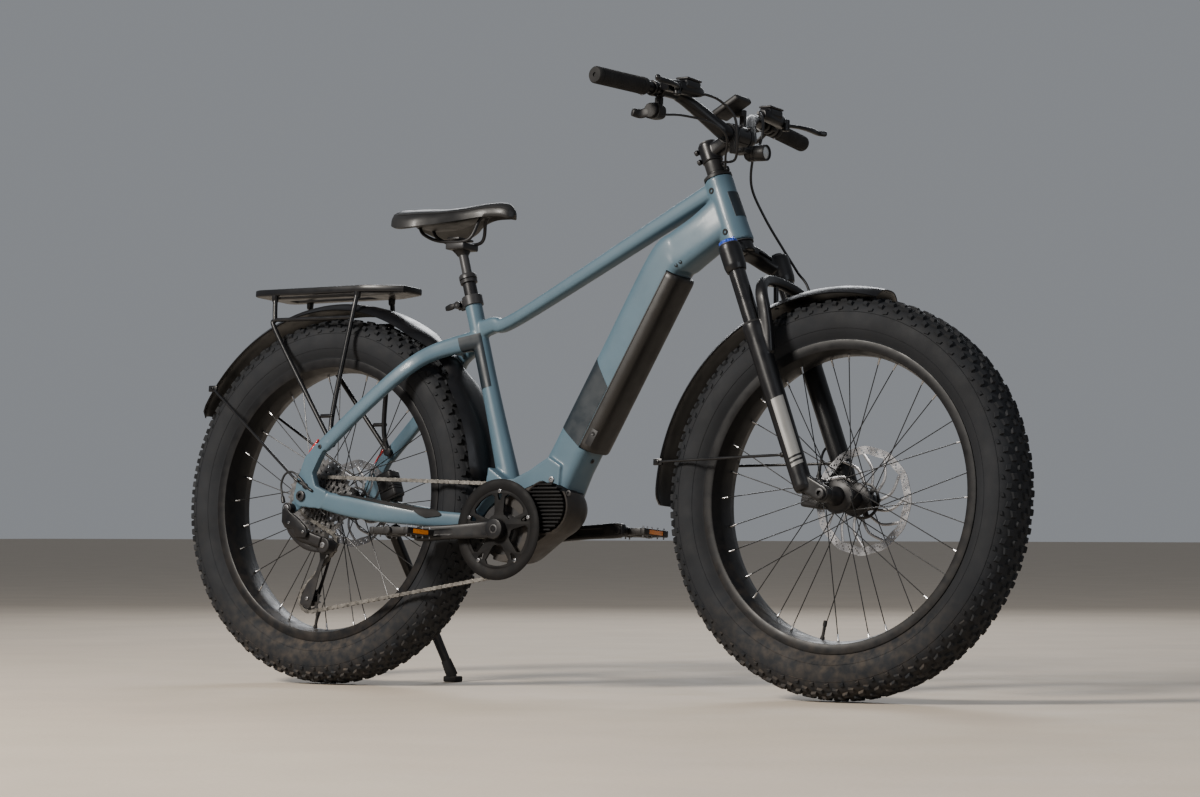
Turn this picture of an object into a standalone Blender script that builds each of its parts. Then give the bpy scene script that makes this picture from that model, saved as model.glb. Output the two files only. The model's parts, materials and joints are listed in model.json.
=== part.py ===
# Electric bicycle with fat tyres, a mid motor and a rear rack, leaning on its kickstand.
# Bike frame while modelling: +X forward, +Y to the rider's left, +Z up, metres.
# The last step leans the whole bike on its stand and puts the floor at z = 0.
import math

import bmesh
import bpy
from mathutils import Matrix, Vector

# Driving dimensions
LEAN = math.radians(4.5)
FIT = 0.0003
WHEELBASE = 1.200
TYRE_RADIUS = 0.3705
TYRE_WIDTH = 0.102
TYRE_WALL = 0.006
RIM_RADIUS = 0.2865
RIM_WIDTH = 0.080
RIM_LIP = 0.0020
RIM_DEPTH = 0.024
BEAD_DEPTH = 0.0068
WHEEL_STEPS = 32
SPOKES_PER_SIDE = 16
SPOKE_CROSSING = math.radians(67.5)
SPOKE_RADIUS = 0.0011

HEAD_ANGLE = math.radians(68.0)
FORK_LENGTH = 0.5435
FORK_OFFSET = 0.0586
HEAD_TUBE_LENGTH = 0.136
HEAD_TUBE_TOP_RADIUS = 0.027
HEAD_TUBE_BASE_RADIUS = 0.0305
HEAD_BORE_RADIUS = 0.0205
STEERER_RADIUS = 0.0143
BEARING_HEIGHT = 0.012

BOTTOM_BRACKET_DROP = 0.0636
CHAINSTAY_REACH = 0.4624
SEAT_ANGLE = math.radians(72.8)
SEAT_TUBE_LENGTH = 0.488
SEAT_TUBE_RADIUS = 0.0173
POST_RADIUS = 0.0136
DOWN_TUBE_ANGLE = math.radians(61.0)
DOWN_TUBE_DEPTH = 0.077
DOWN_TUBE_WIDTH = 0.078
TOP_TUBE_ANGLE = math.radians(26.8)
TOP_TUBE_ON_HEAD = 0.1194
TOP_TUBE_ON_SEAT = 0.4180
TOP_TUBE_HEIGHT = 0.030
TOP_TUBE_WIDTH = 0.038
STAY_SPREAD = 0.1065
DROPOUT_INNER = 0.0985
DROPOUT_OUTER = 0.1150
AXLE_RADIUS = 0.0060

BATTERY_START = 0.218
BATTERY_LENGTH = 0.383
BATTERY_FRONT = 0.0895
BATTERY_SEAM = 0.0605
BATTERY_FLOOR = 0.0310
BATTERY_CORE_WIDTH = 0.066

MOTOR_WIDTH = 0.100
MOTOR_RADIUS = 0.060
DRUM_RADIUS = 0.048
DRUM_WIDTH = 0.122
DRUM_AHEAD = 0.0976
DRUM_ABOVE = 0.0441
COVER_WALL = 0.0048
SPINDLE_RADIUS = 0.0090

CRANK_LENGTH = 0.170
CRANK_TILT = math.radians(3.8)
CRANK_INNER = 0.0715
CRANK_THICKNESS = 0.0150
CRANK_FLARE = 0.0180
PEDAL_LENGTH = 0.098
PEDAL_WIDTH = 0.096
PEDAL_THICKNESS = 0.017
PEDAL_AXLE_RADIUS = 0.0070
CHAIN_PITCH = 0.0127
CHAINRING_TEETH = 44
CHAIN_LINE = 0.0640
CHAINRING_THICKNESS = 0.0025
GUARD_RADIUS = 0.0985
CHAIN_HEIGHT = 0.0082
CHAIN_WIDTH = 0.0052
CHAIN_GAP = 0.0010
COG_TEETH = (11, 13, 15, 18, 21, 24, 28, 34, 40)
COG_SPACING = 0.00435
COG_THICKNESS = 0.0018
CHAIN_COG = 4
SMALL_COG_OUT = 0.0917
GUIDE_TEETH = 11
TENSION_TEETH = 13
PULLEY_THICKNESS = 0.0024
CAGE_HALF_GAP = 0.0085
CAGE_PLATE = 0.0020

FORK_SPREAD = 0.0860
FORK_LEG_OFFSET = 0.0250
STANCHION_RADIUS = 0.0160
LEG_RADIUS = 0.0205
SEAL_DEPTH = 0.190
CAP_DEPTH = 0.0280
FORK_TRAVEL = 0.080
FRONT_HUB_HALF = 0.0750
REAR_ROTOR_RADIUS = 0.0900
FRONT_ROTOR_RADIUS = 0.1015
ROTOR_THICKNESS = 0.0020
FRONT_ROTOR_OUT = 0.0585
REAR_ROTOR_OUT = 0.0585

FENDER_HALF_WIDTH = 0.0560
FENDER_WALL = 0.0022
FRONT_FENDER_RADIUS = 0.390
REAR_FENDER_RADIUS = 0.392

STEM_RISE = 0.1914
STEM_REACH = 0.0638
BAR_RADIUS = 0.0111
BAR_CLAMP_RADIUS = 0.0159
BAR_HALF_WIDTH = 0.3620
BAR_RISE = 0.0600
BAR_DROP = 0.0050
BAR_SWEEP = 0.0770
GRIP_RADIUS = 0.0160
GRIP_LENGTH = 0.1350

POST_HEIGHT = 0.5390
SHAFT_RADIUS = 0.0098
SADDLE_LENGTH = 0.272
SADDLE_WIDTH = 0.180
SADDLE_REAR = -0.455
SADDLE_TOP = 0.958

RACK_LENGTH = 0.374
RACK_WIDTH = 0.126
RACK_THICKNESS = 0.014
RACK_REAR = -0.805
RACK_TOP = 0.8025
RACK_ROD = 0.0050
HOSE_RADIUS = 0.0025
CABLE_RADIUS = 0.0022

KICK_FOOT = Vector((-0.452, 0.222))

# Reference points and directions of the bike
UP = Vector((0, 0, 1))
LEFT = Vector((0, 1, 0))
REAR_AXLE = Vector((-WHEELBASE / 2, 0, TYRE_RADIUS))
FRONT_AXLE = Vector((WHEELBASE / 2, 0, TYRE_RADIUS))
BOTTOM_BRACKET = REAR_AXLE + Vector((CHAINSTAY_REACH, 0, -BOTTOM_BRACKET_DROP))
STEER_UP = Vector((-math.cos(HEAD_ANGLE), 0, math.sin(HEAD_ANGLE)))
STEER_AHEAD = Vector((math.sin(HEAD_ANGLE), 0, math.cos(HEAD_ANGLE)))
HEAD_BASE = FRONT_AXLE - STEER_AHEAD * FORK_OFFSET + STEER_UP * FORK_LENGTH
SEAT_UP = Vector((-math.cos(SEAT_ANGLE), 0, math.sin(SEAT_ANGLE)))
DOWN_TUBE_UP = Vector((math.cos(DOWN_TUBE_ANGLE), 0, math.sin(DOWN_TUBE_ANGLE)))
DOWN_TUBE_AHEAD = Vector((math.sin(DOWN_TUBE_ANGLE), 0, -math.cos(DOWN_TUBE_ANGLE)))
TOP_TUBE_UP = Vector((math.cos(TOP_TUBE_ANGLE), 0, math.sin(TOP_TUBE_ANGLE)))
DRUM_CENTRE = BOTTOM_BRACKET + Vector((DRUM_AHEAD, 0, DRUM_ABOVE))
DROPOUT_MIDDLE = (DROPOUT_INNER + DROPOUT_OUTER) / 2
COG_LINE = SMALL_COG_OUT - CHAIN_COG * COG_SPACING


def on_head(height, ahead=0.0, left=0.0):
    """Point at a height along the steering axis, from the lower end of the head tube."""
    return HEAD_BASE + STEER_UP * height + STEER_AHEAD * ahead + LEFT * left


def on_seat(height, ahead=0.0, left=0.0):
    """Point at a height along the seat tube, from the bottom bracket."""
    across = Vector((math.sin(SEAT_ANGLE), 0, math.cos(SEAT_ANGLE)))
    return BOTTOM_BRACKET + SEAT_UP * height + across * ahead + LEFT * left


def on_down(height, depth, left=0.0):
    """Point along the down tube, with depth measured forward from its rear edge."""
    return BOTTOM_BRACKET + DOWN_TUBE_UP * height + DOWN_TUBE_AHEAD * depth + LEFT * left


def at(origin, ahead, left, above):
    return origin + Vector((ahead, left, above))


def pitch_radius(teeth):
    return CHAIN_PITCH * teeth / (2 * math.pi)


def root_radius(teeth):
    """Outside radius of a toothed wheel that stays clear of the chain laid on it."""
    return pitch_radius(teeth) - CHAIN_HEIGHT / 2 - CHAIN_GAP


# Basic solids
def object_from(bm, name="piece"):
    bmesh.ops.recalc_face_normals(bm, faces=bm.faces)
    mesh = bpy.data.meshes.new(name)
    bm.to_mesh(mesh)
    bm.free()
    piece = bpy.data.objects.new(name, mesh)
    bpy.context.scene.collection.objects.link(piece)
    return piece


def loft(rings, close=False):
    """Solid through rings of points, capped at both ends or closed into a loop."""
    bm = bmesh.new()
    rows = [[bm.verts.new(point) for point in ring] for ring in rings]
    count = len(rows[0])
    pairs = list(zip(rows, rows[1:]))
    if close:
        pairs.append((rows[-1], rows[0]))
    for first, second in pairs:
        for i in range(count):
            j = (i + 1) % count
            bm.faces.new((first[i], first[j], second[j], second[i]))
    if not close:
        bm.faces.new(list(reversed(rows[0])))
        bm.faces.new(rows[-1])
    return object_from(bm)


def across_of(direction, towards=LEFT):
    """Two unit vectors square to a direction, the first as near to the wanted side as it can be."""
    side = towards - direction * towards.dot(direction)
    if side.length < 0.1:
        side = Vector((1, 0, 0)) - direction * direction.x
    side.normalize()
    return side, direction.cross(side)


def turned(profile, centre, axis=LEFT, steps=16, ring=False, phase=0.0):
    """Solid of revolution through (radius, distance along the axis) points."""
    axis = axis.normalized()
    side, up = across_of(axis)
    rings = []
    for step in range(steps):
        angle = 2 * math.pi * step / steps + phase
        out = side * math.cos(angle) + up * math.sin(angle)
        rings.append([centre + out * radius + axis * along for radius, along in profile])
    if ring:
        return loft(rings, close=True)
    rows = [list(row) for row in zip(*rings)]
    return loft(rows)


def rod(start, end, radius, end_radius=None, steps=12):
    end_radius = radius if end_radius is None else end_radius
    length = (end - start).length
    return turned([(radius, 0), (end_radius, length)], start, end - start, steps)


def swept(stations, sides=12, roundness=2.0, towards=LEFT):
    """Tube through (point, half width, half height) stations with a rounded section."""
    points = [Vector(point) for point, _, _ in stations]
    rings = []
    for i, (_, half_width, half_height) in enumerate(stations):
        before = points[max(i - 1, 0)]
        after = points[min(i + 1, len(points) - 1)]
        side, up = across_of((after - before).normalized(), towards)
        ring = []
        for step in range(sides):
            angle = 2 * math.pi * (step + 0.5) / sides
            cosine = math.cos(angle)
            sine = math.sin(angle)
            wide = math.copysign(abs(cosine) ** (2 / roundness), cosine) * half_width
            high = math.copysign(abs(sine) ** (2 / roundness), sine) * half_height
            ring.append(points[i] + side * wide + up * high)
        rings.append(ring)
    return loft(rings)


def plate(outline, low, high, origin=Vector((0, 0, 0)), ahead=Vector((1, 0, 0)), up=UP):
    """Prism of an outline of (ahead, up) points between two distances to the left."""
    side = up.cross(ahead)
    flat = [origin + ahead * a + up * b for a, b in outline]
    return loft([[p + side * low for p in flat], [p + side * high for p in flat]])


def block(centre, size, ahead=Vector((1, 0, 0)), up=UP):
    length, width, height = size
    corners = ((-length / 2, -height / 2), (length / 2, -height / 2),
               (length / 2, height / 2), (-length / 2, height / 2))
    return plate(corners, -width / 2, width / 2, centre, ahead, up)


def arc(centre, radius, start, end, steps):
    """(x, z) points along an arc, angles in degrees from +X towards +Z."""
    points = []
    for step in range(steps + 1):
        angle = math.radians(start + (end - start) * step / steps)
        points.append((centre[0] + radius * math.cos(angle), centre[1] + radius * math.sin(angle)))
    return points


def belt_outline(first, first_radius, second, second_radius, steps=8):
    """Outline round two circles given as (x, z), as a tight belt would lie."""
    dx = second[0] - first[0]
    dz = second[1] - first[1]
    heading = math.degrees(math.atan2(dz, dx))
    lean = math.degrees(math.acos((first_radius - second_radius) / math.hypot(dx, dz)))
    outline = arc(first, first_radius, heading + lean, heading + 360 - lean, steps)
    outline += arc(second, second_radius, heading - lean, heading + lean, steps)
    return outline


def xz(point):
    return (point.x, point.z)


def tidy(mesh):
    """Merge the flat facets that cuts and joins have split."""
    bm = bmesh.new()
    bm.from_mesh(mesh)
    bmesh.ops.dissolve_limit(bm, angle_limit=math.radians(0.2), verts=bm.verts, edges=bm.edges)
    bmesh.ops.triangulate(bm, faces=bm.faces)
    bm.to_mesh(mesh)
    bm.free()


def combine(base, operation, tools):
    """Cut, join or intersect the tool solids with the base and drop the tools."""
    for tool in tools:
        step = base.modifiers.new(operation, "BOOLEAN")
        step.operation = operation
        step.object = tool
        step.solver = "EXACT"
    depsgraph = bpy.context.evaluated_depsgraph_get()
    mesh = bpy.data.meshes.new_from_object(base.evaluated_get(depsgraph))
    base.modifiers.clear()
    base.data = mesh
    for tool in tools:
        bpy.data.objects.remove(tool)
    return base


def union(base, *tools):
    return combine(base, "UNION", tools)


def cut(base, *tools):
    return combine(base, "DIFFERENCE", tools)


def mirrored(piece):
    """The solid turned over to the other side of the bike."""
    piece.data.transform(Matrix.Scale(-1, 4, LEFT))
    piece.data.flip_normals()
    return piece


def smooth_curve(points, spacing):
    """Evenly spaced points along a Catmull-Rom curve through hand-chosen points."""
    ends = [points[0] * 2 - points[1]] + list(points) + [points[-1] * 2 - points[-2]]
    fine = []
    for a, b, c, d in zip(ends, ends[1:], ends[2:], ends[3:]):
        for step in range(24):
            t = step / 24
            fine.append(0.5 * (2 * b + (c - a) * t + (2 * a - 5 * b + 4 * c - d) * t * t
                               + (3 * b - a - 3 * c + d) * t * t * t))
    fine.append(points[-1])
    length = sum((q - p).length for p, q in zip(fine, fine[1:]))
    count = max(3, round(length / spacing))
    result = [fine[0]]
    run = 0.0
    for p, q in zip(fine, fine[1:]):
        piece = (q - p).length
        while len(result) < count and run + piece >= length * len(result) / count:
            part = (length * len(result) / count - run) / piece
            result.append(p.lerp(q, part))
        run += piece
    result.append(fine[-1])
    return result


def clear_of(radius, steps):
    """Radius of a faceted bore that clears a round bar by the fit at the middle of its facets."""
    return (radius + FIT) / math.cos(math.pi / steps)


def hose(points, radius, spacing):
    """A cable or hose as a round bevelled curve, turned into its solid."""
    curve = bpy.data.curves.new("hose", "CURVE")
    curve.dimensions = "3D"
    curve.bevel_depth = radius
    curve.bevel_resolution = 2
    curve.use_fill_caps = True
    route = smooth_curve(points, spacing)
    spline = curve.splines.new("POLY")
    spline.points.add(len(route) - 1)
    for slot, point in zip(spline.points, route):
        slot.co = (*point, 1.0)
    guide = bpy.data.objects.new("hose", curve)
    bpy.context.scene.collection.objects.link(guide)
    depsgraph = bpy.context.evaluated_depsgraph_get()
    mesh = bpy.data.meshes.new_from_object(guide.evaluated_get(depsgraph))
    bpy.data.objects.remove(guide)
    bm = bmesh.new()
    bm.from_mesh(mesh)
    bmesh.ops.remove_doubles(bm, verts=bm.verts, dist=0.00001)
    return object_from(bm)


# Bodies: one empty on each joint axis, named after the body that it carries
BODIES = {}


def body(name, parent=None, point=Vector((0, 0, 0)), axis=UP):
    """Empty on a joint axis, its own Z along the axis, parented to the body that carries it."""
    side, up = across_of(axis.normalized())
    frame = Matrix((side, up, axis.normalized())).transposed().to_4x4()
    frame.translation = point
    if parent is None:
        frame = Matrix.Identity(4)
    empty = bpy.data.objects.new(name + "_axis", None)
    empty.empty_display_size = 0.05
    bpy.context.scene.collection.objects.link(empty)
    if parent is not None:
        empty.parent = BODIES[parent][0]
        empty.matrix_local = BODIES[parent][1].inverted() @ frame
    BODIES[name] = (empty, frame)


def material(name, colour, roughness, metallic):
    made = bpy.data.materials.new(name)
    made.use_nodes = True
    shader = made.node_tree.nodes["Principled BSDF"]
    shader.inputs["Base Color"].default_value = (*colour, 1.0)
    shader.inputs["Roughness"].default_value = roughness
    shader.inputs["Metallic"].default_value = metallic
    made.diffuse_color = (*colour, 1.0)
    return made


BLUE_PAINT = ((0.115, 0.185, 0.225), 0.35, 0.3)
BLACK_PAINT = ((0.012, 0.013, 0.016), 0.35, 0.0)
BLACK_METAL = ((0.02, 0.02, 0.024), 0.4, 0.8)
BLACK_PLASTIC = ((0.016, 0.016, 0.017), 0.55, 0.0)
RUBBER = ((0.030, 0.031, 0.033), 0.85, 0.0)
STEEL = ((0.32, 0.31, 0.30), 0.35, 0.9)
DARK_STEEL = ((0.09, 0.09, 0.09), 0.4, 0.9)
BLUE_DIAL = ((0.01, 0.06, 0.45), 0.4, 0.0)


def node(name, piece, finish, carried_by):
    """Name a finished solid, give it its material and hang it on its body."""
    empty, frame = BODIES[carried_by]
    piece.name = name
    piece.data.name = name
    tidy(piece.data)
    piece.data.transform(frame.inverted())
    piece.parent = empty
    piece.data.materials.clear()
    piece.data.materials.append(material(name, *finish))
    piece.data.shade_smooth()
    piece.data.set_sharp_from_angle(angle=math.radians(35))
    return piece


# Wheels
def tyre(axle):
    half = TYRE_WIDTH / 2
    bead = RIM_WIDTH / 2 - RIM_LIP - FIT
    seat = RIM_RADIUS - BEAD_DEPTH + FIT
    tall = TYRE_RADIUS - RIM_RADIUS
    outer = [(seat, bead), (RIM_RADIUS + 0.002, bead), (RIM_RADIUS + 0.26 * tall, 0.97 * half),
             (RIM_RADIUS + 0.56 * tall, half), (RIM_RADIUS + 0.85 * tall, 0.84 * half),
             (TYRE_RADIUS, 0.42 * half)]
    wall = TYRE_WALL
    inner = [(TYRE_RADIUS - 1.5 * wall, 0.62 * half), (seat, bead - 0.7 * wall)]
    right = [(radius, -along) for radius, along in outer + inner]
    left = [(radius, along) for radius, along in outer + inner]
    profile = right[:6] + left[5::-1] + left[:5:-1] + right[6:]
    return turned(profile, axle, steps=WHEEL_STEPS, ring=True)


def rim(axle, flanges):
    """Rim with the spokes that stand on it, up to the faces of the hub's flanges."""
    half = RIM_WIDTH / 2
    bed = RIM_RADIUS - BEAD_DEPTH
    side = [(RIM_RADIUS, half), (RIM_RADIUS, half - RIM_LIP), (bed, half - RIM_LIP)]
    under = [(RIM_RADIUS - 0.7 * RIM_DEPTH, half), (RIM_RADIUS - RIM_DEPTH, 0.4 * half)]
    profile = ([(r, y) for r, y in side] + [(r, -y) for r, y in reversed(side)]
               + [(r, -y) for r, y in under] + [(r, y) for r, y in reversed(under)])
    return union(turned(profile, axle, steps=WHEEL_STEPS, ring=True), *spokes(axle, flanges))


def spokes(axle, flanges):
    """All the spokes of a wheel, laced three-cross from the two hub flanges to the rim."""
    rim_radius = RIM_RADIUS - RIM_DEPTH + 0.002
    pitch = 2 * math.pi / SPOKES_PER_SIDE
    pieces = []
    for side, flange in enumerate(flanges):
        for hole in range(SPOKES_PER_SIDE):
            pull = 1 if hole % 2 else -1
            start = hole * pitch + side * pitch / 2
            end = start + pull * SPOKE_CROSSING
            head_out = flange + pull * (1.3 * FLANGE_HALF + SPOKE_RADIUS + 2 * FIT)
            nipple_out = math.copysign(0.012, flange)
            head = at(axle, SPOKE_HOLE_RADIUS * math.cos(start), head_out,
                      SPOKE_HOLE_RADIUS * math.sin(start))
            tip = at(axle, rim_radius * math.cos(end), nipple_out, rim_radius * math.sin(end))
            pieces.append(rod(head, tip, SPOKE_RADIUS, steps=3))
    return pieces


FLANGE_RADIUS = 0.0315
FLANGE_HALF = 0.0017
HUB_END_RADIUS = 0.0105
SPOKE_HOLE_RADIUS = 0.0290
REAR_FLANGES = (-0.040, 0.036)
FRONT_FLANGES = (-0.034, 0.030)


def front_hub():
    bore = AXLE_RADIUS + FIT
    end = FRONT_HUB_HALF - FIT
    seat = FRONT_ROTOR_OUT - FIT
    profile = [(bore, -end), (HUB_END_RADIUS, -end), (HUB_END_RADIUS, -0.042)]
    profile += flange_profile(FRONT_FLANGES[0]) + flange_profile(FRONT_FLANGES[1])
    profile += [(0.0200, 0.038), (0.0200, seat), (HUB_END_RADIUS, seat), (HUB_END_RADIUS, end), (bore, end)]
    return turned(profile, FRONT_AXLE, steps=12, ring=True)


def rear_hub():
    bore = AXLE_RADIUS + FIT
    end = DROPOUT_INNER - FIT
    seat = REAR_ROTOR_OUT - FIT
    freehub = cassette_inner()
    body_radius = COG_BORE * math.cos(math.pi / 16) - FIT
    profile = [(bore, -end), (HUB_END_RADIUS, -end), (HUB_END_RADIUS, -SMALL_COG_OUT - 0.003)]
    profile += [(body_radius, -SMALL_COG_OUT - 0.003), (body_radius, -freehub + 0.0015)]
    profile += flange_profile(REAR_FLANGES[0]) + flange_profile(REAR_FLANGES[1])
    profile += [(0.0200, 0.044), (0.0200, seat), (HUB_END_RADIUS, seat), (HUB_END_RADIUS, end), (bore, end)]
    return turned(profile, REAR_AXLE, steps=12, ring=True)


def flange_profile(out):
    return [(0.0170, out - 2.5 * FLANGE_HALF), (FLANGE_RADIUS, out - FLANGE_HALF),
            (FLANGE_RADIUS, out + FLANGE_HALF), (0.0170, out + 2.5 * FLANGE_HALF)]


COG_BORE = 0.0165
SOLID_COGS = 3


def cassette_inner():
    return SMALL_COG_OUT - (len(COG_TEETH) - 1) * COG_SPACING - COG_THICKNESS / 2


def cassette():
    half = COG_THICKNESS / 2
    body_out = SMALL_COG_OUT + half + 0.0015
    body_in = cassette_inner()
    profile = [(COG_BORE, -body_in), (COG_BORE, -body_out), (0.0190, -body_out)]
    for index, teeth in enumerate(COG_TEETH):
        place = SMALL_COG_OUT - index * COG_SPACING
        radius = root_radius(teeth) if index == CHAIN_COG else pitch_radius(teeth)
        profile += [(radius, -place - half), (radius, -place + half)]
        if SOLID_COGS <= index < len(COG_TEETH) - 1:
            profile += [(0.0190, -place + half), (0.0190, -place + COG_SPACING - half)]
    return turned(profile, REAR_AXLE, steps=16, ring=True)


def rotor(axle, radius, inner_face):
    """Brake disc: a ring on six swept arms and a hub plate."""
    outer = inner_face + ROTOR_THICKNESS
    ring = turned([(radius - 0.015, inner_face), (radius, inner_face), (radius, outer),
                   (radius - 0.015, outer)], axle, steps=24, ring=True)
    arms = []
    for index in range(6):
        angle = 60 * index
        root = arc(xz(axle), 0.0260, angle, angle + 14, 1)
        tip = arc(xz(axle), radius - 0.0135, angle + 26, angle + 36, 1)
        arms.append(plate([root[0], tip[0], tip[1], root[1]], inner_face, outer))
    centre = turned([(HUB_END_RADIUS + FIT, inner_face), (0.0280, inner_face), (0.0280, outer),
                     (HUB_END_RADIUS + FIT, outer)], axle, steps=12, ring=True)
    return union(ring, *arms, centre)


# Frame
def down_tube():
    half = DOWN_TUBE_DEPTH / 2
    wide = DOWN_TUBE_WIDTH / 2
    top = BATTERY_START + BATTERY_LENGTH
    return swept([(on_down(0.085, half + 0.003), wide * 1.10, half * 1.16),
                  (on_down(0.160, half), wide * 1.02, half * 1.05),
                  (on_down(0.200, half), wide, half * 1.03),
                  (on_down(top, half), wide, half * 1.03),
                  (on_down(top + 0.042, half + 0.016), wide * 0.95, half * 1.06),
                  (on_down(top + 0.095, half + 0.044), wide * 0.86, half * 1.04),
                  (on_head(0.064), wide * 0.68, half * 1.08)], sides=16, roundness=4.2)


def top_tube():
    tall = TOP_TUBE_HEIGHT / 2
    wide = TOP_TUBE_WIDTH / 2
    head = on_head(TOP_TUBE_ON_HEAD)
    return swept([(head, wide * 1.05, tall * 1.15), (head - TOP_TUBE_UP * 0.155, wide, tall * 1.06),
                  (head - TOP_TUBE_UP * 0.513, wide * 0.82, tall * 0.83),
                  (on_seat(TOP_TUBE_ON_SEAT, 0.040), wide * 0.78, tall * 1.05),
                  (on_seat(TOP_TUBE_ON_SEAT), wide * 0.70, tall * 1.15)], sides=12, roundness=3.4)


def seat_tube():
    r = SEAT_TUBE_RADIUS
    return swept([(on_seat(0.060), r * 1.45, r * 1.45), (on_seat(0.130), r * 1.15, r * 1.30),
                  (on_seat(0.300), r, r), (on_seat(SEAT_TUBE_LENGTH), r, r)], sides=12)


def seat_stay():
    """Right seat stay, from the seat tube out and down to the dropout."""
    return swept([(on_seat(0.400, 0.004, -0.004), 0.012, 0.020),
                  (at(REAR_AXLE, 0.272, -0.045, 0.293), 0.011, 0.0165),
                  (at(REAR_AXLE, 0.222, -0.077, 0.256), 0.010, 0.0155),
                  (at(REAR_AXLE, 0.140, -0.094, 0.187), 0.0095, 0.0150),
                  (at(REAR_AXLE, 0.044, -STAY_SPREAD, 0.100), 0.009, 0.0150)], sides=10, roundness=3.0)


def chain_stay():
    """Right chain stay, from the dropout to the yoke behind the motor."""
    return swept([(at(REAR_AXLE, 0.030, -STAY_SPREAD, -0.004), 0.008, 0.0165),
                  (at(REAR_AXLE, 0.100, -0.1040, -0.018), 0.009, 0.0205),
                  (at(REAR_AXLE, 0.190, -0.0995, -0.031), 0.010, 0.0205),
                  (at(REAR_AXLE, 0.285, -0.0800, -0.041), 0.010, 0.0170),
                  (at(REAR_AXLE, 0.350, -0.0600, -0.045), 0.0085, 0.0155),
                  (at(REAR_AXLE, 0.385, -0.0490, -0.046), 0.0085, 0.0155)], sides=10, roundness=3.0)


def dropout():
    """Right dropout: a web from the end of the seat stay round the axle to the chain stay."""
    axle = xz(REAR_AXLE)
    outline = [(axle[0] + 0.060, axle[1] + 0.108), (axle[0] + 0.030, axle[1] + 0.106),
               (axle[0] + 0.003, axle[1] + 0.078), (axle[0] - 0.014, axle[1] + 0.034)]
    outline += arc(axle, 0.0215, 150, 262, 5)
    outline += [(axle[0] + 0.050, axle[1] - 0.026), (axle[0] + 0.062, axle[1] + 0.009),
                (axle[0] + 0.034, axle[1] + 0.020), (axle[0] + 0.024, axle[1] + 0.046),
                (axle[0] + 0.040, axle[1] + 0.076)]
    return plate(outline, -DROPOUT_OUTER, -DROPOUT_INNER)


def hanger_tab():
    """Tab below the right dropout that carries the derailleur."""
    axle = xz(REAR_AXLE)
    hole = xz(DERAILLEUR_BOLT)
    outline = belt_outline(hole, 0.0105, (axle[0], axle[1] - 0.004), 0.016, 6)
    return plate(outline, -HANGER_OUTER, -HANGER_INNER)


DERAILLEUR_BOLT = at(REAR_AXLE, -0.026, 0, -0.0255)
HANGER_INNER = 0.1060
HANGER_OUTER = 0.1120
PORT_REAR = BOTTOM_BRACKET + Vector((0.0096, 0, 0.1006))
PORT_FRONT = BOTTOM_BRACKET + Vector((0.0496, 0, 0.1179))


def motor_solid(grow=0.0):
    """Rounded body of the motor, full on the right and drawn in towards the left and the front."""
    sections = ((-1.00, 0.93, 0.94), (-0.72, 0.95, 1.04), (-0.12, 0.96, 1.07),
                (0.40, 0.94, 0.83), (0.72, 0.87, 0.61), (1.00, 0.72, 0.38))
    rings = []
    for across, bracket, drum in sections:
        left = MOTOR_WIDTH / 2 * across + math.copysign(min(grow, 0.004), across)
        outline = belt_outline(xz(BOTTOM_BRACKET), MOTOR_RADIUS * bracket + grow, xz(DRUM_CENTRE),
                               DRUM_RADIUS * drum + grow, 8)
        rings.append([Vector((x, left, z)) for x, z in outline])
    return loft(rings)


def below_shell(gap):
    """Room under the shell's lower edge, which falls forward from the drum to the down tube."""
    edge = on_down(0.1315, DOWN_TUBE_DEPTH)
    ahead = Vector((math.cos(SHELL_EDGE_ANGLE), 0, math.sin(SHELL_EDGE_ANGLE)))
    up = Vector((-ahead.z, 0, ahead.x))
    return block(edge - up * (0.15 + gap), (0.40, 0.20, 0.30), ahead, up)


SHELL_EDGE_ANGLE = math.radians(-20.3)


def cradle():
    """Shell over the motor that joins the seat tube, the down tube and the chain stays."""
    bb = xz(BOTTOM_BRACKET)
    drum = xz(DRUM_CENTRE)
    front = xz(on_down(0.105, DOWN_TUBE_DEPTH))
    outline = [(bb[0] - 0.084, bb[1] + 0.004), (bb[0] - 0.050, bb[1] + 0.000), bb, drum, front,
               xz(on_down(0.17, DOWN_TUBE_DEPTH * 0.6)), xz(on_down(0.17, 0.012)),
               (bb[0] + 0.0696, bb[1] + 0.1301), xz(PORT_FRONT), xz(PORT_REAR),
               (bb[0] - 0.014, bb[1] + 0.1006), xz(on_seat(0.135, -0.012)),
               (bb[0] - 0.060, bb[1] + 0.060), (bb[0] - 0.082, bb[1] + 0.034)]
    return plate(outline, -0.045, 0.045)


def kick_mount():
    """Plate under the left chain stay that carries the kickstand."""
    centre = KICK_PIVOT + Vector((0, -0.002, 0.0216))
    return block(centre, (0.052, 0.026, 0.0080))


KICK_PIVOT = at(REAR_AXLE, 0.066, 0.1030, -0.0545)
KICK_AXIS = Vector((0.13, 0.906, 0.403)).normalized()


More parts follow.
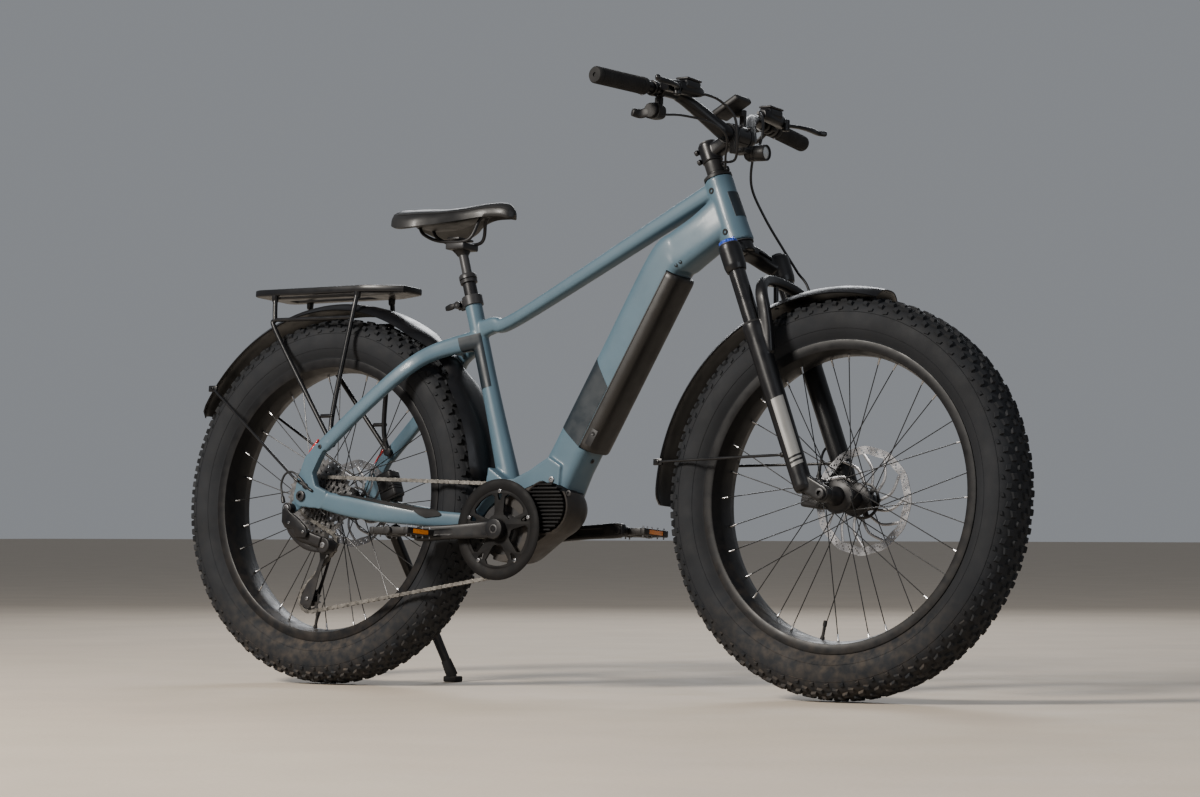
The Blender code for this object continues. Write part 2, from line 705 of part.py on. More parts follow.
def frame():
    tube_bore = rod(on_seat(0.200), on_seat(SEAT_TUBE_LENGTH + 0.01), POST_RADIUS + FIT, steps=12)
    head = turned([(HEAD_TUBE_BASE_RADIUS, 0), (HEAD_TUBE_BASE_RADIUS - 0.001, 0.02),
                   (HEAD_TUBE_TOP_RADIUS, HEAD_TUBE_LENGTH - 0.025),
                   (HEAD_TUBE_TOP_RADIUS, HEAD_TUBE_LENGTH)], HEAD_BASE, STEER_UP, 16)
    bore = rod(on_head(-0.01), on_head(HEAD_TUBE_LENGTH + 0.01), HEAD_BORE_RADIUS, steps=16)
    right = union(seat_stay(), dropout(), chain_stay(), hanger_tab())
    left = union(mirrored(seat_stay()), mirrored(dropout()), mirrored(chain_stay()), kick_mount())
    yoke = block(at(BOTTOM_BRACKET, -0.0700, 0, 0.0175), (0.030, 0.108, 0.031))
    bridge = rod(at(REAR_AXLE, 0.2814, -0.042, 0.2991), at(REAR_AXLE, 0.2814, 0.042, 0.2991),
                 0.008, steps=8)
    whole = union(down_tube(), top_tube(), seat_tube(), head, cradle(), yoke, bridge, right, left)
    cover_space = combine(motor_solid(COVER_WALL + 0.0014), "INTERSECT", [below_shell(-0.0008)])
    motor_space = union(motor_solid(0.0008), cover_space)
    drum_space = rod(at(DRUM_CENTRE, 0, -0.08, 0), at(DRUM_CENTRE, 0, 0.002, 0),
                     DRUM_RADIUS + 0.0008, steps=20)
    axle_space = rod(at(REAR_AXLE, 0, -0.13, 0), at(REAR_AXLE, 0, 0.13, 0), AXLE_RADIUS + FIT, steps=12)
    pivot_space = rod(at(DERAILLEUR_BOLT, 0, -0.13, 0), at(DERAILLEUR_BOLT, 0, -0.10, 0),
                      0.0050, steps=10)
    return cut(whole, bore, tube_bore, battery_space(), motor_space, drum_space, axle_space, pivot_space)


def battery_space():
    """Room for the battery: a pocket inside the walls and full width in front of the seam."""
    clear = 0.0006
    middle = BATTERY_START + BATTERY_LENGTH / 2
    long = BATTERY_LENGTH + 2 * clear
    deep = 0.12 - BATTERY_FLOOR
    inner = block(on_down(middle, BATTERY_FLOOR - clear + deep / 2),
                  (deep, BATTERY_CORE_WIDTH + 2 * clear, long), DOWN_TUBE_AHEAD, DOWN_TUBE_UP)
    high = 0.12 - BATTERY_SEAM
    outer = block(on_down(middle, BATTERY_SEAM - clear + high / 2),
                  (high, DOWN_TUBE_WIDTH * 1.5, long), DOWN_TUBE_AHEAD, DOWN_TUBE_UP)
    return union(inner, outer)


def battery():
    """Battery pack: cell case inside the tube and a crowned cover that closes it."""
    middle = BATTERY_START + BATTERY_LENGTH / 2
    core_deep = BATTERY_SEAM + 0.004 - BATTERY_FLOOR
    core = block(on_down(middle, BATTERY_FLOOR + core_deep / 2),
                 (core_deep, BATTERY_CORE_WIDTH, BATTERY_LENGTH - 0.010), DOWN_TUBE_AHEAD, DOWN_TUBE_UP)
    half = DOWN_TUBE_WIDTH / 2
    section = [(BATTERY_SEAM, -half), (BATTERY_SEAM, half), (BATTERY_FRONT - 0.011, half),
               (BATTERY_FRONT - 0.002, half * 0.86), (BATTERY_FRONT, half * 0.60),
               (BATTERY_FRONT, -half * 0.60), (BATTERY_FRONT - 0.002, -half * 0.86),
               (BATTERY_FRONT - 0.011, -half)]
    rings = []
    long = BATTERY_LENGTH
    for height, shrink in ((0, 0.92), (0.007, 1.0), (long - 0.007, 1.0), (long, 0.92)):
        ring = [on_down(BATTERY_START + height, BATTERY_SEAM + (depth - BATTERY_SEAM) * shrink,
                        left * shrink) for depth, left in section]
        rings.append(ring)
    return union(loft(rings), core)


def charge_port_cover():
    """Rubber flap over the charging socket, in the crotch above the motor."""
    middle = (PORT_REAR + PORT_FRONT) / 2 + PORT_UP * (FIT + 0.0045)
    return union(block(middle, (0.036, 0.034, 0.0090), PORT_AHEAD, PORT_UP),
                 rod(PORT_HINGE - LEFT * 0.017, PORT_HINGE + LEFT * 0.017, 0.0035, steps=8))


PORT_AHEAD = (PORT_FRONT - PORT_REAR).normalized()
PORT_UP = Vector((-PORT_AHEAD.z, 0, PORT_AHEAD.x))
PORT_HINGE = (PORT_REAR + PORT_FRONT) / 2 - PORT_AHEAD * 0.0185 + PORT_UP * 0.0062


# Motor
def motor_housing():
    core = motor_solid()
    drum = rod(at(DRUM_CENTRE, 0, -DRUM_WIDTH / 2, 0), DRUM_CENTRE, DRUM_RADIUS, steps=20)
    boss = rod(at(BOTTOM_BRACKET, 0, -0.058, 0), at(BOTTOM_BRACKET, 0, 0.064, 0), 0.026, steps=14)
    bore = rod(at(BOTTOM_BRACKET, 0, -0.07, 0), at(BOTTOM_BRACKET, 0, 0.07, 0),
               SPINDLE_RADIUS + FIT, steps=12)
    return cut(union(core, drum, boss), bore)


def motor_cover():
    """Plastic skid cover round the front and underside of the motor."""
    outer = combine(motor_solid(COVER_WALL), "INTERSECT", [below_shell(0.0)])
    drum = rod(at(DRUM_CENTRE, 0, -0.08, 0), at(DRUM_CENTRE, 0, 0.002, 0), DRUM_RADIUS + FIT, steps=20)
    around = rod(at(BOTTOM_BRACKET, 0, -0.08, 0), at(BOTTOM_BRACKET, 0, 0.08, 0),
                 MOTOR_RADIUS * 0.80, steps=14)
    behind = block(at(BOTTOM_BRACKET, -0.071, 0, 0), (0.10, 0.2, 0.30))
    return cut(outer, motor_solid(FIT * 3), drum, around, behind)


# Crank set
CRANK_BACK = Vector((-math.cos(CRANK_TILT), 0, -math.sin(CRANK_TILT)))
PEDAL_RIGHT = BOTTOM_BRACKET + CRANK_BACK * CRANK_LENGTH
PEDAL_LEFT = BOTTOM_BRACKET - CRANK_BACK * CRANK_LENGTH
PEDAL_START = CRANK_INNER + CRANK_FLARE + CRANK_THICKNESS + 0.0025


def crank_spindle():
    half = CRANK_INNER + 0.012
    return rod(at(BOTTOM_BRACKET, 0, -half, 0), at(BOTTOM_BRACKET, 0, half, 0), SPINDLE_RADIUS, steps=12)


def crank_arm(side):
    """Crank arm with its pedal axle; side is -1 for the right arm and 1 for the left."""
    along = CRANK_BACK * -side
    middle = CRANK_INNER + CRANK_THICKNESS / 2
    near = BOTTOM_BRACKET + LEFT * side * middle
    far = BOTTOM_BRACKET + along * CRANK_LENGTH + LEFT * side * (middle + CRANK_FLARE)
    arm = swept([(near - along * 0.004, CRANK_THICKNESS / 2, 0.0170),
                 (near + along * 0.030, CRANK_THICKNESS / 2, 0.0165),
                 (near + along * 0.100 + LEFT * side * CRANK_FLARE * 0.60, 0.0065, 0.0140),
                 (far, CRANK_THICKNESS / 2, 0.0150),
                 (far + along * 0.012, CRANK_THICKNESS / 2 - 0.001, 0.0110)], sides=10, roundness=3.5)
    boss = rod(at(BOTTOM_BRACKET, 0, side * CRANK_INNER, 0),
               at(BOTTOM_BRACKET, 0, side * (CRANK_INNER + CRANK_THICKNESS + 0.001), 0), 0.0202, steps=16)
    pedal = BOTTOM_BRACKET + along * CRANK_LENGTH
    axle = rod(at(pedal, 0, side * (CRANK_INNER + CRANK_FLARE + 0.004), 0),
               at(pedal, 0, side * (PEDAL_START + PEDAL_LENGTH - 0.006), 0), PEDAL_AXLE_RADIUS, steps=12)
    whole = union(arm, boss, axle)
    if side > 0:
        return union(whole, crank_spindle())
    socket = rod(at(BOTTOM_BRACKET, 0, side * (CRANK_INNER - 0.02), 0),
                 at(BOTTOM_BRACKET, 0, side * (CRANK_INNER + 0.012 + FIT), 0),
                 SPINDLE_RADIUS + FIT, steps=12)
    return cut(whole, socket)


def pedal(centre, side):
    """Platform pedal: a tube on the axle, two cross rails and two end plates."""
    start = side * PEDAL_START
    end = side * (PEDAL_START + PEDAL_LENGTH)
    half = PEDAL_WIDTH / 2
    middle = (start + end) / 2
    thick = PEDAL_THICKNESS
    barrel = block(at(centre, 0, middle, 0), (0.030, PEDAL_LENGTH, thick))
    rails = [block(at(centre, sign * (half - 0.006), middle, 0),
                   (0.012, PEDAL_LENGTH - 0.016, thick * 0.8)) for sign in (-1, 1)]
    plates = [block(at(centre, 0, place, 0), (PEDAL_WIDTH, 0.009, thick * 0.75))
              for place in (start + side * 0.0125, end - side * 0.0125)]
    bore = rod(at(centre, 0, start - side * 0.01, 0), at(centre, 0, end - side * 0.004, 0),
               PEDAL_AXLE_RADIUS + FIT, steps=12)
    return cut(union(barrel, *rails, *plates), bore)


SPIDER_ARMS = 5


def chainring():
    outer = root_radius(CHAINRING_TEETH)
    near = -CHAIN_LINE + CHAINRING_THICKNESS / 2
    far = -CHAIN_LINE - CHAINRING_THICKNESS / 2
    ring = turned([(outer - 0.010, far), (outer, far), (outer, near), (outer - 0.010, near)],
                  BOTTOM_BRACKET, steps=32, ring=True)
    arms = []
    for index in range(SPIDER_ARMS):
        angle = 360 * index / SPIDER_ARMS + 18
        root = arc(xz(BOTTOM_BRACKET), 0.018, angle - 26, angle + 26, 1)
        tip = arc(xz(BOTTOM_BRACKET), outer - 0.008, angle - 7, angle + 7, 1)
        arms.append(plate([root[0], tip[0], tip[1], root[1]], far - 0.0010, near))
    bore = SPINDLE_RADIUS + FIT
    centre = turned([(bore, far - 0.0040), (0.023, far - 0.0040), (0.023, near), (bore, near)],
                    BOTTOM_BRACKET, steps=12, ring=True)
    return union(ring, *arms, centre)


def chainring_guard():
    """Dished outer ring bolted to the chainring's arms, clear of the chain."""
    far = -CHAIN_LINE - CHAINRING_THICKNESS / 2 - 0.0010 - FIT
    drift = (COG_LINE - CHAIN_LINE) * GUARD_RADIUS / CHAINSTAY_REACH
    face = -CHAIN_LINE - CHAIN_WIDTH / 2 - drift - 0.0006
    ring = turned([(0.0765, face - 0.0028), (GUARD_RADIUS, face - 0.0030), (GUARD_RADIUS, face),
                   (0.0765, face)], BOTTOM_BRACKET, steps=32, ring=True)
    tabs = []
    for index in range(SPIDER_ARMS):
        angle = 360 * index / SPIDER_ARMS + 18
        root = arc(xz(BOTTOM_BRACKET), 0.060, angle - 6, angle + 6, 1)
        tip = arc(xz(BOTTOM_BRACKET), 0.0835, angle - 10, angle + 10, 1)
        tabs.append(plate([root[0], tip[0], tip[1], root[1]], face - 0.0014, far))
    return union(ring, *tabs)


# Chain and derailleur
CAGE_PIVOT = at(REAR_AXLE, 0.060, 0, -0.0985)
GUIDE_PULLEY = at(CAGE_PIVOT, -0.017, 0, 0.006)
TENSION_PULLEY = at(CAGE_PIVOT, -0.057, 0, -0.1055)


def chain_path():
    """Points of the chain's middle line in (x, z), round the two wheels and the two pulleys."""
    wheels = [(BOTTOM_BRACKET, pitch_radius(CHAINRING_TEETH), 1, 22),
              (REAR_AXLE, pitch_radius(COG_TEETH[CHAIN_COG]), 1, 12),
              (GUIDE_PULLEY, pitch_radius(GUIDE_TEETH), -1, 6),
              (TENSION_PULLEY, pitch_radius(TENSION_TEETH), 1, 8)]
    touches = []
    for (c1, r1, s1, _), (c2, r2, s2, _) in zip(wheels, wheels[1:] + wheels[:1]):
        between = Vector((c2.x - c1.x, c2.z - c1.z))
        shift = s2 * r2 - s1 * r1
        straight = math.sqrt(between.length_squared - shift ** 2)
        touches.append(math.atan2(between.y, between.x) - math.atan2(shift, straight))
    path = []
    for index, (centre, radius, sense, steps) in enumerate(wheels):
        arrive = touches[index - 1] - sense * math.pi / 2
        leave = touches[index] - sense * math.pi / 2
        turn = (leave - arrive) * sense % (2 * math.pi)
        for step in range(steps + 1):
            angle = arrive + sense * turn * step / steps
            path.append((centre.x + radius * math.cos(angle), centre.z + radius * math.sin(angle)))
    return path


def chain():
    path = chain_path()
    count = len(path)
    rings = []
    for index, (x, z) in enumerate(path):
        before = path[index - 1]
        after = path[(index + 1) % count]
        heading = Vector((after[0] - before[0], 0, after[1] - before[1])).normalized()
        normal = Vector((-heading.z, 0, heading.x))
        share = (BOTTOM_BRACKET.x - x) / (BOTTOM_BRACKET.x - REAR_AXLE.x)
        share = min(max(share * 1.25 - 0.12, 0), 1)
        left = -(CHAIN_LINE * (1 - share) + COG_LINE * share)
        centre = Vector((x, left, z))
        rings.append([centre + normal * high * CHAIN_HEIGHT / 2 + LEFT * wide * CHAIN_WIDTH / 2
                      for high, wide in ((1, 1), (1, -1), (-1, -1), (-1, 1))])
    return loft(rings, close=True)


def pulley(centre, teeth):
    radius = root_radius(teeth)
    half = PULLEY_THICKNESS / 2
    hub_half = CAGE_HALF_GAP - CAGE_PLATE / 2 - FIT
    bore = PULLEY_PIN + FIT
    profile = [(bore, -hub_half), (0.0065, -hub_half), (0.0065, -half), (radius, -half)]
    profile += [(r, -along) for r, along in reversed(profile)]
    return turned(profile, centre - LEFT * COG_LINE, steps=12, ring=True)


PULLEY_PIN = 0.0025
KNUCKLE_RADIUS = 0.0165


def derailleur_cage():
    """Two cage plates held apart by the pulley pins, with the pivot boss on the outside."""
    guide = xz(GUIDE_PULLEY)
    tension = xz(TENSION_PULLEY)
    outer_face = -COG_LINE - CAGE_HALF_GAP
    inner_face = -COG_LINE + CAGE_HALF_GAP
    half = CAGE_PLATE / 2
    outer = plate(belt_outline(guide, 0.0125, tension, 0.0190, 5), outer_face - half, outer_face + half)
    inner = plate(belt_outline(guide, 0.0110, tension, 0.0150, 5), inner_face - half, inner_face + half)
    pins = [rod(at(centre, 0, outer_face, 0), at(centre, 0, inner_face, 0), PULLEY_PIN, steps=8)
            for centre in (GUIDE_PULLEY, TENSION_PULLEY)]
    boss_end = -COG_LINE - CAGE_HALF_GAP - half - 0.0030
    boss = rod(at(CAGE_PIVOT, 0, outer_face, 0), at(CAGE_PIVOT, 0, boss_end, 0), 0.0130, steps=12)
    stub = rod(at(CAGE_PIVOT, 0, boss_end + 0.001, 0), at(CAGE_PIVOT, 0, boss_end - 0.016, 0),
               0.0045, steps=10)
    ear = plate(belt_outline(xz(CAGE_PIVOT), 0.0130, guide, 0.0125, 4), outer_face - half, outer_face + half)
    return union(outer, ear, *pins, inner, boss, stub)


def derailleur_body():
    """Mounting knuckle, parallelogram and cage knuckle in one casting."""
    start = -COG_LINE - CAGE_HALF_GAP - CAGE_PLATE / 2 - 0.0030 - FIT
    end = start - 0.026
    knuckle = rod(at(CAGE_PIVOT, 0, start, 0), at(CAGE_PIVOT, 0, end, 0), KNUCKLE_RADIUS, steps=14)
    mount = rod(at(DERAILLEUR_BOLT, 0, -HANGER_OUTER - FIT, 0), at(DERAILLEUR_BOLT, 0, -0.1300, 0),
                0.0115, steps=12)
    bolt = rod(at(DERAILLEUR_BOLT, 0, -0.120, 0), at(DERAILLEUR_BOLT, 0, -HANGER_INNER, 0),
               0.0050 - FIT, steps=10)
    out = -0.1190
    link = swept([(at(DERAILLEUR_BOLT, -0.004, out - 0.003, -0.008), 0.008, 0.010),
                  (at(DERAILLEUR_BOLT, 0.008, out - 0.005, -0.030), 0.010, 0.014),
                  (at(DERAILLEUR_BOLT, 0.040, out - 0.003, -0.054), 0.011, 0.015),
                  (at(CAGE_PIVOT, -0.004, out + 0.009, 0.004), 0.008, 0.012)], sides=10, roundness=3.0)
    bore = rod(at(CAGE_PIVOT, 0, start + 0.01, 0), at(CAGE_PIVOT, 0, start - 0.017, 0),
               0.0045 + FIT, steps=10)
    return cut(union(knuckle, mount, bolt, link), bore)


# Fork
LEG_SIDES = (-1, 1)
STANCHION_END = SEAL_DEPTH + 0.130
LEG_END = FORK_LENGTH - 0.018


def on_leg(depth, side, ahead=0.0, out=0.0):
    """Point down a fork leg's middle line, depth measured below the head tube."""
    return on_head(-depth, FORK_LEG_OFFSET + ahead, side * (FORK_SPREAD + out))


def fork_crown():
    """Steerer, crown and the two stanchions, which steer as one."""
    bearing = HEAD_BORE_RADIUS * math.cos(math.pi / 16) - FIT
    steerer = turned([(bearing, -0.001), (bearing, BEARING_HEIGHT),
                      (STEERER_RADIUS, BEARING_HEIGHT + 0.002),
                      (STEERER_RADIUS, HEAD_TUBE_LENGTH - BEARING_HEIGHT - 0.002),
                      (bearing, HEAD_TUBE_LENGTH - BEARING_HEIGHT),
                      (bearing, HEAD_TUBE_LENGTH),
                      (STEERER_RADIUS, HEAD_TUBE_LENGTH + FIT), (STEERER_RADIUS, STEM_RISE + 0.016)],
                     HEAD_BASE, STEER_UP, 16)
    race = rod(on_head(-0.022), on_head(-FIT), HEAD_TUBE_BASE_RADIUS - 0.003, steps=14)
    parts = [race]
    for side in LEG_SIDES:
        at_leg = on_head(-0.050, FORK_LEG_OFFSET - 0.004, side * (FORK_SPREAD - 0.008))
        parts.append(swept([(on_head(-0.014, 0.000, side * 0.008), 0.019, 0.012),
                            (on_head(-0.020, 0.004, side * 0.036), 0.017, 0.012),
                            (on_head(-0.038, 0.012, side * 0.062), 0.015, 0.013),
                            (at_leg, 0.014, 0.014)], sides=10, roundness=2.6, towards=STEER_AHEAD))
        parts.append(turned([(0.0205, 0), (0.0212, 0.010), (0.0208, 0.044), (0.0180, 0.055)],
                            on_leg(CAP_DEPTH, side), -STEER_UP, 14))
        parts.append(rod(on_leg(CAP_DEPTH + 0.03, side), on_leg(STANCHION_END, side),
                         STANCHION_RADIUS, steps=14))
    return union(steerer, *parts)


def fork_lowers():
    """The two lower legs, the brace over the tyre and the axle lugs."""
    pieces = []
    bores = []
    for side in LEG_SIDES:
        pieces.append(turned([(LEG_RADIUS + 0.001, 0), (LEG_RADIUS, 0.030), (LEG_RADIUS - 0.001, 0.200),
                              (LEG_RADIUS - 0.002, LEG_END - SEAL_DEPTH - 0.006),
                              (LEG_RADIUS - 0.006, LEG_END - SEAL_DEPTH)],
                             on_leg(SEAL_DEPTH, side), -STEER_UP, 14))
        lug = belt_outline(xz(FRONT_AXLE), 0.0155, xz(on_leg(FORK_LENGTH - 0.040, side)), 0.0155, 6)
        low, high = sorted((side * (FRONT_HUB_HALF + FIT), side * (FORK_SPREAD + 0.009)))
        pieces.append(plate(lug, low, high))
        low_end = on_leg(STANCHION_END + FORK_TRAVEL + 0.004, side)
        bores.append(rod(on_leg(SEAL_DEPTH - 0.07, side), low_end, STANCHION_RADIUS + FIT, steps=14))
    half_brace = [(on_leg(0.222, 1, 0.012, 0.000), 0.0150, 0.0090),
                  (on_leg(0.175, 1, 0.028, 0.000), 0.0105, 0.0080),
                  (on_leg(0.142, 1, 0.032, -0.002), 0.0090, 0.0085),
                  (on_leg(0.122, 1, 0.030, -0.018), 0.0090, 0.0090),
                  (on_leg(0.108, 1, 0.026, -0.046), 0.0085, 0.0100)]
    over = [(on_head(-0.1010, FORK_LEG_OFFSET + 0.0235), 0.0080, 0.0105)]
    other = [(point - LEFT * 2 * point.y, wide, high) for point, wide, high in half_brace]
    brace = swept(other + over + half_brace[::-1], sides=8, roundness=2.6, towards=STEER_AHEAD)
    axle = rod(at(FRONT_AXLE, 0, -0.12, 0), at(FRONT_AXLE, 0, 0.12, 0), AXLE_RADIUS + FIT, steps=12)
    hub_ends = rod(at(FRONT_AXLE, 0, -FRONT_HUB_HALF, 0), at(FRONT_AXLE, 0, FRONT_HUB_HALF, 0),
                   HUB_END_RADIUS + 0.0012, steps=14)
    return cut(union(pieces[0], *pieces[1:], brace), *bores, axle, hub_ends)


def wheel_axle(axle, half, head):
    """Through axle with a round head on the right side."""
    return turned([(AXLE_RADIUS, half), (AXLE_RADIUS, -half), (head, -half - FIT), (head, -half - 0.006)],
                  axle, steps=14)


def lockout_dial():
    return turned([(0.0170, 0), (0.0178, 0.006), (0.0120, 0.0095)],
                  on_leg(CAP_DEPTH - FIT, -1), STEER_UP, 14)


# Fenders
def fender(centre, radius, angles, pinch=None):
    """Curved guard over a tyre, with turned-in edges; it narrows where it passes between the stays."""
    half_width = FENDER_HALF_WIDTH
    outer = [(0.0, 0.30), (-0.004, 0.72), (-0.017, 1.0)]
    rings = []
    for index, degrees in enumerate(angles):
        angle = math.radians(degrees)
        out = Vector((math.cos(angle), 0, math.sin(angle)))
        wide = half_width * (0.82 if index in (0, len(angles) - 1) else 1.0)
        if pinch and pinch[0] <= degrees <= pinch[1]:
            wide = pinch[2]
        upper = [(drop, wide * share) for drop, share in outer]
        under = [(-0.017, wide - FENDER_WALL), (-FENDER_WALL - 0.0016, wide * 0.60)]
        section = [(r, -y) for r, y in reversed(upper)] + upper + under
        section += [(r, -y) for r, y in reversed(under)]
        rings.append([centre + out * (radius + drop) + LEFT * left for drop, left in section])
    return loft(rings)


def spread(start, end, steps):
    return [start + (end - start) * step / steps for step in range(steps + 1)]


def front_fender():
    centre = at(FRONT_AXLE, -0.012, 0, 0)
    guard = fender(centre, FRONT_FENDER_RADIUS, spread(77.5, 182, 13))
    low = math.radians(170)
    parts = []
    for side in LEG_SIDES:
        clip = centre + Vector((math.cos(low), 0, math.sin(low))) * (FRONT_FENDER_RADIUS - 0.014)
        start = clip + LEFT * side * (FENDER_HALF_WIDTH - 0.001)
        parts.append(rod(start, on_leg(FORK_LENGTH - 0.100, side, -LEG_RADIUS - 0.0008), 0.0028, steps=6))
    arch_under = on_head(-0.1125, FORK_LEG_OFFSET + 0.0235)
    parts.append(rod(at(arch_under, 0.002, 0, -0.042), at(arch_under, 0, 0, -0.0006), 0.0050, steps=8))
    return union(guard, *parts)


def rear_fender():
    centre = at(REAR_AXLE, 0.002, 0, 0.010)
    angles = spread(4, 35, 4) + [40, 52.5, 57] + spread(65, 154.5, 11)
    guard = fender(centre, REAR_FENDER_RADIUS, angles, (39, 53, 0.030))
    clip_angle = math.radians(144.3)
    clip = centre + Vector((math.cos(clip_angle), 0, math.sin(clip_angle))) * (REAR_FENDER_RADIUS - 0.014)
    parts = []
    for side in LEG_SIDES:
        near = side * (DROPOUT_OUTER + 0.0029)
        route = [clip + LEFT * side * (FENDER_HALF_WIDTH - 0.001), at(REAR_AXLE, -0.036, near * 1.01, 0.050),
                 at(REAR_AXLE, -0.004, near, 0.028), at(REAR_AXLE, 0.028, near, 0.010)]
        parts.append(swept([(point, 0.0028, 0.0028) for point in route], sides=6))
    return union(guard, *parts)


# Brakes
def caliper(axle, angle, disc_radius, disc_face, foot):
    """Brake caliper over the rim of the disc, with the foot that reaches its mount."""
    out = Vector((math.cos(angle), 0, math.sin(angle)))
    along = Vector((-out.z, 0, out.x))
    middle = disc_face + ROTOR_THICKNESS / 2
    shell = block(at(axle + out * (disc_radius + 0.003), 0, middle, 0), (0.044, 0.034, 0.058), out, along)
    slot = block(at(axle + out * (disc_radius - 0.027), 0, middle, 0), (0.060, 0.0050, 0.080), out, along)
    return union(cut(shell, slot), foot)


def rear_caliper():
    foot = block(at(REAR_AXLE, 0.078, 0.0834, 0.0142), (0.026, 0.031, 0.0176))
    return caliper(REAR_AXLE, math.radians(22), REAR_ROTOR_RADIUS, REAR_ROTOR_OUT, foot)


def front_caliper():
    leg = on_leg(FORK_LENGTH - 0.066, 1, -LEG_RADIUS - 0.0080)
    foot = block(at(leg, 0, -0.0060, 0), (0.0190, 0.022, 0.030), STEER_AHEAD, STEER_UP)
    return caliper(FRONT_AXLE, math.radians(172), FRONT_ROTOR_RADIUS, FRONT_ROTOR_OUT, foot)


# Cockpit
STEM_BASE = on_head(STEM_RISE)
BAR_CENTRE = on_head(STEM_RISE + 0.0066, STEM_REACH)


def bar_point(left, ahead=0.0, above=0.0):
    return at(BAR_CENTRE, ahead, left, above)


def handlebar():
    """Riser bar: clamp bulge in the middle, up and back through two bends to the grips."""
    wide = BAR_HALF_WIDTH
    stations = [(0.0, 0.0, 0.0, BAR_CLAMP_RADIUS), (0.040, 0.0, 0.0, BAR_CLAMP_RADIUS),
                (0.062, -0.012, 0.014, 0.0150), (0.100, -0.035, 0.042, 0.0130),
                (0.128, -0.047, BAR_RISE - 0.004, 0.0117), (0.160, -0.0534, BAR_RISE, BAR_RADIUS),
                (wide, -BAR_SWEEP, BAR_RISE - BAR_DROP, BAR_RADIUS)]
    left = [(bar_point(y, x, z), r, r) for y, x, z, r in stations]
    right = [(bar_point(-y, x, z), r, r) for y, x, z, r in stations[:0:-1]]
    return swept(right + left, sides=12, towards=Vector((1, 0, 0)))


def grip_line(side, out):
    """Point on the straight outer part of the bar, and the direction outward along it."""
    inner = bar_point(side * 0.160, -0.0534, BAR_RISE)
    outer = bar_point(side * BAR_HALF_WIDTH, -BAR_SWEEP, BAR_RISE - BAR_DROP)
    direction = (outer - inner).normalized()
    return inner + direction * (out - 0.160), direction


def grip(side):
    start, outward = grip_line(side, BAR_HALF_WIDTH - GRIP_LENGTH)
    length = (bar_point(side * BAR_HALF_WIDTH, -BAR_SWEEP, BAR_RISE - BAR_DROP) - start).length
    bore = clear_of(BAR_RADIUS, 12)
    profile = [(bore, 0), (0.0165, 0), (0.0165, 0.012), (GRIP_RADIUS - 0.001, 0.014),
               (GRIP_RADIUS, length - 0.004), (0.0140, length + 0.003)]
    shell = turned(profile + [(0.0, length + 0.003), (0.0, length + FIT), (bore, length + FIT)],
                   start, outward, 12, ring=True)
    return shell


def stem():
    """Stem body from the steerer clamp to the bar clamp, with its face plate."""
    clamp = rod(STEM_BASE - STEER_UP * 0.019, STEM_BASE + STEER_UP * 0.019, 0.0205, steps=14)
    reach = BAR_CENTRE - STEM_BASE
    body_tube = swept([(STEM_BASE, 0.0165, 0.0165), (STEM_BASE + reach * 0.8, 0.0185, 0.0150)], sides=10)
    face = rod(bar_point(-0.0225), bar_point(0.0225), 0.0215, steps=14)
    steerer = rod(STEM_BASE - STEER_UP * 0.03, STEM_BASE + STEER_UP * 0.0165, STEERER_RADIUS + FIT, steps=16)
    bar = rod(bar_point(-0.04), bar_point(0.04), clear_of(BAR_CLAMP_RADIUS, 12), steps=12)
    bolts = [rod(STEM_BASE + STEER_UP * lift - STEER_AHEAD * 0.012 - LEFT * 0.010,
                 STEM_BASE + STEER_UP * lift - STEER_AHEAD * 0.026 - LEFT * 0.010, 0.0055, steps=6)
             for lift in (-0.010, 0.010)]
    return cut(union(clamp, body_tube, face, *bolts), steerer, bar)


def headset_cover():
    """Top cover of the head tube with the cable ports, and the spacer below the stem."""
    base = HEAD_TUBE_LENGTH + FIT
    top = STEM_RISE - 0.019 - FIT
    bore = STEERER_RADIUS + FIT
    lid = base + COVER_HEIGHT
    return turned([(bore, base), (HEAD_TUBE_TOP_RADIUS + 0.0005, base), (HEAD_TUBE_TOP_RADIUS, lid),
                   (SPACER_RADIUS, lid), (SPACER_RADIUS, top), (bore, top)],
                  HEAD_BASE, STEER_UP, 16, ring=True)


COVER_HEIGHT = 0.0070
SPACER_RADIUS = 0.0180


def lever_clamp(side, out, width, radius):
    """Clamp round the bar, before its bore is cut."""
    start, outward = grip_line(side, out)
    return rod(start, start + outward * width, radius, steps=12)


def brake_pivot(side):
    return bar_point(side * 0.192, -0.010, BAR_RISE - 0.004)


def brake_master():
    """Left brake master cylinder with its reservoir, clamped to the bar inside the grip."""
    pivot = brake_pivot(1)
    ring = lever_clamp(1, 0.196, 0.012, 0.0150)
    cylinder = swept([(bar_point(0.110, -0.014, BAR_RISE + 0.004), 0.009, 0.009),
                      (bar_point(0.130, -0.014, BAR_RISE + 0.004), 0.011, 0.012),
                      (bar_point(0.176, -0.018, BAR_RISE + 0.003), 0.0115, 0.013),
                      (bar_point(0.208, -0.032, BAR_RISE + 0.002), 0.015, 0.010)], sides=10, roundness=3.0,
                     towards=Vector((1, 0, 0)))
    reservoir = block(bar_point(0.146, -0.016, BAR_RISE + 0.0135), (0.027, 0.048, 0.020))
    ears = rod(pivot - UP * 0.0115, pivot + UP * 0.0115, 0.0075, steps=10)
    slot = block(pivot + Vector((0.006, 0.004, 0)), (0.028, 0.034, 0.0080))
    pin = rod(pivot - UP * 0.0110, pivot + UP * 0.0110, 0.0025, steps=8)
    return union(cut(union(ring, cylinder, reservoir, ears), handlebar_bore(1), slot), pin)


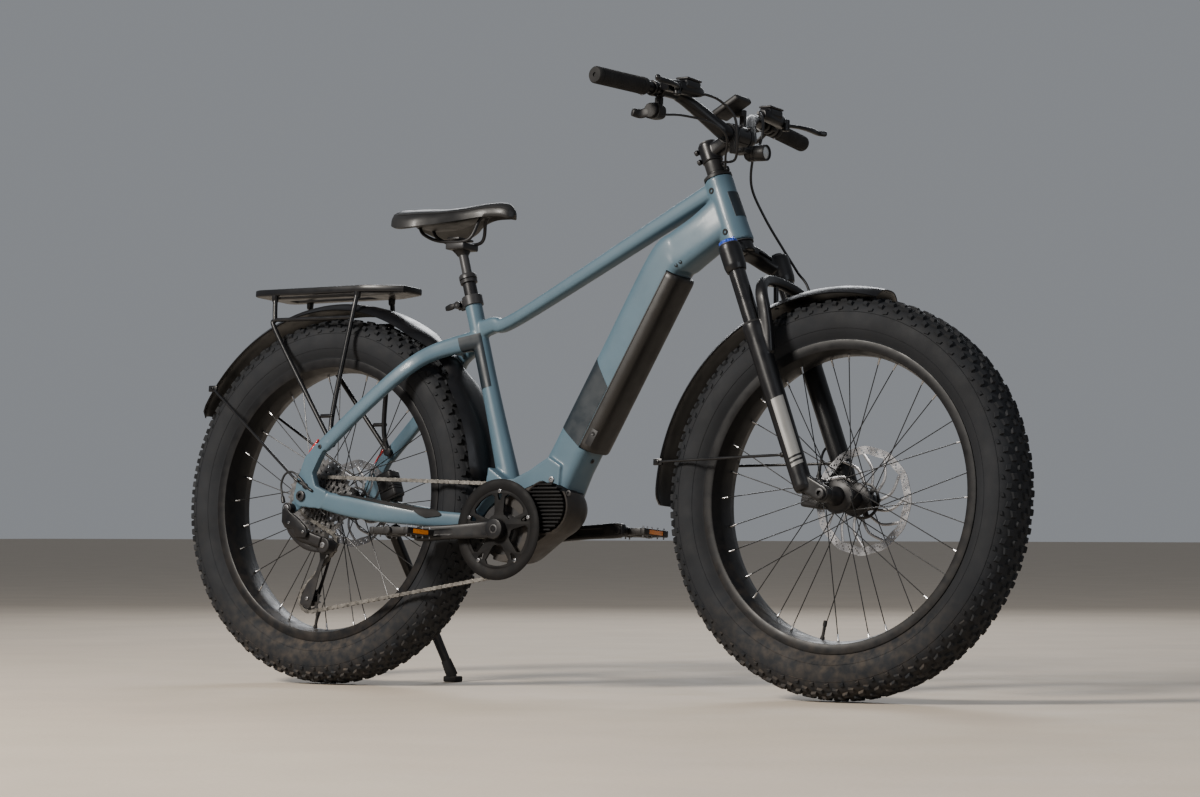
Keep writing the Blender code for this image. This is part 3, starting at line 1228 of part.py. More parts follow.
def handlebar_bore(side):
    """Clear space round the bar, through everything clamped to it."""
    start, outward = grip_line(side, 0.10)
    return rod(start, start + outward * 0.18, clear_of(BAR_RADIUS, 12), steps=12)


def brake_lever():
    """Left two-finger lever blade on its pivot."""
    pivot = brake_pivot(1)
    boss = rod(pivot - UP * 0.0036, pivot + UP * 0.0036, 0.0070, steps=10)
    blade = swept([(pivot + Vector((0.002, 0.004, 0)), 0.0060, 0.0034),
                   (pivot + Vector((0.016, 0.030, 0)), 0.0055, 0.0034),
                   (pivot + Vector((0.020, 0.060, 0)), 0.0040, 0.0046),
                   (pivot + Vector((0.018, 0.090, 0)), 0.0040, 0.0050),
                   (pivot + Vector((0.028, 0.108, 0)), 0.0050, 0.0050)], sides=8, roundness=2.6,
                  towards=Vector((1, 0, 0)))
    bore = rod(pivot - UP * 0.01, pivot + UP * 0.01, 0.0025 + FIT, steps=8)
    return cut(union(boss, blade), bore)


SHIFTER_AHEAD = -0.0560
SHIFTER_ABOVE = BAR_RISE - 0.0440
SHIFTER_OUT = 0.2060


def shifter():
    """Trigger shifter pod under the bar."""
    ring = lever_clamp(-1, 0.178, 0.0095, 0.0150)
    neck = block(bar_point(-0.1835, -0.056, BAR_RISE - 0.024), (0.016, 0.0090, 0.026))
    pod = swept([(bar_point(-0.174, SHIFTER_AHEAD, SHIFTER_ABOVE), 0.010, 0.010),
                 (bar_point(-0.184, SHIFTER_AHEAD, SHIFTER_ABOVE), 0.017, 0.014),
                 (bar_point(-SHIFTER_OUT, SHIFTER_AHEAD, SHIFTER_ABOVE), 0.0175, 0.0150)],
                sides=12, roundness=2.6, towards=Vector((1, 0, 0)))
    return cut(union(ring, neck, pod), handlebar_bore(-1))


def shift_lever():
    """Thumb paddle of the shifter, turning at the pod's outer face."""
    out = SHIFTER_OUT + FIT
    hub_disc = rod(bar_point(-out, SHIFTER_AHEAD, SHIFTER_ABOVE),
                   bar_point(-out - 0.006, SHIFTER_AHEAD, SHIFTER_ABOVE), 0.0140, steps=14)
    paddle = swept([(bar_point(-out - 0.003, SHIFTER_AHEAD - 0.004, SHIFTER_ABOVE - 0.002), 0.0028, 0.0090),
                    (bar_point(-out - 0.006, SHIFTER_AHEAD - 0.020, SHIFTER_ABOVE - 0.006), 0.0050, 0.0090),
                    (bar_point(-out - 0.018, SHIFTER_AHEAD - 0.034, SHIFTER_ABOVE - 0.004), 0.0110, 0.0080)],
                   sides=8, roundness=2.6)
    return union(hub_disc, paddle)


def control_remote():
    """Button pod on the left side of the bar, facing the rider."""
    ring = lever_clamp(1, 0.176, 0.0095, 0.0150)
    centre = assist_button_centre()
    pod = block(centre + Vector((0.0095, 0, 0)), (0.0180, 0.024, 0.032))
    seat = block(centre + Vector((0.0010, 0, 0)), (0.0080, 0.0146, 0.0206))
    return cut(union(ring, pod), handlebar_bore(1), seat)


def assist_button_centre():
    return bar_point(0.1810, -0.0870, BAR_RISE + 0.002)


def assist_button():
    return block(assist_button_centre(), (0.0064, 0.0140, 0.0200))


THROTTLE_OUT = 0.2085


def throttle():
    """Thumb throttle ring on the bar with its paddle."""
    ring = lever_clamp(1, THROTTLE_OUT, 0.0110, 0.0170)
    start, _ = grip_line(1, THROTTLE_OUT + 0.0055)
    paddle = swept([(start + Vector((-0.010, 0, -0.010)), 0.0050, 0.0030),
                    (start + Vector((-0.024, 0, -0.022)), 0.0055, 0.0030),
                    (start + Vector((-0.036, 0.002, -0.026)), 0.0060, 0.0040)], sides=8, roundness=2.6)
    return cut(union(ring, paddle), handlebar_bore(1))


def display():
    """Screen on a bracket that clamps round the bar."""
    face_up = Vector((-0.50, 0, 0.87)).normalized()
    ahead = Vector((face_up.z, 0, -face_up.x))
    centre = bar_point(0.0, -0.014, 0.0560)
    case = block(centre, (0.066, 0.052, 0.013), ahead, face_up)
    arm = block(bar_point(0.0302, -0.006, 0.030), (0.012, 0.008, 0.052))
    link = block(bar_point(0.0250, -0.010, 0.049), (0.020, 0.016, 0.012))
    ring = rod(bar_point(0.0262), bar_point(0.0342), 0.0198, steps=12)
    bar = rod(bar_point(0.020), bar_point(0.040), clear_of(BAR_CLAMP_RADIUS, 12), steps=12)
    return cut(union(case, arm, link, ring), bar)


LIGHT_CENTRE = bar_point(0.0, 0.048, -0.036)


def headlight():
    """Round headlight hung from a clamp on the bar."""
    can = turned([(0.0120, -0.022), (0.0150, -0.017), (0.0155, 0.018), (0.0150, 0.022), (0.0128, 0.022),
                  (0.0120, 0.018)], LIGHT_CENTRE, Vector((1, 0, 0)), 14)
    arm = block(bar_point(-0.0302, 0.014, -0.022), (0.014, 0.008, 0.034))
    bridge = block(bar_point(-0.0180, 0.026, -0.034), (0.034, 0.032, 0.010))
    ring = rod(bar_point(-0.0342), bar_point(-0.0262), 0.0198, steps=12)
    bar = rod(bar_point(-0.040), bar_point(-0.020), clear_of(BAR_CLAMP_RADIUS, 12), steps=12)
    return cut(union(can, arm, bridge, ring), bar)


# Seat
SHAFT_TOP = 0.6040


def seatpost():
    """Outer post with the two collars of the sprung inner shaft."""
    low = 0.270
    outside = [(POST_RADIUS - 0.002, low), (POST_RADIUS, low + 0.002), (POST_RADIUS, POST_HEIGHT - 0.020),
               (0.0175, POST_HEIGHT - 0.018), (0.0180, POST_HEIGHT - 0.004), (0.0160, POST_HEIGHT)]
    inside = [(SHAFT_RADIUS + FIT, POST_HEIGHT), (SHAFT_RADIUS + FIT, low + 0.060), (0.004, low + 0.058),
              (0.004, low)]
    return turned(outside + inside, BOTTOM_BRACKET, SEAT_UP, 12, ring=True)


def seatpost_shaft():
    """Sprung inner shaft with the saddle clamp head."""
    shaft = rod(on_seat(0.400), on_seat(SHAFT_TOP - 0.010), SHAFT_RADIUS, steps=12)
    neck = swept([(on_seat(SHAFT_TOP - 0.024), 0.0105, 0.0105), (on_seat(SHAFT_TOP - 0.010), 0.020, 0.018)],
                 sides=12)
    cradle_block = block(on_seat(SHAFT_TOP - 0.006), (0.046, 0.052, 0.014))
    return union(shaft, neck, cradle_block)


def seat_clamp():
    """Collar at the top of the seat tube with the ears of the quick release."""
    low = SEAT_TUBE_LENGTH - 0.016
    lip = clear_of(POST_RADIUS, 12)
    high = SEAT_TUBE_LENGTH + 0.004
    profile = [(SEAT_TUBE_RADIUS + FIT, low), (0.0205, low), (0.0205, high), (lip, high),
               (lip, SEAT_TUBE_LENGTH + FIT), (SEAT_TUBE_RADIUS + FIT, SEAT_TUBE_LENGTH + FIT)]
    collar = turned(profile, BOTTOM_BRACKET, SEAT_UP, 12, ring=True, phase=math.pi / 12)
    ear = block(on_seat(SEAT_TUBE_LENGTH - 0.006, -0.0265), (0.014, 0.016, 0.018),
                Vector((SEAT_UP.z, 0, -SEAT_UP.x)), SEAT_UP)
    pin = rod(on_seat(SEAT_TUBE_LENGTH - 0.006, -0.0285, -0.0180),
              on_seat(SEAT_TUBE_LENGTH - 0.006, -0.0285, 0.010), 0.0026, steps=8)
    return union(collar, ear, pin)


CLAMP_PIVOT = on_seat(SEAT_TUBE_LENGTH - 0.006, -0.0285, -0.0130)


def seat_clamp_lever():
    """Quick-release lever round the clamp's pin, folded back along the right side."""
    hub_disc = turned([(0.0029, -0.0045), (0.0075, -0.0045), (0.0075, 0.0042), (0.0029, 0.0042)],
                      CLAMP_PIVOT, LEFT, 10, ring=True)
    start = CLAMP_PIVOT + Vector((-0.006, 0, 0.000))
    blade = swept([(start, 0.0036, 0.0045), (start + Vector((-0.010, -0.001, -0.003)), 0.0034, 0.0065),
                   (start + Vector((-0.024, 0.001, -0.006)), 0.0034, 0.0050)], sides=8, roundness=2.6)
    return union(hub_disc, blade)


# Distance from the rear, share of the width, lift of the top and depth of the skirt
SADDLE_STATIONS = (
    (0.000, 0.42, -0.006, 0.024),
    (0.014, 0.80, -0.001, 0.040),
    (0.045, 0.98, -0.002, 0.047),
    (0.085, 1.00, -0.003, 0.045),
    (0.125, 0.78, -0.004, 0.038),
    (0.165, 0.46, 0.000, 0.032),
    (0.205, 0.29, 0.005, 0.030),
    (0.243, 0.235, 0.005, 0.030),
    (0.261, 0.17, -0.002, 0.026),
    (SADDLE_LENGTH - 0.003, 0.06, -0.014, 0.012))


def saddle():
    """Padded top: broad and dished at the rear, narrow and crowned at the nose."""
    rings = []
    for along, wide, lift, depth in SADDLE_STATIONS:
        half = SADDLE_WIDTH / 2 * wide
        x = SADDLE_REAR + along * SADDLE_LENGTH / 0.272
        top = SADDLE_TOP + lift
        crown = ((0.0, 0.0), (0.50, -0.10), (0.85, -0.38), (1.0, -1.0), (0.90, -1.04), (0.55, -0.62))
        right = [Vector((x, -half * w, top + depth * h)) for w, h in crown]
        left = [Vector((x, half * w, top + depth * h)) for w, h in reversed(crown[1:])]
        rings.append(right + [Vector((x, 0, top - depth * 0.58))] + left)
    return loft(rings)


def saddle_base():
    """Shell under the padding with the two steel rails."""
    thick = 0.0045
    stations = []
    for along, wide, lift, depth in SADDLE_STATIONS[2:7]:
        under = SADDLE_TOP + lift - depth * 0.60 - thick - 2 * FIT
        point = Vector((SADDLE_REAR + along, 0, under))
        stations.append((point, SADDLE_WIDTH / 2 * wide * 0.50, thick))
    shell = swept(stations, sides=8, roundness=3.0)
    rear = stations[0][0]
    front = stations[-1][0]
    clamp = on_seat(SHAFT_TOP + 0.0052)
    rails = []
    for side in LEG_SIDES:
        wide = side * 0.022
        route = [Vector((rear.x + 0.003, wide, rear.z)),
                 Vector((rear.x + 0.015, wide, rear.z - 0.018)),
                 Vector((clamp.x - 0.034, wide, clamp.z)),
                 Vector((clamp.x + 0.034, wide, clamp.z)),
                 Vector((front.x - 0.016, wide * 0.50, front.z - 0.012)),
                 Vector((front.x - 0.003, wide * 0.32, front.z))]
        rails.append(swept([(point, 0.0035, 0.0035) for point in route], sides=6))
    return union(shell, *rails)


# Rack
def rack():
    """Deck with rounded edges on two pairs of struts, held at the seat stays and the fender."""
    middle = RACK_REAR + RACK_LENGTH / 2
    half = RACK_WIDTH / 2
    front = RACK_REAR + RACK_LENGTH
    outline = [(RACK_REAR, -half * 0.80), (RACK_REAR + 0.012, -half), (front - 0.085, -half),
               (front, -half * 0.50), (front, half * 0.50), (front - 0.085, half),
               (RACK_REAR + 0.012, half), (RACK_REAR, half * 0.80)]
    low = [Vector((x, y * 0.94, RACK_TOP - RACK_THICKNESS)) for x, y in outline]
    edge = [Vector((x, y, RACK_TOP - 0.004)) for x, y in outline]
    top = [Vector((x + (middle - x) * 0.015, y * 0.93, RACK_TOP)) for x, y in outline]
    deck = loft([low, edge, top])
    slots = [block(Vector((middle - 0.045, side * half * 0.46, RACK_TOP)),
                   (RACK_LENGTH * 0.58, half * 0.44, 0.06)) for side in LEG_SIDES]
    deck = cut(deck, *slots)
    parts = []
    under = RACK_TOP - RACK_THICKNESS + 0.002
    for side in LEG_SIDES:
        foot = at(REAR_AXLE, 0.047, side * (RACK_FOOT_OUT - 0.0055), 0.112)
        parts.append(swept([(Vector((RACK_REAR + 0.057, side * 0.056, under)), RACK_ROD, RACK_ROD),
                            (Vector((RACK_REAR + 0.063, side * 0.0605, under - 0.049)), RACK_ROD, RACK_ROD),
                            (Vector((RACK_REAR + 0.075, side * 0.064, under - 0.083)), RACK_ROD, RACK_ROD),
                            (foot, RACK_ROD, RACK_ROD)], sides=6))
        parts.append(swept([(Vector((RACK_REAR + 0.274, side * 0.056, under)), RACK_ROD, RACK_ROD),
                            (Vector((RACK_REAR + 0.270, side * 0.066, under - 0.060)), RACK_ROD, RACK_ROD),
                            (Vector((RACK_REAR + 0.248, side * 0.083, under - 0.250)), RACK_ROD, RACK_ROD),
                            (at(foot, 0.004, 0, 0), RACK_ROD, RACK_ROD)], sides=6))
        parts.append(rod(Vector((RACK_REAR + 0.064, side * 0.0610, under - 0.052)),
                         Vector((RACK_REAR + 0.271, side * 0.0650, under - 0.054)), 0.0042, steps=6))
        parts.append(rod(at(foot, -0.032, -side * 0.0055, 0.052), at(foot, 0.000, -side * 0.0050, 0.052),
                         0.0040, steps=6))
        parts.append(rod(at(foot, 0.004, side * 0.0044, -0.004), at(foot, 0.004, -side * 0.0040, -0.004),
                         0.0090, steps=10))
    return union(deck, *parts)


RACK_FOOT_OUT = 0.0964


# Kickstand
def ground_height(left, contact):
    """Height in the upright bike frame of the floor that the leaning bike stands on."""
    return left * math.tan(LEAN) + contact


def kickstand_leg():
    """Leg on its pivot under the left chain stay, out and down to a rubber foot."""
    floor = ground_height(KICK_FOOT.y, TYRE_CONTACT)
    foot = Vector((KICK_FOOT.x, KICK_FOOT.y, floor))
    normal = Vector((0, -math.sin(LEAN), math.cos(LEAN)))
    ahead = Vector((1, 0, 0))
    pad = block(foot + normal * 0.006, (0.034, 0.024, 0.012), ahead, normal)
    ankle = foot + normal * 0.010
    knee = KICK_PIVOT + (ankle - KICK_PIVOT) * 0.12
    leg = swept([(KICK_PIVOT + (ankle - KICK_PIVOT) * 0.03, 0.010, 0.010), (knee, 0.0105, 0.0105),
                 (ankle, 0.0085, 0.0085)], sides=8, roundness=3.0)
    knuckle = rod(KICK_PIVOT - KICK_AXIS * 0.014, KICK_PIVOT + KICK_AXIS * 0.014, 0.0125, steps=12)
    return union(knuckle, leg, pad)


def tyre_contact():
    """Lowest height of the leaning tyres above the plane through the upright frame's origin."""
    half = TYRE_WIDTH / 2
    drop = 0.42 * half * math.sin(LEAN) - TYRE_RADIUS * math.cos(LEAN)
    shoulder = -(TYRE_RADIUS * math.cos(LEAN) + 0.42 * half * math.sin(LEAN))
    return (REAR_AXLE.z * math.cos(LEAN) + min(drop, shoulder)) / math.cos(LEAN)


TYRE_CONTACT = tyre_contact()


# Hoses
def front_hose():
    """Front brake hose, from the left lever in front of the bar and down to the caliper."""
    return hose([bar_point(0.1090, -0.014, BAR_RISE + 0.004), bar_point(0.0980, -0.012, BAR_RISE + 0.0038),
                 bar_point(0.0800, 0.006, BAR_RISE - 0.010), bar_point(0.0550, 0.024, 0.020),
                 bar_point(0.0490, 0.022, -0.010), bar_point(0.0460, 0.010, -0.036),
                 Vector((0.3268, 0.062, 0.972)), Vector((0.3450, 0.0870, 0.9135)),
                 Vector((0.3790, 0.1060, 0.8520)), Vector((0.4040, 0.1140, 0.8130)),
                 Vector((0.4327, 0.1160, 0.7703)),
                 on_leg(0.230, 1, 0.006, 0.0250), on_leg(0.330, 1, -0.003, 0.0245),
                 on_leg(0.390, 1, -0.014, 0.0210), on_leg(0.417, 1, -0.028, -0.0020),
                 at(FRONT_HOSE_END, 0.0020, 0.0010, 0.0290), at(FRONT_HOSE_END, 0.0008, 0.0005, 0.0120),
                 FRONT_HOSE_END],
                HOSE_RADIUS, 0.0150)


FRONT_HOSE_END = at(FRONT_AXLE, -0.1035, 0.0700, 0.0456)


def control_cables():
    """Rear brake hose and shift cable, side by side through one grommet in the headset cover."""
    port = on_head(HEAD_TUBE_LENGTH + 2 * FIT + COVER_HEIGHT, SPACER_RADIUS + 0.0056, 0.0)
    grommet = rod(port, port + STEER_UP * 0.009, 0.0050, steps=10)
    brake = hose([bar_point(-0.1090, -0.014, BAR_RISE + 0.004), bar_point(-0.0980, -0.012, BAR_RISE + 0.0036),
                  bar_point(-0.0800, 0.010, BAR_RISE - 0.006), bar_point(-0.0600, 0.032, 0.026),
                  bar_point(-0.0530, 0.036, -0.014),
                  bar_point(-0.0380, 0.024, -0.052), port + STEER_UP * 0.016 - LEFT * 0.0090,
                  port + STEER_UP * 0.0075 - LEFT * 0.0028], HOSE_RADIUS, 0.0130)
    shift = hose([bar_point(-0.1732, SHIFTER_AHEAD, SHIFTER_ABOVE),
                  bar_point(-0.1620, SHIFTER_AHEAD + 0.002, SHIFTER_ABOVE),
                  bar_point(-0.1340, -0.034, 0.018), bar_point(-0.1000, 0.006, 0.008),
                  bar_point(-0.0720, 0.024, -0.014),
                  bar_point(-0.0500, 0.010, -0.050), bar_point(-0.0260, -0.004, -0.066),
                  port + STEER_UP * 0.0075 + LEFT * 0.0022], CABLE_RADIUS, 0.0130)
    return union(grommet, brake, shift)


def make_bodies():
    """Root and one empty on each joint axis, in the order in which they carry each other."""
    body("bike")
    body("frame", "bike")
    body("crank", "frame", BOTTOM_BRACKET, LEFT)
    body("pedal_right", "crank", PEDAL_RIGHT, LEFT)
    body("pedal_left", "crank", PEDAL_LEFT, LEFT)
    body("rear_wheel", "frame", REAR_AXLE, LEFT)
    body("cassette", "frame", REAR_AXLE, LEFT)
    body("derailleur_cage", "frame", CAGE_PIVOT, LEFT)
    body("guide_pulley", "derailleur_cage", GUIDE_PULLEY, LEFT)
    body("tension_pulley", "derailleur_cage", TENSION_PULLEY, LEFT)
    body("battery", "frame", BATTERY_HOOK, LEFT)
    body("charge_port_cover", "frame", PORT_HINGE, LEFT)
    body("kickstand", "frame", KICK_PIVOT, KICK_AXIS)
    body("seatpost", "frame", on_seat(SEAT_TUBE_LENGTH), SEAT_UP)
    body("saddle", "seatpost", on_seat(POST_HEIGHT), SEAT_UP)
    body("seat_clamp_lever", "frame", CLAMP_PIVOT, LEFT)
    body("steering", "frame", HEAD_BASE, STEER_UP)
    body("fork_lowers", "steering", on_head(-SEAL_DEPTH, FORK_LEG_OFFSET), STEER_UP)
    body("front_wheel", "fork_lowers", FRONT_AXLE, LEFT)
    body("lockout_dial", "steering", on_leg(CAP_DEPTH, -1), STEER_UP)
    body("brake_lever_right", "steering", brake_pivot(-1), UP)
    body("brake_lever_left", "steering", brake_pivot(1), UP)
    body("shift_lever", "steering", bar_point(-SHIFTER_OUT, SHIFTER_AHEAD, SHIFTER_ABOVE), LEFT)
    body("throttle", "steering", grip_line(1, THROTTLE_OUT)[0], grip_line(1, THROTTLE_OUT)[1])
    body("assist_button", "steering", assist_button_centre(), Vector((1, 0, 0)))


BATTERY_HOOK = on_down(BATTERY_START, DOWN_TUBE_DEPTH + 0.001)


def make_nodes():
    node("frame", frame(), BLUE_PAINT, "frame")
    node("motor_housing", motor_housing(), BLACK_METAL, "frame")
    node("motor_cover", motor_cover(), BLACK_PLASTIC, "frame")
    node("battery", battery(), BLACK_PLASTIC, "battery")
    node("charge_port_cover", charge_port_cover(), RUBBER, "charge_port_cover")
    node("chainring", chainring(), DARK_STEEL, "crank")
    node("chainring_guard", chainring_guard(), BLACK_METAL, "crank")
    node("crank_arm_right", crank_arm(-1), BLACK_METAL, "crank")
    node("crank_arm_left", crank_arm(1), BLACK_METAL, "crank")
    node("pedal_right", pedal(PEDAL_RIGHT, -1), BLACK_PLASTIC, "pedal_right")
    node("pedal_left", pedal(PEDAL_LEFT, 1), BLACK_PLASTIC, "pedal_left")
    node("chain", chain(), STEEL, "frame")
    node("derailleur_body", derailleur_body(), BLACK_METAL, "frame")
    node("derailleur_cage", derailleur_cage(), BLACK_METAL, "derailleur_cage")
    node("guide_pulley", pulley(GUIDE_PULLEY, GUIDE_TEETH), BLACK_PLASTIC, "guide_pulley")
    node("tension_pulley", pulley(TENSION_PULLEY, TENSION_TEETH), BLACK_PLASTIC, "tension_pulley")
    node("cassette", cassette(), DARK_STEEL, "cassette")
    node("rear_tyre", tyre(REAR_AXLE), RUBBER, "rear_wheel")
    node("rear_rim", rim(REAR_AXLE, REAR_FLANGES), BLACK_PAINT, "rear_wheel")
    node("rear_hub", rear_hub(), BLACK_METAL, "rear_wheel")
    node("rear_rotor", rotor(REAR_AXLE, REAR_ROTOR_RADIUS, REAR_ROTOR_OUT), STEEL, "rear_wheel")
    node("rear_axle", wheel_axle(REAR_AXLE, DROPOUT_OUTER, 0.0105), BLACK_METAL, "frame")
    node("rear_brake_caliper", rear_caliper(), BLACK_METAL, "frame")
    node("front_tyre", tyre(FRONT_AXLE), RUBBER, "front_wheel")
    node("front_rim", rim(FRONT_AXLE, FRONT_FLANGES), BLACK_PAINT, "front_wheel")
    node("front_hub", front_hub(), BLACK_METAL, "front_wheel")
    node("front_rotor", rotor(FRONT_AXLE, FRONT_ROTOR_RADIUS, FRONT_ROTOR_OUT), STEEL, "front_wheel")
    node("fork_crown", fork_crown(), BLACK_PAINT, "steering")
    node("fork_lowers", fork_lowers(), BLACK_PAINT, "fork_lowers")
    node("front_axle", wheel_axle(FRONT_AXLE, FORK_SPREAD + 0.009, 0.0100), BLACK_METAL, "fork_lowers")
    node("front_brake_caliper", front_caliper(), BLACK_METAL, "fork_lowers")
    node("front_fender", front_fender(), BLACK_PAINT, "fork_lowers")
    node("rear_fender", rear_fender(), BLACK_PAINT, "frame")
    node("rack", rack(), BLACK_PAINT, "frame")
    node("headset_cover", headset_cover(), BLACK_PLASTIC, "steering")
    node("stem", stem(), BLACK_PAINT, "steering")
    node("handlebar", handlebar(), BLACK_PAINT, "steering")
    node("grip_right", grip(-1), RUBBER, "steering")
    node("grip_left", grip(1), RUBBER, "steering")
    node("brake_master_right", mirrored(brake_master()), BLACK_METAL, "steering")
    node("brake_master_left", brake_master(), BLACK_METAL, "steering")
    node("brake_lever_right", mirrored(brake_lever()), BLACK_METAL, "brake_lever_right")
    node("brake_lever_left", brake_lever(), BLACK_METAL, "brake_lever_left")
    node("shifter", shifter(), BLACK_PLASTIC, "steering")
    node("shift_lever", shift_lever(), BLACK_PLASTIC, "shift_lever")
    node("control_remote", control_remote(), BLACK_PLASTIC, "steering")
    node("assist_button", assist_button(), RUBBER, "assist_button")
    node("throttle", throttle(), BLACK_PLASTIC, "throttle")
    node("display", display(), BLACK_PLASTIC, "steering")
    node("headlight", headlight(), BLACK_PLASTIC, "steering")
    node("lockout_dial", lockout_dial(), BLUE_DIAL, "lockout_dial")
    node("front_brake_hose", front_hose(), RUBBER, "steering")
    node("control_cables", control_cables(), RUBBER, "steering")
    node("seatpost", seatpost(), BLACK_METAL, "seatpost")
    node("seatpost_shaft", seatpost_shaft(), BLACK_METAL, "saddle")
    node("saddle", saddle(), BLACK_PLASTIC, "saddle")
    node("saddle_base", saddle_base(), BLACK_METAL, "saddle")
    node("seat_clamp", seat_clamp(), BLACK_METAL, "frame")
    node("seat_clamp_lever", seat_clamp_lever(), BLACK_METAL, "seat_clamp_lever")
    node("kickstand_leg", kickstand_leg(), BLACK_METAL, "kickstand")


def lean_on_stand():
    """Lean the whole bike to its left and put the middle of its box on the floor at the origin."""
    root = BODIES["bike"][0]
    turn = Matrix.Rotation(-LEAN, 4, "X")
    root.matrix_world = turn
    bpy.context.view_layer.update()
    low = Vector((math.inf, math.inf, math.inf))
    high = -low
    for piece in bpy.context.scene.objects:
        if piece.type == "MESH":
            for vertex in piece.data.vertices:
                point = piece.matrix_world @ vertex.co
                low = Vector(map(min, low, point))
                high = Vector(map(max, high, point))
    shift = Vector((-(low.x + high.x) / 2, -(low.y + high.y) / 2, -low.z))
    root.matrix_world = Matrix.Translation(shift) @ turn
    bpy.context.view_layer.update()


def main():
    for old in list(bpy.data.objects):
        bpy.data.objects.remove(old)
    make_bodies()
    make_nodes()
    lean_on_stand()


main()
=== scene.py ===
# Looks of an electric bicycle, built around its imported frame.
# Shapes are made in the upright bicycle's frame: metres, +X forward, +Y to the rider's left,
# +Z up, with the origin on the floor midway between the wheels. LEANED then turns them over
# onto the kickstand, where the frame has them.
import json
import math

import bmesh
import bpy
from mathutils import Matrix, Vector


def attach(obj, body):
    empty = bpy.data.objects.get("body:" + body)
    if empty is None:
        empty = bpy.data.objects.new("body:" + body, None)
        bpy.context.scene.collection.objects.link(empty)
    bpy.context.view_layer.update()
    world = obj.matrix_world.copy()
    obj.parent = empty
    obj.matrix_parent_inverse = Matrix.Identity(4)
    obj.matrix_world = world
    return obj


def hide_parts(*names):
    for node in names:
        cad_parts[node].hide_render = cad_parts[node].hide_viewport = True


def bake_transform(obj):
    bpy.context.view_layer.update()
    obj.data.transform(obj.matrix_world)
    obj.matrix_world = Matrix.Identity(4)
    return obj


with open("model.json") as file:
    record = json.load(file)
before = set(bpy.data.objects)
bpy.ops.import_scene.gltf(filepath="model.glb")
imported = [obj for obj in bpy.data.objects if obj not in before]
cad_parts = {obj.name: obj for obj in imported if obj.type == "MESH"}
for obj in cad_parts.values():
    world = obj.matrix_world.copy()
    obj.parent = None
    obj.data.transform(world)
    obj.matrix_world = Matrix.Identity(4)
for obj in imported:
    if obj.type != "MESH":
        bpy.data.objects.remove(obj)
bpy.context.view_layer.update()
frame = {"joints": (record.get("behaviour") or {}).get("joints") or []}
JOINTS = {joint["name"]: joint for joint in frame["joints"]}

# Driving dimensions, the same as those of the solids
WHEELBASE = 1.200
TYRE_RADIUS = 0.3705
RIM_RADIUS = 0.2865
RIM_WIDTH = 0.080
RIM_DEPTH = 0.024
SPOKES_PER_SIDE = 16
SPOKE_CROSSING = math.radians(67.5)
SPOKE_HOLE_RADIUS = 0.0290
HEAD_ANGLE = math.radians(68.0)
FORK_LENGTH = 0.5435
FORK_OFFSET = 0.0586
HEAD_TUBE_LENGTH = 0.136
BOTTOM_BRACKET_DROP = 0.0636
CHAINSTAY_REACH = 0.4624
SEAT_ANGLE = math.radians(72.8)
SEAT_TUBE_LENGTH = 0.488
SEAT_TUBE_RADIUS = 0.0173
POST_RADIUS = 0.0136
DOWN_TUBE_ANGLE = math.radians(61.0)
DOWN_TUBE_DEPTH = 0.077
DOWN_TUBE_WIDTH = 0.078
TOP_TUBE_ANGLE = math.radians(26.8)
TOP_TUBE_ON_HEAD = 0.1194
TOP_TUBE_ON_SEAT = 0.4180
TOP_TUBE_HEIGHT = 0.030
TOP_TUBE_WIDTH = 0.038
STAY_SPREAD = 0.1065
DROPOUT_INNER = 0.0985
DROPOUT_OUTER = 0.1150
BATTERY_START = 0.218
BATTERY_LENGTH = 0.383
BATTERY_FRONT = 0.0895
BATTERY_SEAM = 0.0605
MOTOR_WIDTH = 0.100
MOTOR_RADIUS = 0.060
DRUM_RADIUS = 0.048
DRUM_WIDTH = 0.122
COVER_WALL = 0.0048
CRANK_LENGTH = 0.170
CRANK_TILT = math.radians(3.8)
CRANK_INNER = 0.0715
CRANK_THICKNESS = 0.0150
CRANK_FLARE = 0.0180
PEDAL_LENGTH = 0.098
PEDAL_WIDTH = 0.096
PEDAL_THICKNESS = 0.017
CHAIN_PITCH = 0.0127
CHAINRING_TEETH = 44
CHAIN_LINE = 0.0640
GUARD_RADIUS = 0.0985
COG_TEETH = (11, 13, 15, 18, 21, 24, 28, 34, 40)
COG_SPACING = 0.00435
CHAIN_COG = 4
SMALL_COG_OUT = 0.0917
GUIDE_TEETH = 11
TENSION_TEETH = 13
CAGE_HALF_GAP = 0.0085
FORK_SPREAD = 0.0860
FORK_LEG_OFFSET = 0.0250
STANCHION_RADIUS = 0.0160
LEG_RADIUS = 0.0205
SEAL_DEPTH = 0.190
CAP_DEPTH = 0.0280
FRONT_HUB_HALF = 0.0750
FRONT_FLANGES = (-0.034, 0.030)
REAR_FLANGES = (-0.040, 0.036)
AXLE_BORE = 0.0065
HUB_END_RADIUS = 0.0103
REAR_ROTOR_RADIUS = 0.0900
FRONT_ROTOR_RADIUS = 0.1015
ROTOR_OUT = 0.0585
ROTOR_THICKNESS = 0.0020
FENDER_HALF_WIDTH = 0.0560
FRONT_FENDER_RADIUS = 0.390
REAR_FENDER_RADIUS = 0.392
STEM_RISE = 0.1914
STEM_REACH = 0.0638
BAR_RADIUS = 0.0111
BAR_GAP = 0.0004
BAR_CLAMP_RADIUS = 0.0159
BAR_HALF_WIDTH = 0.3620
BAR_RISE = 0.0600
BAR_DROP = 0.0050
BAR_SWEEP = 0.0770
GRIP_LENGTH = 0.1350
POST_HEIGHT = 0.5390
SHAFT_TOP = 0.6040
SHAFT_RADIUS = 0.0098
SADDLE_LENGTH = 0.272
SADDLE_WIDTH = 0.180
SADDLE_REAR = -0.455
SADDLE_TOP = 0.958
RACK_LENGTH = 0.374
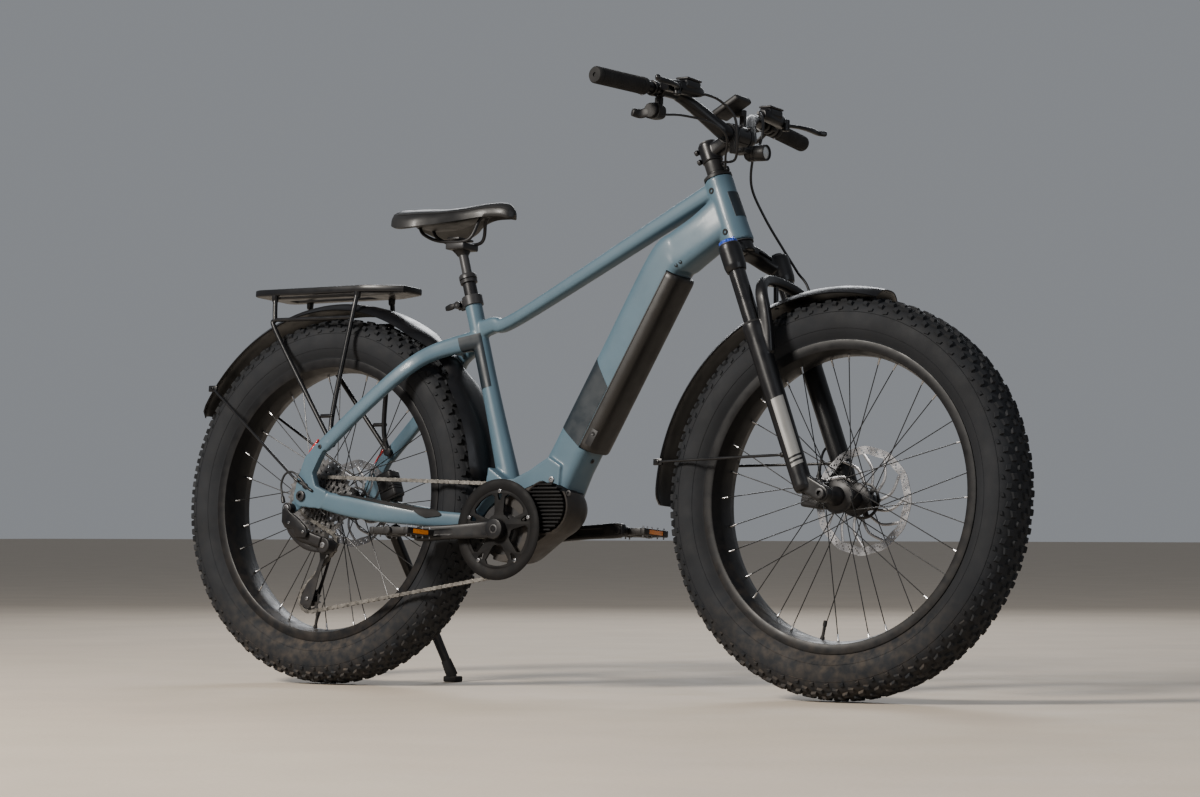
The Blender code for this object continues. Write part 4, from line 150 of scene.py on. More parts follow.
RACK_WIDTH = 0.126
RACK_THICKNESS = 0.014
RACK_REAR = -0.805
RACK_TOP = 0.8025
RACK_FOOT_OUT = 0.0964
HOSE_RADIUS = 0.0025
CABLE_RADIUS = 0.0022

# Directions and reference points of the upright bicycle
UP = Vector((0, 0, 1))
LEFT = Vector((0, 1, 0))
AHEAD = Vector((1, 0, 0))
REAR_AXLE = Vector((-WHEELBASE / 2, 0, TYRE_RADIUS))
FRONT_AXLE = Vector((WHEELBASE / 2, 0, TYRE_RADIUS))
BOTTOM_BRACKET = REAR_AXLE + Vector((CHAINSTAY_REACH, 0, -BOTTOM_BRACKET_DROP))
STEER_UP = Vector((-math.cos(HEAD_ANGLE), 0, math.sin(HEAD_ANGLE)))
STEER_AHEAD = Vector((math.sin(HEAD_ANGLE), 0, math.cos(HEAD_ANGLE)))
HEAD_BASE = FRONT_AXLE - STEER_AHEAD * FORK_OFFSET + STEER_UP * FORK_LENGTH
SEAT_UP = Vector((-math.cos(SEAT_ANGLE), 0, math.sin(SEAT_ANGLE)))
DOWN_TUBE_UP = Vector((math.cos(DOWN_TUBE_ANGLE), 0, math.sin(DOWN_TUBE_ANGLE)))
DOWN_TUBE_AHEAD = Vector((math.sin(DOWN_TUBE_ANGLE), 0, -math.cos(DOWN_TUBE_ANGLE)))
TOP_TUBE_UP = Vector((math.cos(TOP_TUBE_ANGLE), 0, math.sin(TOP_TUBE_ANGLE)))
DRUM_CENTRE = BOTTOM_BRACKET + Vector((0.0976, 0, 0.0441))
COG_LINE = SMALL_COG_OUT - CHAIN_COG * COG_SPACING
KICK_AXIS = Vector((0.13, 0.906, 0.403)).normalized()
KICK_PIVOT = REAR_AXLE + Vector((0.066, 0.1030, -0.0545))
KICK_FOOT = Vector((-0.4520, 0.13489, 0.0))  # on the floor, in the leaning bicycle's frame
SIDES = (-1, 1)
NAMED_SIDES = ((-1, "right"), (1, "left"))


def leaned_matrix():
    """From the upright bicycle's frame to the leaning one, found from the rear axle's joint."""
    joint = JOINTS["rear_wheel_spin"]
    left = Vector(joint["axis"]).normalized()
    up = AHEAD.cross(left).normalized()
    turn = Matrix((AHEAD, left, up)).transposed().to_4x4()
    return Matrix.Translation(Vector(joint["pos_m"]) - turn @ REAR_AXLE) @ turn


LEANED = leaned_matrix()


def at(origin, ahead, left, above):
    return origin + Vector((ahead, left, above))


def on_head(height, ahead=0.0, left=0.0):
    return HEAD_BASE + STEER_UP * height + STEER_AHEAD * ahead + LEFT * left


def on_seat(height, ahead=0.0, left=0.0):
    across = Vector((math.sin(SEAT_ANGLE), 0, math.cos(SEAT_ANGLE)))
    return BOTTOM_BRACKET + SEAT_UP * height + across * ahead + LEFT * left


def on_down(height, depth, left=0.0):
    return BOTTOM_BRACKET + DOWN_TUBE_UP * height + DOWN_TUBE_AHEAD * depth + LEFT * left


def on_leg(depth, side, ahead=0.0, out=0.0):
    return on_head(-depth, FORK_LEG_OFFSET + ahead, side * (FORK_SPREAD + out))


BAR_CENTRE = on_head(STEM_RISE + 0.0066, STEM_REACH)


def bar_point(left, ahead=0.0, above=0.0):
    return at(BAR_CENTRE, ahead, left, above)


def outward(angle):
    """Direction at an angle in radians in the bicycle's middle plane."""
    return Vector((math.cos(angle), 0, math.sin(angle)))


def flip(point):
    return Vector((point.x, -point.y, point.z))


def xz(point):
    return (point.x, point.z)


def pitch_radius(teeth):
    return CHAIN_PITCH * teeth / (2 * math.pi)


# Mesh tools
def object_from(bm, name="piece"):
    bmesh.ops.recalc_face_normals(bm, faces=bm.faces)
    mesh = bpy.data.meshes.new(name)
    bm.to_mesh(mesh)
    bm.free()
    piece = bpy.data.objects.new(name, mesh)
    bpy.context.scene.collection.objects.link(piece)
    return piece


def loft(rings, close=False):
    bm = bmesh.new()
    rows = [[bm.verts.new(point) for point in ring] for ring in rings]
    count = len(rows[0])
    pairs = list(zip(rows, rows[1:]))
    if close:
        pairs.append((rows[-1], rows[0]))
    for first, second in pairs:
        for i in range(count):
            j = (i + 1) % count
            bm.faces.new((first[i], first[j], second[j], second[i]))
    if not close:
        bm.faces.new(list(reversed(rows[0])))
        bm.faces.new(rows[-1])
    return object_from(bm)


def across_of(direction, towards=LEFT):
    side = towards - direction * towards.dot(direction)
    if side.length < 0.1:
        side = AHEAD - direction * direction.x
    side.normalize()
    return side, direction.cross(side)


def turned(profile, centre, axis=LEFT, steps=40, ring=False):
    """Solid of revolution through (radius, distance along the axis) points."""
    axis = axis.normalized()
    side, up = across_of(axis)
    rings = []
    for step in range(steps):
        angle = 2 * math.pi * step / steps
        out = side * math.cos(angle) + up * math.sin(angle)
        rings.append([centre + out * radius + axis * along for radius, along in profile])
    if ring:
        return loft(rings, close=True)
    return loft([list(row) for row in zip(*rings)])


def rod(start, end, radius, end_radius=None, steps=24, rounding=0.0):
    """Cylinder or cone, with rounded rims where a rounding is given."""
    end_radius = radius if end_radius is None else end_radius
    length = (end - start).length
    if not rounding:
        profile = [(radius, 0), (end_radius, length)]
    else:
        arc_in = [(radius - rounding * (1 - math.sin(a)), rounding * (1 - math.cos(a)))
                  for a in (0, math.pi / 6, math.pi / 3, math.pi / 2)]
        arc_out = [(end_radius - rounding * (1 - math.sin(a)), length - rounding * (1 - math.cos(a)))
                   for a in (math.pi / 2, math.pi / 3, math.pi / 6, 0)]
        profile = arc_in + arc_out
    return turned(profile, start, end - start, steps)


def catmull(values, steps):
    """Points between the given ones on a Catmull-Rom curve; each value is a list of numbers."""
    ends = [values[0]] + list(values) + [values[-1]]
    result = []
    for a, b, c, d in zip(ends, ends[1:], ends[2:], ends[3:]):
        for step in range(steps):
            t = step / steps
            result.append([0.5 * (2 * q + (r - p) * t + (2 * p - 5 * q + 4 * r - s) * t * t
                                  + (3 * q - p - 3 * r + s) * t ** 3)
                           for p, q, r, s in zip(a, b, c, d)])
    result.append(list(values[-1]))
    return result


def crosswise(centre, start, end, radius, **more):
    """Rod across the bicycle, between two distances to the left of a point."""
    return rod(at(centre, 0, start, 0), at(centre, 0, end, 0), radius, **more)


def swept(stations, sides=24, roundness=2.0, towards=LEFT, steps=5, ends=0.0):
    """Smooth tube through (point, half width, half height) stations, with ends rounded by a length."""
    values = catmull([[*point, wide, high] for point, wide, high in stations], steps)
    points = [Vector(value[:3]) for value in values]
    sections = []
    for i, value in enumerate(values):
        heading = (points[min(i + 1, len(points) - 1)] - points[max(i - 1, 0)]).normalized()
        sections.append((points[i], heading, value[3], value[4]))
    if ends:
        first, last = sections[0], sections[-1]
        caps = [(math.sin(a), math.cos(a)) for a in (0.35, 0.75, 1.1, 1.4)]
        start = [(first[0] - first[1] * ends * s, first[1], first[2] * c, first[3] * c) for s, c in caps]
        finish = [(last[0] + last[1] * ends * s, last[1], last[2] * c, last[3] * c) for s, c in caps]
        sections = start[::-1] + sections + finish
    rings = []
    for point, heading, half_width, half_height in sections:
        side, up = across_of(heading, towards)
        ring = []
        for step in range(sides):
            angle = 2 * math.pi * (step + 0.5) / sides
            cosine = math.cos(angle)
            sine = math.sin(angle)
            wide = math.copysign(abs(cosine) ** (2 / roundness), cosine) * half_width
            high = math.copysign(abs(sine) ** (2 / roundness), sine) * half_height
            ring.append(point + side * wide + up * high)
        rings.append(ring)
    return loft(rings)


def tube(points, radius, sides=14, steps=6, ends=0.0):
    """Round rod or cable along a smooth curve through points, its section carried along the curve."""
    path = [Vector(value) for value in catmull([list(point) for point in points], steps)]
    headings = [(path[min(i + 1, len(path) - 1)] - path[max(i - 1, 0)]).normalized()
                for i in range(len(path))]
    side = across_of(headings[0])[0]
    rings = []
    for i, (point, heading) in enumerate(zip(path, headings)):
        side = (side - heading * side.dot(heading)).normalized()
        up = heading.cross(side)
        ring = [point + (side * math.cos(a) + up * math.sin(a)) * radius
                for a in [2 * math.pi * k / sides for k in range(sides)]]
        rings.append(ring)
    if ends:
        for index, row, sign in ((0, rings[0], -1), (-1, rings[-1], 1)):
            caps = []
            for a in (0.5, 1.0, 1.4):
                caps.append([path[index] + (p - path[index]) * math.cos(a)
                             + headings[index] * sign * ends * math.sin(a) for p in row])
            rings = caps[::-1] + rings if sign < 0 else rings + caps
    return loft(rings)


def plate(outline, low, high, origin=Vector((0, 0, 0)), ahead=AHEAD, up=UP):
    side = up.cross(ahead)
    flat = [origin + ahead * a + up * b for a, b in outline]
    return loft([[p + side * low for p in flat], [p + side * high for p in flat]])


def block(centre, size, ahead=AHEAD, up=UP, bevel=0.0, segments=3):
    length, width, height = size
    corners = ((-length / 2, -height / 2), (length / 2, -height / 2),
               (length / 2, height / 2), (-length / 2, height / 2))
    piece = plate(corners, -width / 2, width / 2, centre, ahead, up)
    return bevelled(piece, bevel, segments) if bevel else piece


def applied(piece):
    """Bakes the piece's modifiers into its mesh."""
    depsgraph = bpy.context.evaluated_depsgraph_get()
    mesh = bpy.data.meshes.new_from_object(piece.evaluated_get(depsgraph))
    piece.modifiers.clear()
    old = piece.data
    piece.data = mesh
    bpy.data.meshes.remove(old)
    return piece


def bevelled(piece, width, segments=3, angle=30):
    step = piece.modifiers.new("bevel", "BEVEL")
    step.width = width
    step.segments = segments
    step.limit_method = "ANGLE"
    step.angle_limit = math.radians(angle)
    return applied(piece)


def joined(*pieces):
    """One object with the meshes of all the pieces, which may pass through each other."""
    bm = bmesh.new()
    for piece in pieces:
        bm.from_mesh(piece.data)
    for piece in pieces:
        mesh = piece.data
        bpy.data.objects.remove(piece)
        bpy.data.meshes.remove(mesh)
    mesh = bpy.data.meshes.new("piece")
    bm.to_mesh(mesh)
    bm.free()
    piece = bpy.data.objects.new("piece", mesh)
    bpy.context.scene.collection.objects.link(piece)
    return piece


def combine(base, operation, tools, solver="EXACT"):
    for tool in tools:
        step = base.modifiers.new(operation, "BOOLEAN")
        step.operation = operation
        step.object = tool
        step.solver = solver
    applied(base)
    for tool in tools:
        bpy.data.objects.remove(tool)
    return base


def cut(base, *tools):
    return combine(base, "DIFFERENCE", tools)


def union(base, *tools):
    return combine(base, "UNION", tools)


def fused(voxel, relax, *pieces):
    """Melts closed pieces into one skin whose joins are rounded, like a casting or a dressed weld."""
    piece = joined(*pieces)
    remesh = piece.modifiers.new("skin", "REMESH")
    remesh.mode = "VOXEL"
    remesh.voxel_size = voxel
    remesh.adaptivity = 0.0
    if relax:
        smooth = piece.modifiers.new("relax", "SMOOTH")
        smooth.factor = 0.5
        smooth.iterations = relax
    return applied(piece)


def mirrored(piece):
    piece.data.transform(Matrix.Scale(-1, 4, LEFT))
    piece.data.flip_normals()
    return piece


def slab(loops, low, high, bevel=0.0, origin=Vector((0, 0, 0)), ahead=AHEAD, up=UP):
    """Flat plate between two distances to the left, from (ahead, up) loops; inner loops are holes."""
    curve = bpy.data.curves.new("slab", "CURVE")
    curve.dimensions = "2D"
    curve.fill_mode = "BOTH"
    curve.extrude = (high - low) / 2 - bevel
    curve.bevel_depth = bevel
    curve.bevel_resolution = 1
    curve.offset = -bevel
    for loop in loops:
        spline = curve.splines.new("POLY")
        spline.points.add(len(loop) - 1)
        for slot, (a, b) in zip(spline.points, loop):
            slot.co = (a, b, 0, 1)
        spline.use_cyclic_u = True
    guide = bpy.data.objects.new("slab", curve)
    bpy.context.scene.collection.objects.link(guide)
    depsgraph = bpy.context.evaluated_depsgraph_get()
    mesh = bpy.data.meshes.new_from_object(guide.evaluated_get(depsgraph))
    bpy.data.objects.remove(guide)
    side = up.cross(ahead)
    turn = Matrix((ahead, up, -side)).transposed().to_4x4()
    turn.translation = origin + side * (low + high) / 2
    mesh.transform(turn)
    bm = bmesh.new()
    bm.from_mesh(mesh)
    bmesh.ops.remove_doubles(bm, verts=bm.verts, dist=0.00002)
    bpy.data.meshes.remove(mesh)
    return object_from(bm)


def polar(centre, radius, degrees):
    angle = math.radians(degrees)
    return (centre[0] + radius * math.cos(angle), centre[1] + radius * math.sin(angle))


def arc(centre, radius, start, end, steps):
    return [polar(centre, radius, start + (end - start) * step / steps) for step in range(steps + 1)]


def circle(centre, radius, steps=24):
    return arc(centre, radius, 0, 360, steps)[:-1]


def belt_outline(first, first_radius, second, second_radius, steps=12):
    dx = second[0] - first[0]
    dz = second[1] - first[1]
    heading = math.degrees(math.atan2(dz, dx))
    lean = math.degrees(math.acos((first_radius - second_radius) / math.hypot(dx, dz)))
    outline = arc(first, first_radius, heading + lean, heading + 360 - lean, steps)
    outline += arc(second, second_radius, heading - lean, heading + lean, steps)
    return outline


def bolt(centre, axis, radius=0.0045, height=0.0035, hexagon=True):
    """Socket bolt head: a chamfered disc with a six-sided recess."""
    axis = axis.normalized()
    side, up = across_of(axis)
    steps = 24

    def ring(size, along, corners=False):
        points = []
        for k in range(steps):
            angle = 2 * math.pi * k / steps
            reach = size
            if corners:
                local = (angle % (math.pi / 3)) - math.pi / 6
                reach = size * math.cos(math.pi / 6) / math.cos(local)
            points.append(centre + (side * math.cos(angle) + up * math.sin(angle)) * reach + axis * along)
        return points

    inner = radius * 0.52
    rings = [ring(radius, -0.001), ring(radius, height * 0.7), ring(radius * 0.96, height * 0.92),
             ring(radius * 0.86, height)]
    if hexagon:
        rings += [ring(inner * 1.05, height, True), ring(inner, height * 0.85, True),
                  ring(inner, height * 0.2, True)]
    return loft(rings)


# Materials
def value_ramp(nodes, links, source, low, high, start=0.3, end=0.7):
    """A number that runs from low to high as the source runs from start to end."""
    ramp = nodes.new("ShaderNodeMapRange")
    ramp.inputs["From Min"].default_value = start
    ramp.inputs["From Max"].default_value = end
    ramp.inputs["To Min"].default_value = low
    ramp.inputs["To Max"].default_value = high
    links.new(source, ramp.inputs["Value"])
    return ramp.outputs["Result"]


def noise_at(nodes, links, coordinates, scale, detail=4.0, stretch=None):
    texture = nodes.new("ShaderNodeTexNoise")
    texture.inputs["Scale"].default_value = scale
    texture.inputs["Detail"].default_value = detail
    source = coordinates
    if stretch:
        mapping = nodes.new("ShaderNodeMapping")
        mapping.inputs["Scale"].default_value = stretch
        links.new(coordinates, mapping.inputs["Vector"])
        source = mapping.outputs["Vector"]
    links.new(source, texture.inputs["Vector"])
    return texture.outputs["Fac"]


def mixed(nodes, links, share, first, second):
    mix = nodes.new("ShaderNodeMix")
    mix.data_type = "RGBA"
    links.new(share, mix.inputs["Factor"])
    for socket, value in ((mix.inputs["A"], first), (mix.inputs["B"], second)):
        if isinstance(value, tuple):
            socket.default_value = (*value, 1.0)
        else:
            links.new(value, socket)
    return mix.outputs["Result"]


def product(nodes, links, first, second):
    node = nodes.new("ShaderNodeMath")
    node.operation = "MULTIPLY"
    links.new(first, node.inputs[0])
    links.new(second, node.inputs[1])
    return node.outputs[0]


DUST = (0.36, 0.27, 0.185)


def surface(name, colour, roughness, metallic=0.0, coat=0.0, mottle=0.12, mottle_scale=18.0,
            grain=None, streaks=None, dust=0.0, dust_rise=0.45, wear=0.0, wear_colour=(0.35, 0.35, 0.36),
            rough_spread=0.08, sheen=0.0, specular=None, cells=None):
    """Procedural surface: mottled colour, uneven gloss, fine bump, edge wear and settled dust."""
    made = bpy.data.materials.new(name)
    made.use_nodes = True
    nodes = made.node_tree.nodes
    links = made.node_tree.links
    shader = nodes["Principled BSDF"]
    place = nodes.new("ShaderNodeTexCoord").outputs["Object"]
    cloud = noise_at(nodes, links, place, mottle_scale)
    dark = tuple(c * (1 - mottle) for c in colour)
    light = tuple(min(1.0, c * (1 + mottle)) for c in colour)
    tint = mixed(nodes, links, value_ramp(nodes, links, cloud, 0, 1), dark, light)
    geometry = nodes.new("ShaderNodeNewGeometry")
    if wear:
        edge = value_ramp(nodes, links, geometry.outputs["Pointiness"], 0.0, wear, 0.52, 0.60)
        tint = mixed(nodes, links, edge, tint, wear_colour)
    if dust:
        apart = nodes.new("ShaderNodeSeparateXYZ")
        links.new(place, apart.inputs["Vector"])
        low = value_ramp(nodes, links, apart.outputs["Z"], 1.0, 0.06, 0.02, dust_rise)
        facing = nodes.new("ShaderNodeSeparateXYZ")
        links.new(geometry.outputs["Normal"], facing.inputs["Vector"])
        top = value_ramp(nodes, links, facing.outputs["Z"], 0.25, 1.0, -0.2, 0.9)
        specks = noise_at(nodes, links, place, 62.0, 8.0)
        speckle = value_ramp(nodes, links, specks, 0.0, dust, 0.38, 0.72)
        settled = product(nodes, links, product(nodes, links, low, top), speckle)
        tint = mixed(nodes, links, settled, tint, DUST)
    links.new(tint, shader.inputs["Base Color"])
    shader.inputs["Metallic"].default_value = metallic
    shader.inputs["Coat Weight"].default_value = coat
    shader.inputs["Coat Roughness"].default_value = 0.12
    if specular is not None:
        shader.inputs["Specular IOR Level"].default_value = specular
    if sheen:
        shader.inputs["Sheen Weight"].default_value = sheen
    smudge = noise_at(nodes, links, place, mottle_scale * 2.3, 5.0)
    gloss = value_ramp(nodes, links, smudge, max(0.03, roughness - rough_spread),
                       min(1.0, roughness + rough_spread))
    links.new(gloss, shader.inputs["Roughness"])
    normal = None
    for kind in (grain, streaks, cells):
        if not kind:
            continue
        bump = nodes.new("ShaderNodeBump")
        bump.inputs["Distance"].default_value = kind[1]
        bump.inputs["Strength"].default_value = 1.0
        if kind is grain:
            height = noise_at(nodes, links, place, grain[0], 3.0)
        elif kind is streaks:
            height = noise_at(nodes, links, place, streaks[0], 2.0, streaks[2])
        else:
            voronoi = nodes.new("ShaderNodeTexVoronoi")
            voronoi.inputs["Scale"].default_value = cells[0]
            links.new(place, voronoi.inputs["Vector"])
            height = voronoi.outputs["Distance"]
        links.new(height, bump.inputs["Height"])
        if normal is not None:
            links.new(normal, bump.inputs["Normal"])
        normal = bump.outputs["Normal"]
    if normal is not None:
        links.new(normal, shader.inputs["Normal"])
    return made


PAINT = surface("slate_paint", (0.062, 0.106, 0.140), 0.42, coat=0.12, mottle=0.05, grain=(900, 0.00002),
                dust=0.10, rough_spread=0.05, specular=0.3)
SATIN = surface("satin_black", (0.0050, 0.0053, 0.0066), 0.36, coat=0.05, mottle=0.15, specular=0.28,
                grain=(700, 0.00003), dust=0.10)
GLOSS = surface("gloss_black", (0.005, 0.005, 0.006), 0.24, coat=0.2, mottle=0.1, dust=0.06, specular=0.4,
                grain=(500, 0.00002))
RIM = surface("rim_black", (0.0046, 0.0048, 0.0058), 0.40, mottle=0.15, dust=0.10, specular=0.22,
              grain=(500, 0.00002))
ANODISED = surface("black_anodised", (0.0085, 0.0085, 0.0100), 0.42, 0.25, mottle=0.15, specular=0.35,
                   grain=(1400, 0.00003), wear=0.10, dust=0.12)
PLASTIC = surface("moulded_black", (0.0080, 0.0080, 0.0088), 0.50, mottle=0.12, grain=(1600, 0.00006),
                  dust=0.10, specular=0.35)
SHELL = surface("motor_shell_plastic", (0.016, 0.0135, 0.012), 0.50, mottle=0.12, grain=(1500, 0.00007),
                dust=0.20, specular=0.4)
CASE = surface("battery_case_plastic", (0.0115, 0.0105, 0.0100), 0.46, mottle=0.08, specular=0.4,
               grain=(1500, 0.00005), dust=0.10)
MATT = surface("matt_black", (0.0042, 0.0042, 0.0048), 0.62, mottle=0.12, specular=0.14, grain=(900, 0.00004),
               dust=0.06)
PANEL = surface("dark_panel", (0.0080, 0.0135, 0.0190), 0.40, mottle=0.06, grain=(900, 0.00002),
                specular=0.4)
RUBBER = surface("grip_rubber", (0.0105, 0.0105, 0.0112), 0.78, mottle=0.2, grain=(1200, 0.00010),
                 dust=0.08, specular=0.3)
TYRE = surface("tyre_rubber", (0.0098, 0.0112, 0.0138), 0.76, mottle=0.18, mottle_scale=9.0, specular=0.24,
               grain=(420, 0.00015), dust=0.24, dust_rise=0.20)
CHAIN = surface("chain_steel", (0.20, 0.19, 0.175), 0.38, 0.9, mottle=0.35, mottle_scale=60,
                grain=(800, 0.00005), dust=0.25)
STEEL = surface("ground_steel", (0.26, 0.26, 0.27), 0.32, 1.0, mottle=0.10,
                streaks=(60, 0.00008, (1, 1, 14)), dust=0.08)
COG_STEEL = surface("cog_steel", (0.13, 0.125, 0.12), 0.36, 0.95, mottle=0.25, mottle_scale=50,
                    grain=(600, 0.00004), wear=0.4, dust=0.20)
SILVER = surface("plated_nipples", (0.42, 0.42, 0.43), 0.30, 1.0, mottle=0.1)
SPOKE = surface("black_spokes", (0.014, 0.014, 0.015), 0.34, 0.4, mottle=0.1)
LEATHER = surface("saddle_cover", (0.0085, 0.0085, 0.0092), 0.44, mottle=0.15, coat=0.05, specular=0.35,
                  cells=(950, 0.00012), dust=0.08)
AMBER = surface("amber_reflector", (0.75, 0.22, 0.012), 0.22, mottle=0.15, coat=0.6,
                cells=(700, 0.0003))
RED = surface("red_lens", (0.35, 0.006, 0.006), 0.15, mottle=0.15, coat=0.8, cells=(500, 0.0003))
BLUE = surface("blue_dial", (0.008, 0.055, 0.42), 0.30, 0.3, mottle=0.1, coat=0.5)
DECAL = surface("silver_decal", (0.215, 0.215, 0.210), 0.42, 0.3, mottle=0.05, specular=0.3)
LENS = surface("headlight_lens", (0.40, 0.43, 0.45), 0.08, 0.3, mottle=0.1, coat=1.0,
               cells=(260, 0.0008))
SCREEN = surface("display_glass", (0.006, 0.007, 0.009), 0.08, mottle=0.05, coat=0.8)
HOSE = surface("hose_black", (0.009, 0.009, 0.010), 0.42, mottle=0.1, grain=(900, 0.00004), specular=0.35)


def finished(made, name, finish, sharp=35):
    """Names a shape, leans it over with the bicycle and gives it its material."""
    made.name = name
    made.data.name = name
    made.data.transform(LEANED)
    made.data.materials.clear()
    made.data.materials.append(finish)
    made.data.shade_smooth()
    made.data.set_sharp_from_angle(angle=math.radians(sharp))


def piece(made, name, finish, rides, *nodes, slot=None, sharp=35):
    """Finishes a shape and hangs it on its body, in place of the nodes of the solids it stands for."""
    finished(made, name, finish, sharp)
    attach(made, rides)
    if nodes:
        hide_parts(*nodes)


def blended(made, name, finish, first, second, start, end, *nodes):
    """Finishes a shape that runs between two bodies and bakes its place into its mesh; it is hung on neither
    body and does not bend. The two bodies and the start and end are not used.
    """
    finished(made, name, finish)
    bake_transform(made)
    if nodes:
        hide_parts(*nodes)


# Wheels
def tyre_section():
    """The tyre's bare outside in (radius, out) points, from the middle of the tread to the bead."""
    shape = [[0.3662, 0.0], [0.3655, 0.014], [0.3622, 0.027], [0.3545, 0.0392], [0.3425, 0.0472],
             [0.3285, 0.0503], [0.3145, 0.0498], [0.3025, 0.0462], [0.2935, 0.0412],
             [0.2885, 0.0382], [0.2800, 0.0374]]
    return [(r, y) for r, y in catmull(shape, 3)]


def tyre_knobs(axle):
    """Tread blocks in staggered rows, each standing square to the tyre's skin."""
    section = tyre_section()
    rows = ((0.0065, 0.0105, 0.0125, 0.0044, 0.0), (0.0195, 0.0100, 0.0120, 0.0044, 0.5),
            (0.0320, 0.0105, 0.0130, 0.0052, 0.0), (0.0405, 0.0090, 0.0110, 0.0048, 0.5),
            (0.0468, 0.0060, 0.0085, 0.0026, 0.0))
    pitches = 68
    bm = bmesh.new()
    for out, wide, long, tall, shift in rows:
        for index in range(1, len(section)):
            if section[index][1] >= out:
                break
        (r0, y0), (r1, y1) = section[index - 1], section[index]
        share = (out - y0) / (y1 - y0)
        radius = r0 + (r1 - r0) * share
        slope = Vector((r1 - r0, y1 - y0)).normalized()
        for side in SIDES:
            for k in range(pitches):
                angle = 2 * math.pi * (k + shift + (0.25 if side > 0 else 0)) / pitches
                radial = outward(angle)
                around = Vector((-radial.z, 0, radial.x))
                skew = 0.25 * side * (1 if shift else -1)
                lateral = radial * slope.x + LEFT * side * slope.y
                normal = (radial * slope.y - LEFT * side * slope.x).normalized()
                centre = axle + radial * radius + LEFT * side * out
                along = (around + lateral * skew).normalized()
                corners = []
                for level, shrink in ((-0.0015, 1.06), (tall * 0.8, 0.90), (tall, 0.80)):
                    ring = []
                    for a, b in ((-1, -1), (1, -1), (1, 1), (-1, 1)):
                        ring.append(bm.verts.new(centre + normal * level
                                                 + along * a * long / 2 * shrink
                                                 + lateral * b * wide / 2 * shrink))
                    corners.append(ring)
                for first, second in zip(corners, corners[1:]):
                    for i in range(4):
                        j = (i + 1) % 4
                        bm.faces.new((first[i], first[j], second[j], second[i]))
                bm.faces.new(corners[-1])
                bm.faces.new(corners[0][::-1])
    return object_from(bm)


def tyre(axle):
    outside = tyre_section()
    inside = [(r - 0.004, max(y - 0.004, 0.0)) for r, y in outside[:-6]]
    right = [(r, -y) for r, y in outside]
    inner_right = [(r, -y) for r, y in inside]
    profile = right[::-1] + outside[1:] + inside[::-1] + inner_right[1:]
    skin = turned(profile, axle, steps=128, ring=True)
    ribs = []
    for radius, out in ((0.3380, 0.0489), (0.3075, 0.0480)):
        for side in SIDES:
            ribs.append(turned([(radius - 0.0012, side * (out - 0.001)), (radius, side * (out + 0.0007)),
                                (radius + 0.0012, side * (out - 0.001))], axle, steps=96, ring=True))
    return joined(skin, tyre_knobs(axle), *ribs)


def rim(axle):
    half = RIM_WIDTH / 2
    outer = RIM_RADIUS
    side = [(outer - 0.0005, half - 0.0020), (outer + 0.0010, half - 0.0010), (outer + 0.0008, half + 0.0002),
            (outer - 0.0010, half + 0.0006), (outer - 0.008, half), (outer - 0.0150, half - 0.0002),
            (outer - 0.0172, half - 0.0012), (outer - 0.0205, half * 0.72), (outer - 0.0228, half * 0.48),
            (outer - RIM_DEPTH, half * 0.38), (outer - RIM_DEPTH, 0.0015)]
    bed = [(outer - 0.0068, half - 0.0022), (outer - 0.0068, 0.014), (outer - 0.0120, 0.009)]
    loop = side + [(r, -y) for r, y in reversed(side)] + [(r, -y) for r, y in bed]
    loop += [(r, y) for r, y in reversed(bed)]
    return turned(loop, axle, steps=128, ring=True)


def spoke_ends(axle, flanges):
    """Head and rim end of every spoke, laced three-cross."""
    reach = RIM_RADIUS - RIM_DEPTH - 0.0006
    pitch = 2 * math.pi / SPOKES_PER_SIDE
    for side, flange in enumerate(flanges):
        for hole in range(SPOKES_PER_SIDE):
            pull = 1 if hole % 2 else -1
            start = hole * pitch + side * pitch / 2
            end = start + pull * SPOKE_CROSSING
            head = at(axle, SPOKE_HOLE_RADIUS * math.cos(start), flange + pull * 0.0026,
                      SPOKE_HOLE_RADIUS * math.sin(start))
            tip = at(axle, reach * math.cos(end), math.copysign(0.012, flange), reach * math.sin(end))
            yield head, tip, pull


def spokes(axle, flanges):
    pieces = []
    for head, tip, pull in spoke_ends(axle, flanges):
        pieces.append(rod(head, tip, 0.00100, steps=8))
        pieces.append(rod(head - LEFT * pull * 0.0048, head + LEFT * pull * 0.0006, 0.0011, steps=8))
        pieces.append(rod(head - LEFT * pull * 0.0052, head - LEFT * pull * 0.0042, 0.0021, steps=10))
    return joined(*pieces)


def nipples(axle, flanges):
    pieces = []
    for head, tip, _ in spoke_ends(axle, flanges):
        along = (head - tip).normalized()
        pieces.append(turned([(0.0024, -0.0008), (0.0024, 0.0012), (0.0019, 0.0022), (0.0018, 0.0105),
                              (0.0014, 0.0125)], tip, along, 10))
    return joined(*pieces)


def flange(out):
    """Hub flange as a (radius, out) profile."""
    return [(0.0180, out - 0.0052), (0.0260, out - 0.0024), (0.0305, out - 0.0022), (0.0318, out - 0.0012),
            (0.0318, out + 0.0012), (0.0305, out + 0.0022), (0.0260, out + 0.0024), (0.0180, out + 0.0052)]


def hub(axle, end, right, flanges, waist, left):
    """Hub shell, open along its axle, from the profiles right of, between and left of its flanges."""
    carrier = left[-1][0]
    profile = [(AXLE_BORE, -end), (HUB_END_RADIUS, -end)] + right + flange(flanges[0]) + waist
    profile += flange(flanges[1]) + left
    profile += [(carrier, ROTOR_OUT - 0.0004), (HUB_END_RADIUS, ROTOR_OUT - 0.0004), (HUB_END_RADIUS, end),
                (AXLE_BORE, end)]
    return turned(profile, axle, steps=48, ring=True)


